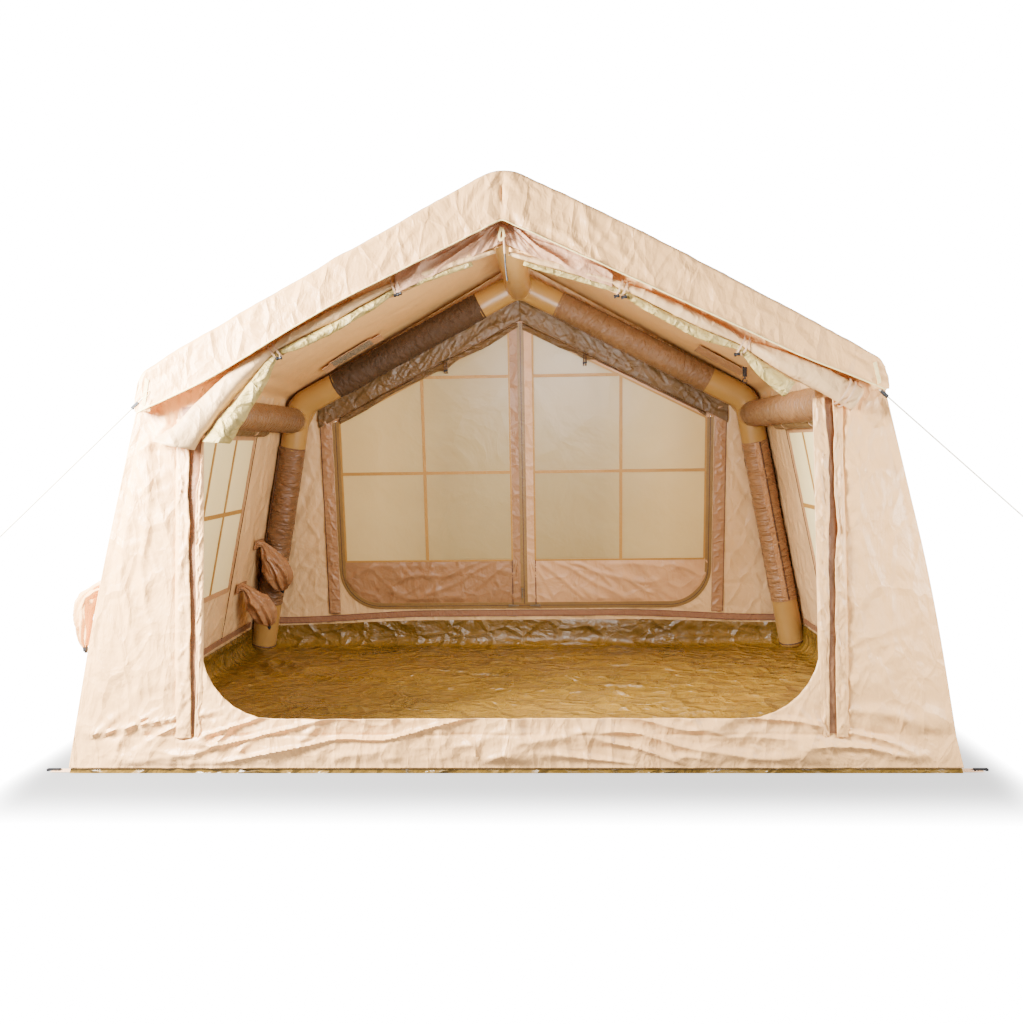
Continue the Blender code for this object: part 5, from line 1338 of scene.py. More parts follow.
def sleeve_piece(name, start, end, radius, seed, zip_turn, node, cloth=SLEEVE):
    """A wrinkled sleeve with a zip tape and a lighter flap beside it."""
    length = float(np.linalg.norm(end - start))

    def size(v):
        from_end = np.minimum(v, 1 - v) * length
        return radius + SLEEVE_PROUD * ramp(from_end, -0.004, 0.004) - 0.0012 * near(from_end, 0.012, 0.004)

    def wrinkles(turn, share):
        along = share * length
        from_zip = np.abs((turn - zip_turn + pi) % tau - pi)
        barbs = creases(
            (along + 0.035 * from_zip) * 52 + drift(along * 6, turn, seed) * 1.3, turn * 0.9, seed + 1
        )
        fine = creases((along - 0.02 * from_zip) * 105, turn * 1.6, seed + 2)
        calm = 0.35 + 0.65 * near(from_zip, 0, 1.3)
        broad = drift(along * 9, turn * 1.1, seed + 3)
        return np.maximum((0.075 * barbs + 0.03 * fine) * calm + 0.015 * broad - 0.012, -0.012)

    path = [start, (start + end) / 2, end]
    body = tube(path, size, 0.0055, 60, ends=False, fold=wrinkles)
    ahead = unit(end - start)
    seed_way = np.array([0.0, 0.0, 1.0]) if abs(ahead[2]) < 0.9 else np.array([0.0, 1.0, 0.0])
    across_way = unit(np.cross(ahead, seed_way))
    up_way = np.cross(across_way, ahead)

    def skin(turn, stand):
        out = across_way * cos(turn) + up_way * sin(turn)
        wave = [
            radius * (1 + 0.02 * float(drift(share * length * 9, turn * 1.1, seed + 3)))
            for share in SHARES
        ]
        line = [
            start + (end - start) * share + out * (size_here + stand)
            for share, size_here in zip(SHARES, wave)
        ]
        return np.array(line), out

    SHARES = np.linspace(0.006, 0.994, 60)
    zip_line, zip_out = skin(zip_turn, 0.0024)
    flap_line, flap_out = skin(zip_turn + 0.27, 0.0022)
    sleeve_obj = piece(name, [body], [cloth], stands_for=[node])
    piece(f"{name}_zip", [band(zip_line, zip_out, 0.006, 0.0022, 0.008)], [DARK])
    piece(f"{name}_flap", [band(flap_line, flap_out, 0.024, 0.0018, 0.008)], [SLEEVE_FLAP])
    return sleeve_obj


elbow_x = tube_x(TUBE_EAVE_Z)
seed = 100
for end, end_word in ((FRONT, "front"), (REAR, "rear")):
    for side, side_word in ((LEFT, "left"), (RIGHT, "right")):
        seed += 7
        leg = arch_points(end, [(side * tube_x(z), z) for z in (LEG_SLEEVE_LOW_Z, LEG_SLEEVE_HIGH_Z)])
        name = f"{end_word}_{side_word}_leg_sleeve"
        zip_side = {LEFT: -0.62, RIGHT: -1.75}[side] if end == REAR else 0.9
        # Right leg sleeves take the lighter copy of the sleeve cloth: painted light.
        sleeve_piece(
            f"{name}_cloth", leg[0], leg[1], TUBE_RADIUS, seed, zip_side, name,
            {LEFT: SLEEVE, RIGHT: SLEEVE_LIT}[side],
        )
        rafter = arch_points(
            end,
            [
                (side * elbow_x * (1 - share), TUBE_EAVE_Z + (TUBE_APEX_Z - TUBE_EAVE_Z) * share)
                for share in (RAFTER_SLEEVE_START_SHARE, RAFTER_SLEEVE_END_SHARE)
            ],
        )
        name = f"{end_word}_{side_word}_rafter_sleeve"
        zip_side = {LEFT: 3.5, RIGHT: -0.4}[side]
        # Left rafter sleeves take the darker copy (painted shade), right ones the lighter copy.
        sleeve_piece(
            f"{name}_cloth", rafter[0], rafter[1], TUBE_RADIUS, seed + 3, zip_side, name,
            {LEFT: SHADED_RAFTER_SLEEVE, RIGHT: RAFTER_LIT}[side],
        )
for side, word, share in ((LEFT, "left", 0.24), (RIGHT, "right", 0.76)):
    middle = along_path(front_arch, np.array([share]))[0]
    ends = [np.array([middle[0], end * EAVE_SLEEVE_HALF_LENGTH, middle[2]]) for end in (FRONT, REAR)]
    sleeve_piece(
        f"{word}_eave_sleeve_cloth", *ends, BEAM_RADIUS, 170 + side, -2.2 if side == LEFT else -1.0,
        f"{word}_eave_sleeve",
    )

# %% [markdown]
# Each side window is a fine mesh panel in its wall, crossed by golden tape into panes. Above it hangs its
# blind, rolled up on the inside and held by two ties with small black toggles.

# %% Side windows, their bars and their blinds
WINDOW_BARS_Y = (-0.135, 0.135)
WINDOW_BAR_Z = 0.797
BAR_WIDTH = 0.02
BLIND_Z = 1.18
BLIND_RADIUS = 0.032
BLIND_HALF_LENGTH = 0.425


def wall_line(face, side, start, end, lift, count=40):
    """A straight line on a wall, as points, with the wall's outward normal; face is on_side or on_end."""
    shares = np.linspace(0, 1, count)
    a = start[0] + (end[0] - start[0]) * shares
    z = start[1] + (end[1] - start[1]) * shares
    points = face(side, a, z, lift)
    out = unit((face(side, a, z, 0.01) - face(side, a, z, 0.0))[0])
    return points, out


for side, word in ((LEFT, "left"), (RIGHT, "right")):

    def window_shape(u, v, side=side):
        y = -WINDOW_HALF_WIDTH - 0.004 + (2 * WINDOW_HALF_WIDTH + 0.008) * u
        z = WINDOW_LOW_Z - 0.004 + (WINDOW_HIGH_Z - WINDOW_LOW_Z + 0.008) * v
        sag = 0.0015 * drift(y * 3, z * 4, 91 + side) + 0.0012 * creases((y - z * 0.7) * 14, z * 3, 92)
        return on_side(side, y, z, -0.0014 + sag * np.sin(pi * u) * np.sin(pi * v))

    pane = piece(
        f"{word}_window_mesh", [grid_mesh(80, 72, window_shape, (0.8, 0.74), flip=side == RIGHT)],
        [WINDOW], stands_for=[f"{word}_window"],
    )
    doubled(pane, 0.0006)
    strips = []
    for face_lift, turn in ((0.0006, 1), (-0.0032, -1)):
        for y in WINDOW_BARS_Y:
            line, out = wall_line(on_side, side, (y, WINDOW_LOW_Z), (y, WINDOW_HIGH_Z), face_lift)
            strips.append(band(line, out * turn, BAR_WIDTH, 0.0014, 0.012))
        line, out = wall_line(
            on_side, side, (-WINDOW_HALF_WIDTH, WINDOW_BAR_Z), (WINDOW_HALF_WIDTH, WINDOW_BAR_Z),
            face_lift,
        )
        strips.append(band(line, out * turn, BAR_WIDTH, 0.0019, 0.012))
    piece(f"{word}_window_bars", strips, [TAPE])
    frame_tapes, dark_tapes = [], []
    corners = [
        (-WINDOW_HALF_WIDTH, WINDOW_HIGH_Z), (-WINDOW_HALF_WIDTH, WINDOW_LOW_Z),
        (WINDOW_HALF_WIDTH, WINDOW_LOW_Z), (WINDOW_HALF_WIDTH, WINDOW_HIGH_Z),
    ]
    for start, end in zip(corners, corners[1:] + corners[:1]):
        line, out = wall_line(on_side, side, start, end, -0.0032)
        frame_tapes.append(band(line, -out, 0.026, 0.0022, 0.012))
    for turn in (-1, 1):
        line, out = wall_line(
            on_side, side, (turn * (SIDE_SEAM_Y + 0.014), 0.16), (turn * (SIDE_SEAM_Y + 0.014), 1.2),
            -0.0040,
        )
        dark_tapes.append(band(line, -out, 0.005, 0.0022, 0.01))
    piece(f"{word}_window_frame", frame_tapes, [BINDING])
    piece(f"{word}_window_seams", dark_tapes, [DARK])

    centre_x = side_x(BLIND_Z) - (FABRIC + BLIND_RADIUS) * hypot(1, SIDE_LEAN) - GAP
    spine = [np.array([side * centre_x, y, BLIND_Z]) for y in (-BLIND_HALF_LENGTH, 0, BLIND_HALF_LENGTH)]

    def blind_size(v):
        ties = near(v, 0.22, 0.025) + near(v, 0.78, 0.025)
        return BLIND_RADIUS * (0.98 - 0.2 * ties - 0.15 * near(v, 0, 0.02) - 0.15 * near(v, 1, 0.02))

    def blind_fold(turn, share):
        return (
            0.05 * np.cos(3 * turn + share * 5) * 0.6 + 0.05 * creases(share * 30 + turn, turn * 1.2, 95)
            - 0.03
        )

    piece(
        f"{word}_blind_roll", [tube(spine, blind_size, 0.007, 44, fold=blind_fold)], [CURTAIN],
        stands_for=[f"{word}_window_blind"],
    )
    ties, toggles = [], []
    for share in (-0.56, 0.56):
        y = share * BLIND_HALF_LENGTH
        ring = [
            np.array(
                [
                    side * centre_x + 0.0275 * cos(turn), y + 0.002 * sin(turn * 2),
                    BLIND_Z + 0.0275 * sin(turn),
                ]
            )
            for turn in np.linspace(0, tau, 28)
        ]
        outs = [unit(point - np.array([side * centre_x, y, BLIND_Z])) for point in ring]
        ties.append(band(ring, outs, 0.012, 0.0015, 0.006))
        peg = np.array([side * (centre_x - 0.031), y, BLIND_Z - 0.006])
        toggles.append(tube([peg - [0, 0.011, 0], peg + [0, 0.011, 0]], 0.0042, 0.003, 10))
    piece(f"{word}_blind_ties", ties, [WEBBING])
    piece(f"{word}_blind_toggles", toggles, [PLASTIC])

# %% [markdown]
# The rear door has two leaves, which lift about their sloping top edges. Each leaf is again a ring of cloth,
# round its film pane. All that is sewn to a leaf rides on the leaf's own body: its pane, the golden tape
# bars, the binding of its pane and its half of the middle zip.

# %% Rear door leaves with their panes
LEAF_SPLIT = 0.0016
PANE_LOW_Z = 0.478
PANE_INNER_X = 0.062
PANE_OUTER_X = REAR_DOOR_HALF_WIDTH - 0.022
PANE_TOP_MARGIN = 0.03
LEAF_BAR_X = 0.517
LEAF_BARS_Z = (0.951, 1.45)


def rear_door_top(x):
    return REAR_DOOR_MIDDLE_Z - REAR_DOOR_FALL * np.abs(x)


def pane_top(x):
    return rear_door_top(x) - PANE_TOP_MARGIN * hypot(1, REAR_DOOR_FALL)


def leaf_outlines(side):
    """Matching points round a leaf's pane and round the leaf, from the top at the middle down."""
    width, sill = REAR_DOOR_HALF_WIDTH - 0.0006, REAR_DOOR_SILL_Z + 0.0006
    inner = [(0.5, pane_top(0.5)), (PANE_INNER_X, pane_top(PANE_INNER_X)), (PANE_INNER_X, PANE_LOW_Z)]
    outer = [
        (0.5, rear_door_top(0.5) - 0.001), (LEAF_SPLIT, rear_door_top(LEAF_SPLIT) - 0.001),
        (LEAF_SPLIT, sill),
    ]
    inner.append((width - REAR_DOOR_CORNER, PANE_LOW_Z))
    outer.append((width - REAR_DOOR_CORNER, sill))
    for step in range(1, ARC_STEPS + 1):
        turn = -pi / 2 + pi / 2 * step / ARC_STEPS
        share = step / ARC_STEPS
        inner.append(
            (width - REAR_DOOR_CORNER + (PANE_OUTER_X - width + REAR_DOOR_CORNER) * share, PANE_LOW_Z)
        )
        corner = (width - REAR_DOOR_CORNER, sill + REAR_DOOR_CORNER)
        outer.append((corner[0] + REAR_DOOR_CORNER * cos(turn), corner[1] + REAR_DOOR_CORNER * sin(turn)))
    inner += [
        (PANE_OUTER_X, PANE_LOW_Z + 0.012), (PANE_OUTER_X, pane_top(PANE_OUTER_X)), (0.5, pane_top(0.5))
    ]
    outer += [
        (width, PANE_LOW_Z + 0.012), (width, rear_door_top(width) - 0.001),
        (0.5, rear_door_top(0.5) - 0.001),
    ]
    return np.array(inner) * (side, 1), np.array(outer) * (side, 1)


def leaf_folds(x, z):
    far = np.abs(x)
    low = ramp(z, PANE_LOW_Z + 0.01, PANE_LOW_Z - 0.03)
    bend = 0.5 * drift(x * 5, z * 5, 111)
    turn = np.arctan2(PANE_LOW_Z + 0.05 - z, far - 0.02)
    fan = creases(turn * 6 + bend, np.hypot(far, z) * 3, 112) * 0.008
    slant = creases((far + 1.3 * z) * 15 + bend, (z - far) * 4, 113) * 0.009 * ramp(far, 0.15, 0.4)
    stile = 0.002 * creases(z * 40 + bend, far * 6, 114) * ramp(0 - far, -0.07, -0.05)
    return -(low * (fan + slant + 0.0022 * crumple(x, z, 0.06, 115)) + stile)


for side, word in ((LEFT, "left"), (RIGHT, "right")):
    body = f"rear_{word}_leaf"
    leaf_place = ring_shape(leaf_outlines(side))

    def leaf_shape(u, v, leaf_place=leaf_place):
        x, z = leaf_place(u, v)
        return on_end(
            REAR, x, z,
            -0.0004 + leaf_folds(x, z) * ramp(v, 0, 0.1) * ramp(1 - v, 0.05, 0.17)
            * ramp(np.abs(x), 0.02, 0.036),
        )

    # The left leaf's inner face takes the darker copy (painted shade), the right leaf's the lighter (painted
    # light).
    leaf = piece(
        f"rear_{word}_leaf_cloth",
        [grid_mesh(360, 30, leaf_shape, (4.5, 0.2), around=True, flip=side == LEFT)],
        [CREAM, LEAF_LINING_SHADED if side == LEFT else LEAF_LINING_LIT], body=body,
        stands_for=[f"rear_{word}_door_leaf"],
    )
    doubled(leaf, 0.0016, lining=True)

    def pane_shape(u, v, side=side):
        x = PANE_INNER_X - 0.004 + (PANE_OUTER_X - PANE_INNER_X + 0.008) * u
        z = PANE_LOW_Z - 0.004 + (pane_top(x) - PANE_LOW_Z + 0.008) * v
        still = np.sin(pi * u) * np.sin(pi * v)
        dents = (
            0.0008 * drift(x * 2.2, z * 2.2, 121 + side)
            + 0.0009 * creases((x + z * side * 0.9) * 9, (z - x) * 2, 122)
        )
        return on_end(REAR, side * x, z, -0.0016 - dents * still)

    pane = piece(
        f"rear_{word}_pane_film", [grid_mesh(72, 72, pane_shape, (0.9, 1.1), flip=side == RIGHT)], [PANE],
        body=body, stands_for=[f"rear_{word}_door_pane"],
    )
    doubled(pane, 0.0006)
    bars = []
    for face_lift, turn in ((0.0004, 1), (-0.0036, -1)):
        x = side * LEAF_BAR_X
        line, out = wall_line(on_end, REAR, (x, PANE_LOW_Z), (x, pane_top(LEAF_BAR_X)), face_lift)
        bars.append(band(line, out * turn, 0.017, 0.0014, 0.014))
        for z in LEAF_BARS_Z:
            far = min(PANE_OUTER_X, (pane_top(0) - z) / REAR_DOOR_FALL)
            line, out = wall_line(on_end, REAR, (side * PANE_INNER_X, z), (side * far, z), face_lift)
            bars.append(band(line, out * turn, 0.017, 0.0018, 0.014))
    piece(f"rear_{word}_pane_bars", bars, [TAPE], body=body)
    outline = [
        (PANE_INNER_X, pane_top(PANE_INNER_X)), (PANE_INNER_X, PANE_LOW_Z), (PANE_OUTER_X, PANE_LOW_Z),
        (PANE_OUTER_X, pane_top(PANE_OUTER_X)),
    ]
    edging = []
    for start, end in zip(outline, outline[1:] + outline[:1]):
        line, out = wall_line(on_end, REAR, (side * start[0], start[1]), (side * end[0], end[1]), -0.0030)
        edging.append(band(line, -out, 0.010, 0.0022, 0.014))
    piece(f"rear_{word}_pane_edging", edging, [TAPE], body=body)
    line, out = wall_line(
        on_end, REAR, (side * PANE_INNER_X, 0.235), (side * PANE_INNER_X, PANE_LOW_Z), -0.0030
    )
    piece(f"rear_{word}_leaf_seam", [band(line, -out, 0.006, 0.0022, 0.014)], [DARK], body=body)
    x = side * (GAP / 2 + 0.0085)
    line, out = wall_line(on_end, REAR, (x, 0.235), (x, rear_door_top(0.02) - 0.003), -0.0024)
    half_zip = [band(line, -out, 0.019, 0.0016, 0.014)]
    piece(f"rear_{word}_zip_half", half_zip, [OLIVE], body=body)
    if side == LEFT:
        line, out = wall_line(on_end, REAR, (0, 0.238), (0, rear_door_top(0) - 0.008), -0.0036)
        piece("rear_centre_zip_teeth", [band(line, -out, 0.0045, 0.0016, 0.01)], [DARK], body=body)
        flap_x = -0.0125
        line, out = wall_line(on_end, REAR, (flap_x, 0.238), (flap_x, rear_door_top(0) - 0.03), 0.0012)
        piece(
            "rear_centre_storm_flap", [band(line, out, 0.021, 0.0022, 0.02)], [CREAM],
            body=body,
        )

# %% [markdown]
# The front door's two halves are rolled up and tied along the doorway's sloping top edge, and so are the
# mesh door's, just inside of them. Each roll is one sheet: it comes down from its seam on the wall, passes
# behind the roll, turns under it and winds inwards for several turns, with folds that wind along it. Two
# ties draw it in. Its end is open, so the turns of the spiral show there.

# %% Rolled doors
ROLL_PLACES = {
    LEFT: (
        (0.025, 0.010, 0.006), (0.11, -0.004, 0.009), (0.21, -0.020, 0.010), (0.30, -0.032, 0.0105),
        (0.37, -0.040, 0.0095), (0.45, -0.040, 0.0155), (0.54, -0.037, 0.0185), (0.62, -0.032, 0.019),
        (0.73, -0.028, 0.017), (0.79, -0.018, 0.0115), (0.857, 0.004, 0.026), (0.916, 0.033, 0.036),
        (0.985, 0.072, 0.042), (1.053, 0.115, 0.049), (1.118, 0.158, 0.060),
    ),
    RIGHT: (
        (0.02, 0.020, 0.006), (0.075, 0.012, 0.009), (0.16, -0.003, 0.011), (0.26, -0.020, 0.0115),
        (0.34, -0.031, 0.0115), (0.407, -0.036, 0.0105), (0.49, -0.036, 0.0165), (0.59, -0.032, 0.019),
        (0.69, -0.026, 0.019), (0.77, -0.022, 0.014), (0.81, -0.018, 0.0125), (0.887, -0.012, 0.027),
        (0.985, -0.006, 0.038), (1.082, 0.002, 0.041), (1.168, 0.014, 0.043),
    ),
}
TIE_PLACES = {LEFT: (0.37, 0.79), RIGHT: (0.407, 0.81, 1.11)}
END_SLANT = {LEFT: 0.55, RIGHT: 0.0}
ROLL_WIDTH_SHARE = 1.3
MESH_SHARE = 0.84
MESH_ROLL_ENDS = {LEFT: (0.06, 0.95), RIGHT: (0.06, 0.9)}
ROLL_CORE_SHARE = 0.22
DOOR_TURNS = 10.5
MESH_TURNS = 6
FLAP_SHARE = 0.06


def front_door_top(x):
    return FRONT_DOOR_MIDDLE_Z - FRONT_DOOR_FALL * np.abs(x)


def roll_route(side):
    """The outer roll's places on the front wall, as (x, z, radius), from |x|, drop and half height."""
    places = [
        (side * x, front_door_top(x) - drop, half / ROLL_WIDTH_SHARE)
        for x, drop, half in ROLL_PLACES[side]
    ]
    return smooth(places, 2)


def mesh_roll_route(side):
    """The mesh door's roll hangs just below the outer roll, and ends a little before it."""
    outer = roll_route(side)
    start, end = MESH_ROLL_ENDS[side]
    found = []
    for index in range(round(start * len(outer)), round(end * len(outer)) - 1):
        x, z, radius = outer[index]
        along = unit(outer[index + 1][:2] - outer[index][:2])
        size = radius * MESH_SHARE
        reach = (radius + size) * 1.06 * ROLL_WIDTH_SHARE + GAP
        found.append((x + side * along[1] * reach, z - side * along[0] * reach, size))
    return np.array(found)


def rolled_sheet(route, side, turns, lift, seed, flap, plump=1.0):
    """The grid of a sheet that hangs from its seam and is rolled up: u winds the spiral, v runs along it."""
    steps = np.linalg.norm(np.diff(route[:, :2], axis=0), axis=1)
    length = float(steps.sum())
    reach = np.concatenate([[0], np.cumsum(steps)]) / length
    fine = smooth(np.column_stack([route, reach]), 6)

    def at(v, axis):
        return np.interp(v, fine[:, 3], fine[:, axis])

    def shape(u, v):
        x, z, size = at(v, 0), at(v, 1), at(v, 2) * plump
        ahead_x = at(np.minimum(v + 0.02, 1), 0) - at(np.maximum(v - 0.02, 0), 0)
        ahead_z = at(np.minimum(v + 0.02, 1), 1) - at(np.maximum(v - 0.02, 0), 1)
        long = np.hypot(ahead_x, ahead_z)
        up_x, up_z = -side * ahead_z / long, side * ahead_x / long
        wound = np.clip((u - FLAP_SHARE) / (1 - FLAP_SHARE), 0, 1)
        turn = pi + wound * turns * tau
        shrink = ROLL_CORE_SHARE + (1 - ROLL_CORE_SHARE) * (1 - wound)
        along = v * length
        twist = along * 9
        folds = 0.075 * np.cos(4 * turn + twist * 2.2 + drift(along * 9, 0 * v, seed) * 2)
        folds += 0.10 * creases(turn / tau * 3 + along * 7, along * 12, seed + 1) - 0.05
        folds += 0.05 * creases(turn / tau * 7 - along * 14, along * 26, seed + 2)
        lump = 0.08 * drift(along * 14, turn / tau * 2, seed + 3)
        skin = size * (1 + folds + lump) * shrink
        out = size + lift + skin * np.cos(turn)
        up = skin * ROLL_WIDTH_SHARE * np.sin(turn)
        slant = END_SLANT[side] * up * ramp(v, 0.8, 1)
        roll_x, roll_z = x + up_x * up + ahead_x / long * slant, z + up_z * up + ahead_z / long * slant
        if flap:
            hang = 1 - np.clip(u / FLAP_SHARE, 0, 1)
            seam_x = side * np.minimum(np.abs(x), FRONT_DOOR_HALF_WIDTH - 0.012)
            seam_z = front_door_top(seam_x) + 0.012
            pleat = 0.006 * creases(along * 34, hang * 2, seed + 4) * np.sin(pi * hang)
            roll_x = roll_x + (seam_x - roll_x) * hang
            roll_z = roll_z + (seam_z - roll_z) * hang
            out = out + (0.002 - out) * hang + pleat
        spot = on_end(FRONT, roll_x, roll_z, 0.0)
        away = out * hypot(1, END_LEAN)
        spot[:, 1] -= away
        return spot

    columns, rows = round(turns * (23 if flap else 30)), round(length / 0.0105)
    return grid_mesh(columns, rows, shape, (turns * 0.15, length), flip=side == LEFT)


for side, word, lift in ((LEFT, "left", 0.0022), (RIGHT, "right", 0.0004)):
    door_roll = piece(
        f"front_{word}_rolled_door",
        [rolled_sheet(roll_route(side), side, DOOR_TURNS, lift, 131 + side, True)], [CREAM, INNER_FACE_SHADE],
        stands_for=[f"front_{word}_door_roll"],
    )
    doubled(door_roll, 0.0007, lining=True)
    mesh_roll = piece(
        f"front_{word}_rolled_mesh",
        [rolled_sheet(mesh_roll_route(side), side, MESH_TURNS, lift, 141 + side, False)], [MESH],
        stands_for=[f"front_{word}_mesh_roll"],
    )
    doubled(mesh_roll, 0.0006)
    ties, toggles = [], []
    route = roll_route(side)
    for number, place in enumerate(TIE_PLACES[side]):
        index = int(np.argmin(np.abs(np.abs(route[:, 0]) - place)))
        x, z, size = route[index]
        ahead = unit(route[index + 1][:2] - route[index - 1][:2])
        up_way = np.array([-ahead[1], ahead[0]]) * side * -1
        up_way = up_way if up_way[1] > 0 else -up_way
        half = size * ROLL_WIDTH_SHARE
        high, low = half + 0.010, -half * (1 if number == 2 else 1 + 2 * MESH_SHARE) - 0.006
        for spread in (-0.009, 0.009):
            share = np.linspace(-1, 1, 24)
            rise = (high + low) / 2 - share * (high - low) / 2
            out = 0.0015 + (size * 2.3 + 0.003) * (1 - share**2) ** 0.45
            loop = on_end(
                FRONT, x + ahead[0] * spread + up_way[0] * rise, z + ahead[1] * spread + up_way[1] * rise
            )
            loop[:, 1] -= out
            middle = loop.mean(axis=0) + (0, 0.02, 0)
            ties.append(band(loop, [unit(point - middle) for point in loop], 0.0065, 0.0014, 0.004))
            if number == 2 or number == 1 and spread > 0:
                continue
            foot = loop[-2] + np.array([0.004 * np.sign(spread), -0.010, -0.010 if spread < 0 else -0.007])
            ends = [foot - (0.009, 0, 0.002), foot + (0.009, 0, 0.002)]
            toggles.append(tube(ends, lambda v: 0.0062 - 0.002 * near(v, 0.5, 0.2), 0.002, 12))
            ties.append(tube([loop[-4], loop[-3] - (0, 0.006, 0.004), foot], 0.0018, 0.003, 8))
    piece(f"front_{word}_roll_ties", ties, [WEBBING])
    piece(f"front_{word}_roll_toggles", toggles, [PLASTIC])

# %% [markdown]
# At the peak a darker sheet lies on the wall between the valance and the two rolls. Its brown is painted
# shade, for the valance's shadow on the cream wall cloth. Its folds run together towards the peak.

# %% Painted shade under the valance at the peak
VALANCE_SHADOW_HALF_WIDTH = 0.37


def valance_shadow_shape(u, v):
    x = VALANCE_SHADOW_HALF_WIDTH * (2 * u - 1)
    low, high = front_door_top(x) + 0.004, valance_z(x) + 0.03
    z = low + (high - low) * v
    turn = np.arctan2(x, 1.86 - z)
    away = np.hypot(x, 1.86 - z)
    gather = 0.013 * creases(turn * 5 + 0.4 * drift(x * 9, z * 9, 158), away * 5, 156) * ramp(away, 0.0, 0.1)
    gather += 0.006 * creases(turn * 11, away * 9, 157) + 0.004 * crumple(x, z, 0.05, 159)
    return on_end(FRONT, x, z, 0.012 + gather * (0.4 + 0.6 * np.sin(pi * v)))


# The sheet's brown is painted shade, for the valance's shadow on the wall.
peak_gathers = piece("front_valance_shadow", [grid_mesh(200, 30, valance_shadow_shape, (0.74, 0.1))], [VALANCE_SHADOW_CLOTH])
doubled(peak_gathers, 0.0009)

# %% [markdown]
# On each jamb the door's zip tape shows as a brown slit between two loose strips of wall cloth. The strips'
# edges wander, so the slit opens and closes along its height. The outer strip stands clear of the slider.

# %% Zip tapes and flaps on the front jambs
FRONT_ZIP_LOW_Z = 0.132
FRONT_ZIP_HIGH_Z = 1.19
SLIT_EDGES = {
    LEFT: (
        (0.14, 0.20, 0.40, 0.58, 0.75, 0.82, 0.95, 1.02, 1.08, 1.15),
        (1.0605, 1.058, 1.057, 1.056, 1.0605, 1.058, 1.057, 1.044, 1.040, 1.036),
        (1.068, 1.069, 1.075, 1.073, 1.081, 1.074, 1.082, 1.080, 1.079, 1.087),
    ),
    RIGHT: (
        (0.14, 0.40, 0.60, 0.70, 0.80, 0.95, 1.05, 1.15, 1.20),
        (1.062, 1.067, 1.072, 1.070, 1.074, 1.080, 1.079, 1.074, 1.070),
        (1.085, 1.084, 1.092, 1.091, 1.100, 1.094, 1.095, 1.096, 1.092),
    ),
}
FLAP_OUTER_X = 1.131
FLAP_CLEAR = 0.0096
FLAP_RISE = {LEFT: 0.02, RIGHT: 0.06}
for side, word in ((LEFT, "left"), (RIGHT, "right")):
    line, out = wall_line(
        on_end, FRONT, (side * 1.074, FRONT_ZIP_LOW_Z), (side * 1.074, FRONT_ZIP_HIGH_Z + 0.05), -0.001,
        120,
    )
    piece(f"front_{word}_zip_line", [band(line, out, 0.07, 0.0022, 0.01)], [SLIT])
    flaps = []
    for turn in (-1, 1):

        def flap_shape(u, v, side=side, turn=turn):
            z = FRONT_ZIP_LOW_Z - 0.012 + (FRONT_ZIP_HIGH_Z + FLAP_RISE[side] - FRONT_ZIP_LOW_Z) * v
            heights, inner_edge, outer_edge = SLIT_EDGES[side]
            wave = (
                0.0022 * drift(z * 14, 0 * z + turn * 3, 151 + side)
                + 0.0012 * drift(z * 33, 0 * z + turn, 153)
            )
            edge = np.interp(z, heights, inner_edge if turn < 0 else outer_edge) + wave * ramp(z, 0.15, 0.3)
            edge = np.minimum(edge, 1.087) if turn < 0 else np.maximum(edge, 1.07)
            far = FRONT_DOOR_HALF_WIDTH - 0.008 if turn < 0 else FLAP_OUTER_X
            x = edge + (far - edge) * u
            puff = 0.0055 * creases(z * 17 + u * 1.2 * turn, u * 1.5 + z * 3, 155 + turn)
            puff += 0.003 * creases(z * 38 - u * 2, u * 3, 157 + turn)
            curl = 0.003 * near(u, 0.06, 0.1) * (0.6 + drift(z * 20, 0 * z, 154))
            clear = 0.0035 if turn < 0 else FLAP_CLEAR
            rise = clear + curl + puff * np.sin(pi * (0.15 + 0.85 * u))
            return on_end(FRONT, side * x, z, rise * (1 - 0.93 * ramp(u, 0.72, 1.0)))

        strip = grid_mesh(12, 260, flap_shape, (0.034, 1.0), flip=(side * turn) < 0)
        flaps.append(strip)
    cover = piece(f"front_{word}_zip_flaps", flaps, [CREAM, INNER_FACE_SHADE])
    doubled(cover, 0.0009, lining=True)

# %% [markdown]
# On the rear wall, seen from inside, the zip tape runs round the door, a wrinkled brown strip runs up beside
# it, and a hem lies just above the tub's edge. Over the top of each leaf hangs its curtain, bunched up
# along the slope and held by loops. It is fixed to the leaf, so it lifts with it.

# %% Rear wall tapes and the leaves' curtains
REAR_TAPE_WIDTH = 0.034
STRIP_NEAR_X = 1.0
STRIP_FAR_X = 1.062
HEM_Z = 0.188
HEM_SAG = 0.032
CURTAIN_HIGH = 0.006


def on_rear_inside(x, z, depth):
    """Points inside the rear wall, at a depth from its inner face."""
    return on_end(REAR, x, z, -FABRIC - depth)


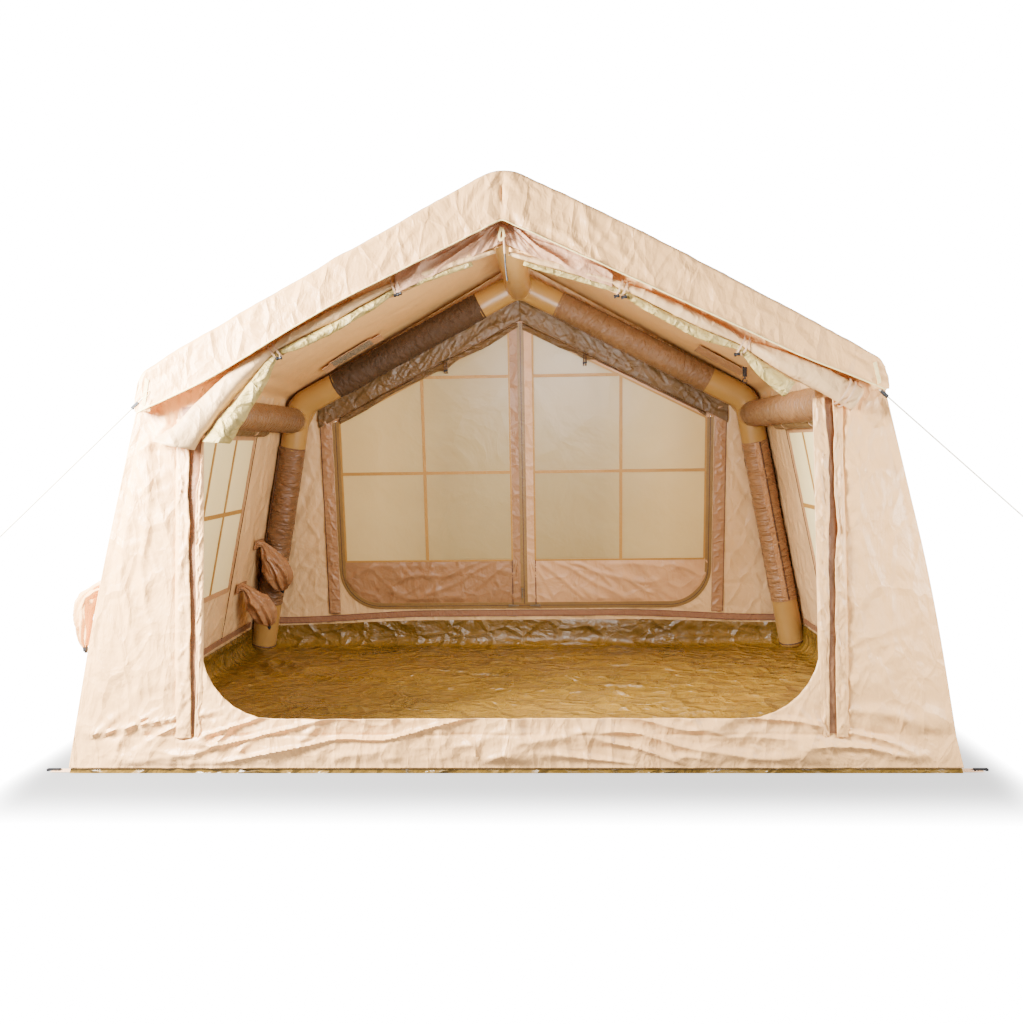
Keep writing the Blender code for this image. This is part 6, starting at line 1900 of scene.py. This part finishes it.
corner_turns = np.linspace(0, pi / 2, 14)
width, sill = REAR_DOOR_HALF_WIDTH, REAR_DOOR_SILL_Z
right_run = [
    (
        width - REAR_DOOR_CORNER + REAR_DOOR_CORNER * sin(turn),
        sill + REAR_DOOR_CORNER - REAR_DOOR_CORNER * cos(turn),
    )
    for turn in corner_turns
]
top = float(rear_door_top(width)) - 0.02
tape_outline = [(-width, top)] + [(-x, z) for x, z in right_run[::-1]] + right_run + [(width, top)]
tape_outline = np.array(tape_outline)
tape_fine = along_path(tape_outline, np.linspace(0, 1, 260))
tape_line = on_rear_inside(tape_fine[:, 0], tape_fine[:, 1], 0.0003)
inward = unit(
    on_end(REAR, np.array([0.0]), np.array([0.5]), -0.01)[0]
    - on_end(REAR, np.array([0.0]), np.array([0.5]), 0.0)[0]
)
piece(
    "rear_zip_tape_cloth", [band(tape_line, inward, REAR_TAPE_WIDTH, 0.0018, 0.012)], [OLIVE],
    stands_for=["rear_door_zip_tape"],
)
teeth_line = on_rear_inside(tape_fine[:, 0], tape_fine[:, 1], 0.0018)
piece("rear_zip_teeth", [band(teeth_line, inward, 0.004, 0.0014, 0.012)], [DARK])

strips, seams = [], []
for side in (LEFT, RIGHT):

    def strip_shape(u, v, side=side):
        x = STRIP_NEAR_X + (STRIP_FAR_X - STRIP_NEAR_X) * u
        z = 0.19 + (1.28 - 0.19) * v
        gather = 0.006 * creases(z * 30 + 1.2 * drift(x * 20, z * 6, 161), x * 14, 162 + side)
        gather += 0.003 * creases(z * 62, x * 40, 163)
        return on_rear_inside(side * x, z, 0.0006 + gather * np.sin(pi * u))

    strips.append(grid_mesh(16, 260, strip_shape, (0.062, 1.09), flip=side == LEFT))
    line = on_rear_inside(side * np.full(60, STRIP_FAR_X), np.linspace(0.19, 1.28, 60), 0.0002)
    seams.append(band(line, inward, 0.004, 0.002, 0.01))
    x = np.linspace(0, REAR_DOOR_HALF_WIDTH + 0.03, 80)
    strips.append(
        band(on_rear_inside(side * x, rear_door_top(x) + 0.006, 0.0002), inward, 0.034, 0.0022, 0.014)
    )
strip_piece = piece("rear_wall_strips", strips, [STRIP])
doubled(strip_piece, 0.0008)
hem_x = np.linspace(-1.38, 1.38, 120)
hem_z = HEM_Z - HEM_SAG * ramp(np.abs(hem_x), 0.5, 1.3)
hems = [band(on_rear_inside(hem_x, hem_z, 0.0002), inward, 0.036, 0.0022, 0.02)]
for shift in (-0.015, 0.015):
    seams.append(band(on_rear_inside(hem_x, hem_z + shift, 0.001), inward, 0.003, 0.0016, 0.02))
for side in (LEFT, RIGHT):
    y = np.linspace(-0.88, 0.9, 90)
    z = 0.157 + 0.003 * drift(y * 5, 0 * y, 165)
    out = unit(
        on_side(side, np.array([0.0]), np.array([0.5]), -0.01)[0]
        - on_side(side, np.array([0.0]), np.array([0.5]), 0.0)[0]
    )
    hems.append(band(on_side(side, y, z, -FABRIC - 0.0002), out, 0.032, 0.0022, 0.02))
piece("rear_wall_hem", hems, [HEM])
piece("rear_wall_seams", seams, [DARK])

TOGGLE_X = {LEFT: 0.385, RIGHT: 0.33}
CURTAIN_LIFT = {LEFT: 0.0, RIGHT: 0.028}
for side, word in ((LEFT, "left"), (RIGHT, "right")):

    # A brown cover on the rear wall above each leaf, of curtain cloth; it is also painted shade, for the
    # rafter sleeve's shadow on the wall there.
    def gable_shade_cover_shape(u, v, side=side):
        x = (REAR_DOOR_HALF_WIDTH + 0.09) * v
        z = rear_door_top(x) - 0.004 + 0.17 * u
        bend = 0.8 * drift(x * 6, u * 3, 176 + side)
        bunch = 0.010 * creases(u * 3 + bend, x * 4, 177) + 0.006 * creases(x * 24 + u * 4, u * 3, 178 + side)
        return on_rear_inside(side * x, z, 0.003 + bunch * np.sin(pi * np.clip(u * 1.3 + 0.04, 0, 1)))

    gable = piece(
        f"rear_{word}_gable_shade_cover", [grid_mesh(24, 200, gable_shade_cover_shape, (0.17, 1.1), flip=side == RIGHT)],
        [CURTAIN],
    )
    doubled(gable, 0.0007)
    body = f"rear_{word}_leaf"

    def curtain_shape(u, v, side=side):
        x = 0.012 + (0.955 - 0.012) * v
        scallop = 0.012 * drift(x * 6, 0 * x, 171 + side)
        pinch = near(x, TOGGLE_X[side], 0.035)
        high = rear_door_top(x) - CURTAIN_HIGH
        low = (
            pane_top(x) - 0.004 + CURTAIN_LIFT[side] * ramp(x, 0.2, 0.35) * ramp(0 - x, -0.95, -0.85)
            + scallop
        )
        low = np.minimum(low - 0.02 * pinch, high - 0.012)
        z = high + (low - high) * u
        bunch = 0.009 * creases((u * 1.6 + 0.7 * drift(x * 5, u * 2, 172)), x * 3.2, 173 + side)
        bunch += 0.006 * creases(x * 21 + u * 3, u * 2.4, 174) * (1 - u * 0.5)
        belly = 0.010 * np.sin(pi * np.clip(u * 1.15, 0, 1)) + 0.014 * pinch
        return on_rear_inside(side * x, z, 0.004 + belly + bunch)

    curtain = piece(
        f"rear_{word}_curtain", [grid_mesh(30, 180, curtain_shape, (0.2, 1.05), flip=side == LEFT)],
        [CURTAIN], body=body,
    )
    doubled(curtain, 0.0007)
    loops, toggles = [], []
    x = TOGGLE_X[side]
    high = float(rear_door_top(x)) - 0.012
    for shift in (-0.006, 0.006):
        turns = np.linspace(-0.4, pi + 0.4, 16)
        depth = 0.012 + 0.032 * np.sin(np.clip(turns, 0, pi))
        ring = on_rear_inside(side * (x + shift) + 0 * turns, high - 0.03 + 0.03 * np.cos(turns), depth)
        loops.append(tube(ring, 0.003, 0.004, 8))
    spot = on_rear_inside(np.array([side * x]), np.array([high - 0.045]), 0.045)[0]
    toggles.append(tube([spot - [0.011, 0, 0.003], spot + [0.011, 0, 0.003]], 0.0045, 0.003, 10))
    piece(f"rear_{word}_curtain_loops", loops, [DARK], body=body)
    piece(f"rear_{word}_curtain_toggle", toggles, [PLASTIC], body=body)

# %% [markdown]
# The valance's hem is bound in pale piping, a taped seam runs down each front eave corner to the guyline's
# loop, and at the peak a loop of cord hangs beside the two zips' ends.

# %% Trim on the valance
def valance_line(end, low, high, rise, lift, count=200):
    x = np.linspace(low, high, count)
    z = valance_z(x) + rise
    out = valance_folds(end, x, z)
    return np.stack([x, end * (end_y(z) + ROOF_OVERHANG + out + lift), z], axis=-1)


piping = []
for end in (FRONT, REAR):
    edge = side_x(SKIRT_CORNER_Z) - 0.01
    line = valance_line(end, -edge, edge, 0.0, -0.0005)
    piping.append(tube(line, 0.0028, 0.008, 8))
piece("valance_piping", piping, [PIPING])
tapes, loops = [], []
for side in (LEFT, RIGHT):
    for end in (FRONT, REAR):
        z = np.linspace(1.285, 1.345, 20)
        x = side * (side_x(z) - 0.028)
        spots = np.stack(
            [x, end * (end_y(z) + ROOF_OVERHANG + valance_folds(end, x, z) + 0.0012), z], axis=-1
        )
        tapes.append(band(spots, (0, end, 0), 0.012, 0.0016, 0.004))
for side in (LEFT, RIGHT):
    start = guy_ends(side)[0]
    down = unit(guy_ends(side)[1] - start)
    turns = np.linspace(0, tau, 24)
    aside = np.cross(down, (0, 1, 0))
    loops.append(
        tube(
            [
                start - down * 0.012 + down * 0.012 * cos(turn) * -1 + aside * 0.006 * sin(turn)
                for turn in turns
            ],
            0.0016, 0.002, 8,
        )
    )
piece("eave_corner_tapes", tapes, [PIPING])
piece("guy_loops", loops, [PIPING])

peak_y = -(float(end_y(1.8)) + 0.03)
loop = [
    (-0.004, peak_y, 1.83), (-0.012, peak_y - 0.004, 1.80), (-0.006, peak_y - 0.006, 1.785),
    (0.004, peak_y - 0.004, 1.80), (0.0, peak_y, 1.828),
]
zip_top = [(0.004, peak_y + 0.012, 1.80), (0.006, peak_y + 0.008, 1.76), (0.007, peak_y + 0.006, 1.742)]
pull = [(0.007, peak_y + 0.006, 1.742), (0.0085, peak_y + 0.01, 1.70), (0.014, peak_y + 0.012, 1.652)]
piece("peak_loop", [band(smooth(loop, 8), (0, -1, 0), 0.008, 0.0014, 0.003)], [PIPING])
piece("peak_zip_ends", [tube(smooth(zip_top, 6), 0.0042, 0.004, 10)], [WEBBING])
piece("peak_zip_cord", [tube(smooth(pull, 6), 0.0026, 0.004, 8)], [PLASTIC])

# %% [markdown]
# Under the roof are a mesh vent framed in brown tape, the brown flap over the other vent and a webbing
# strap for a lamp. The vent and the flap hang a little lower at their rear edges, so both show from in
# front.

# %% Vent, flap and strap
VENT_START_X, VENT_END_X, VENT_Y, VENT_WIDTH, VENT_DROP = 0.73, 0.935, 0.635, 0.085, 0.014
FLAP_START_X, FLAP_END_X, FLAP_HINGE_Y, FLAP_WIDTH, FLAP_DROP = 0.86, 1.08, 0.4625, 0.135, 0.014


def under_roof(x, y, depth):
    """Points below the roof's inner face, at a depth from it."""
    k = hypot(1, ROOF_FALL)
    down = FABRIC + depth
    return np.stack([x - np.sign(x) * down * ROOF_FALL / k, y + 0 * x, roof_z(x) - down / k], axis=-1)


def vent_grille(u, v):
    x = -(VENT_START_X + 0.004 + (VENT_END_X - VENT_START_X - 0.008) * v)
    y = VENT_Y + (VENT_WIDTH - 0.008) * (u - 0.5)
    slats = 0.0009 * np.cos(v * 34 * pi)
    return under_roof(x, y, 0.0022 + VENT_DROP * u + slats)


vent = piece(
    "left_vent_grille", [grid_mesh(10, 220, vent_grille, (0.055, 0.24))], [GRILLE],
    stands_for=["left_roof_vent"],
)
doubled(vent, 0.0006)
corners = [(VENT_START_X, -1), (VENT_END_X, -1), (VENT_END_X, 1), (VENT_START_X, 1)]
rim = []
for start, end in zip(corners, corners[1:] + corners[:1]):
    x = -np.linspace(start[0], end[0], 20)
    row = np.linspace(start[1], end[1], 20)
    y = VENT_Y + row * VENT_WIDTH / 2
    rim.append(
        band(
            under_roof(x, y, 0.0012 + VENT_DROP * (row + 1) / 2), unit(np.array([ROOF_FALL, 0, -1.0])),
            0.011, 0.0024, 0.008,
        )
    )
for x_low, x_high, share in (
    (VENT_START_X - 0.045, VENT_START_X, 0.7), (VENT_END_X, VENT_END_X + 0.045, 0.8)
):
    x = -np.linspace(x_low, x_high, 12)
    depth = 0.0012 + VENT_DROP * share
    rim.append(
        band(
            under_roof(x, VENT_Y + 0.012 + 0 * x, depth), unit(np.array([ROOF_FALL, -0.25, -1.0])), 0.075,
            0.003, 0.006,
        )
    )
piece("left_vent_rim", rim, [BINDING])


def flap_shape(u, v):
    x = FLAP_START_X + (FLAP_END_X - FLAP_START_X) * v
    y = FLAP_HINGE_Y + FLAP_WIDTH * u
    puff = 0.0015 * creases(v * 5 + u, u * 3, 181) + 0.002 * np.sin(pi * u) * np.sin(pi * v)
    return under_roof(x, y, 0.001 + FLAP_DROP * u + puff)


flap = piece(
    "right_vent_flap_cloth", [grid_mesh(30, 70, flap_shape, (0.075, 0.22), flip=True)], [STRIP],
    body="vent_flap", stands_for=["right_vent_flap"],
)
doubled(flap, 0.0012)
STRAP_X, STRAP_Y, STRAP_LENGTH = 1.05, 0.36, 0.045
strap_top_z = float(roof_z(STRAP_X + 0.01)) - (FABRIC + GAP) * hypot(1, ROOF_FALL)
sides = []
for shift in (-1, 1):
    x = STRAP_X + shift * 0.0068
    line = [
        (x, STRAP_Y, strap_top_z + (0.002 if shift < 0 else -0.002)),
        (x, STRAP_Y, strap_top_z - STRAP_LENGTH),
    ]
    sides.append(band(line, (0, -1, 0), 0.0066, 0.001, 0.005, sunk=0.001))
for low, high in ((-0.0315, 0.002), (-STRAP_LENGTH, -0.0405)):
    line = [(STRAP_X, STRAP_Y, strap_top_z + high - 0.004), (STRAP_X, STRAP_Y, strap_top_z + low)]
    sides.append(band(line, (0, -1, 0), 0.0132, 0.001, 0.004, sunk=0.001))
piece("lamp_strap_webbing", sides, [STRAP], stands_for=["lamp_strap"])

# %% [markdown]
# A cable port is a sleeve of cloth sewn to a patch on the wall and drawn shut by a cord lock. Rings run from
# the flat mouth to the drawn end, and the skin between them gets pleats that fan out from both ends. Each
# row below gives how far a ring stands off the wall, its setback from the corner, its height and two radii.

# %% Cable ports
PATCH_WIDTH, PATCH_HEIGHT = 0.15, 0.05
PORT_MOUTH_RADIUS, PORT_MOUTH_HALF_WIDTH = 0.019, 0.055
CABLE_PORTS = {
    "upper": (True, REAR, (0.205, 0.6), (
        (0.035, 0.206, 0.59, 0.024, 0.045),
        (0.075, 0.207, 0.53, 0.032, 0.036),
        (0.128, 0.2, 0.45, 0.034, 0.034),
        (0.15, 0.183, 0.385, 0.025, 0.025),
        (0.157, 0.167, 0.35, 0.008, 0.008),
    )),
    "lower": (True, REAR, (0.406, 0.4), (
        (0.035, 0.407, 0.39, 0.024, 0.05),
        (0.08, 0.398, 0.335, 0.033, 0.042),
        (0.13, 0.38, 0.27, 0.034, 0.034),
        (0.155, 0.361, 0.22, 0.024, 0.024),
        (0.163, 0.354, 0.19, 0.008, 0.008),
    )),
    "outer": (False, FRONT, (0.102, 0.62), (
        (0.035, 0.103, 0.61, 0.024, 0.05),
        (0.08, 0.104, 0.56, 0.034, 0.042),
        (0.09, 0.102, 0.49, 0.034, 0.036),
        (0.085, 0.102, 0.435, 0.022, 0.024),
        (0.075, 0.101, 0.405, 0.008, 0.008),
    )),
}
PORT_FULLNESS = {"upper": 1.7, "lower": 1.6, "outer": 0.9}
PORT_FILL = (-0.5, 0.7, 1.15, 1.05, 0)


def port_sleeve(inside, end, mouth, places, seed, fullness):
    """The crumpled sleeve: rings from the flat mouth to the drawn end, with pleats that fan from both."""
    away = -1 if inside else 1
    y = end * (float(end_y(mouth[1])) - mouth[0])
    start = on_side(LEFT, np.array([y]), np.array([mouth[1]]), -FABRIC - 0.002 if inside else 0.002)[0]
    rings = [(*start, PORT_MOUTH_RADIUS, PORT_MOUTH_HALF_WIDTH)]
    for (far, setback, z, radius, width), fill in zip(places, PORT_FILL):
        full = 1 + (fullness - 1) * fill
        rings.append(
            (
                -(float(side_x(z)) + away * far), end * (float(end_y(z)) - setback), z, radius * full,
                width * full,
            )
        )
    fine = smooth(rings, 10)
    steps = np.concatenate([[0], np.cumsum(np.linalg.norm(np.diff(fine[:, :3], axis=0), axis=1))])
    length = float(steps[-1])
    steps = steps / length

    def at(v, axis):
        return np.interp(v, steps, fine[:, axis])

    def shape(u, v):
        centre = np.stack([at(v, axis) for axis in (0, 1, 2)], axis=-1)
        back, ahead = np.maximum(v - 0.03, 0), np.minimum(v + 0.03, 1)
        along = unit(np.stack([at(ahead, axis) - at(back, axis) for axis in (0, 1, 2)], axis=-1))
        side_way = unit(np.array([0.0, 1.0, 0.0]) - along[:, 1:2] * along)
        up_way = np.cross(along, side_way)
        turn = u * tau
        tight = 0.45 + 0.8 * near(v, 0, 0.3) + 1.2 * near(v, 1, 0.3)
        pleats = 0.14 * tight * np.cos(turn * 8 + 2 * drift(v * 3, 0 * v, seed))
        crush = (
            0.3 * creases(turn / tau * 9 + v * 1.5, v * 1.4, seed + 1)
            + 0.1 * creases(turn / tau * 17, v * 5, seed + 2)
        )
        crush = crush - 0.18
        lumps = 0.16 * drift(turn / tau * 4, v * 4, seed + 3) * np.cos(0.5 * turn)
        grow = 1 + pleats + (crush + lumps) * np.sin(pi * np.clip(v, 0.02, 0.98)) ** 0.5
        radius, width = at(v, 3) * grow, at(v, 4) * grow
        return centre + side_way * (width * np.cos(turn))[:, None] + up_way * (radius * np.sin(turn))[:, None]

    return grid_mesh(96, 90, shape, (0.25, length), around=True, capped=True), fine[-1][:3], unit(
        fine[-1][:3] - fine[-3][:3]
    ), y


for number, (word, (inside, end, mouth, places)) in enumerate(CABLE_PORTS.items()):
    mesh, tip, along, y = port_sleeve(inside, end, mouth, places, 191 + 5 * number, PORT_FULLNESS[word])

    def patch_shape(u, v, inside=inside, y=y, z=mouth[1]):
        depth = -FABRIC - 0.0022 if inside else 0.0022
        across = y + PATCH_WIDTH * (u - 0.5)
        high = z + PATCH_HEIGHT * (v - 0.5)
        fray = 0.0008 * drift(u * 9, v * 7, 201)
        return on_side(LEFT, across, high, depth + fray)

    patch = grid_mesh(30, 12, patch_shape, (PATCH_WIDTH, PATCH_HEIGHT), flip=inside)
    cloth = PORT if inside else CREAM
    name = f"{word}_port"
    piece(
        f"{name}_sleeve", [mesh], [cloth],
        stands_for=[f"{word}_cable_port"], sharp=75,
    )
    patch_piece = piece(f"{name}_patch", [patch], [cloth])
    doubled(patch_piece, 0.0016)
    root = tip - along * 0.010
    lock = []
    for start, finish_at, radius in ((0.0, 0.024, 0.009), (0.0035, 0.0065, 0.0096), (0.0175, 0.0205, 0.0096)):
        lock.append(
            tube(
                [root + along * start, root + along * finish_at], lambda v,
                radius=radius: radius * (1 - 0.12 * near(v, 0, 0.06) - 0.12 * near(v, 1, 0.06)), 0.0012,
                24,
            )
        )
    piece(f"{name}_lock", lock, [PLASTIC])

# %% [markdown]
# At each corner of the tub a short webbing tab reaches out along the ground, and a peg hook holds it.

# %% Corner tabs
tabs = []
for side in (LEFT, RIGHT):
    for end in (FRONT, REAR):
        y = end * 1.02
        for shift in (-0.0125, 0.0125):
            line = [(side * 1.485, y + shift, 0.0007), (side * 1.56, y + shift, 0.0007)]
            tabs.append(band(line, (0, 0, 1), 0.011, 0.0016, 0.006, sunk=0.0003))
        for start, finish_at in ((1.485, 1.535), (1.551, 1.567)):
            line = [(side * start, y, 0.0008), (side * finish_at, y, 0.0008)]
            tabs.append(band(line, (0, 0, 1), 0.034, 0.0018, 0.006, sunk=0.0003))
piece("corner_tabs", tabs, [WEBBING])

# %% [markdown]
# The small hardware keeps its CAD solids: the zip sliders are cast metal, and the hooks, runners, lock
# buttons and valve are moulded black plastic. A solid that is right needs no new mesh, only a finish in its
# own slot, and the record says which finish each solid has.

# %% Hardware finishes
HARDWARE_FINISHES = {"black_plastic": PLASTIC, "zip_metal": METAL}
hardware = [row for row in frame["record"]["subparts"] if row["material_slot"] in HARDWARE_FINISHES]
for row in hardware:
    for slot in nodes[row["node"]].material_slots:
        slot.material = HARDWARE_FINISHES[row["material_slot"]]
print("hardware:", len(hardware), "solids with a finish")

# %% [markdown]
# The two guylines pull the front eave corners outwards, and the air in the beams pushes the roof up between
# them. So near the front the outer cloth stands a little wider and higher than its flat planes: most at the
# eaves, less towards the ground, and nothing from about 0.6 m back. The right corner gives more, and the
# left half of the valance sags more. A field of shifts is applied to all the pieces that meet there, so they
# stay together.

# %% The guylines' pull on the front of the outer cloth
PULL = {LEFT: 0.028, RIGHT: 0.038}
PULL_LOW_Z = {LEFT: 0.02, RIGHT: 0.12}
PULL_FULL_Z = 0.8
ROOF_PULL = {LEFT: 0.018, RIGHT: 0.031}
VALANCE_SAG = {LEFT: 0.046, RIGHT: 0.008}
ROOF_PUFF = {LEFT: (0.004, 0.008), RIGHT: (0.009, 0.016)}
PULLED_WALLS = [
    "front_wall_cloth", "left_wall_cloth", "right_wall_cloth", "corner_seams",
    "front_left_zip_flaps", "front_right_zip_flaps",
]
PULLED_PORT = ["outer_port_sleeve", "outer_port_patch"]
PULLED_ROOF = ["roof_canopy", "valance_piping", "eave_corner_tapes", "peak_loop", "peak_zip_ends"]


def by_side(sizes, x):
    return np.where(x < 0, sizes[LEFT], sizes[RIGHT])


def pull_walls(x, y, z, low=None):
    far = np.abs(x)
    climb = np.clip((z - by_side(PULL_LOW_Z, x)) / (PULL_FULL_Z - by_side(PULL_LOW_Z, x)), 0, 1)
    climb = climb * (1.5 - 0.5 * climb * climb)
    ahead = ramp(0 - y, 0.45, 0.85)
    outer = np.clip((far - 1.13) / np.maximum(side_x(z) - 1.13, 0.02), 0, 1)
    size = by_side(PULL, x) * climb * ahead * outer
    if low is not None:
        size = size * ramp(z, *low)
    return x + np.sign(x) * size, z


def pull_roof(x, y, z):
    share = np.clip(np.abs(x) / EAVE_HALF_WIDTH, 0, 1)
    ahead = ramp(0 - y, 0.35, 0.85)
    middle = np.where(
        x < 0, ROOF_PUFF[LEFT][0], ROOF_PUFF[RIGHT][0] * share + ROOF_PUFF[LEFT][0] * (1 - share)
    )
    slope = by_side({LEFT: ROOF_PUFF[LEFT][1], RIGHT: ROOF_PUFF[RIGHT][1]}, x)
    high = np.clip((z - valance_z(x)) / np.maximum(roof_z(x) - valance_z(x), 0.02), 0, 1)
    corner = ramp(np.abs(x), 0.95, 1.19)
    width = by_side(ROOF_PULL, x) * share * ahead * np.maximum(high, corner)
    sag = by_side(VALANCE_SAG, x) * ramp(np.abs(x), 0.5, 1.1) * (1 - high)
    return x + np.sign(x) * width, z + ahead * (high * (middle + slope * np.sin(pi * share)) - sag)


def pull(names, field):
    for name in names:
        mesh = bpy.data.objects[name].data
        places = np.empty(len(mesh.vertices) * 3)
        mesh.vertices.foreach_get("co", places)
        places = places.reshape(-1, 3)
        x, y, z = places.T.copy()
        places[:, 0], places[:, 2] = field(x, y, z)
        mesh.vertices.foreach_set("co", places.ravel())
        mesh.update()


pull(PULLED_WALLS, pull_walls)
pull(PULLED_PORT, lambda x, y, z: pull_walls(x, y, z, (0.42, 0.6)))
pull(PULLED_ROOF, pull_roof)
print("pulled:", len(PULLED_WALLS + PULLED_PORT + PULLED_ROOF), "pieces")
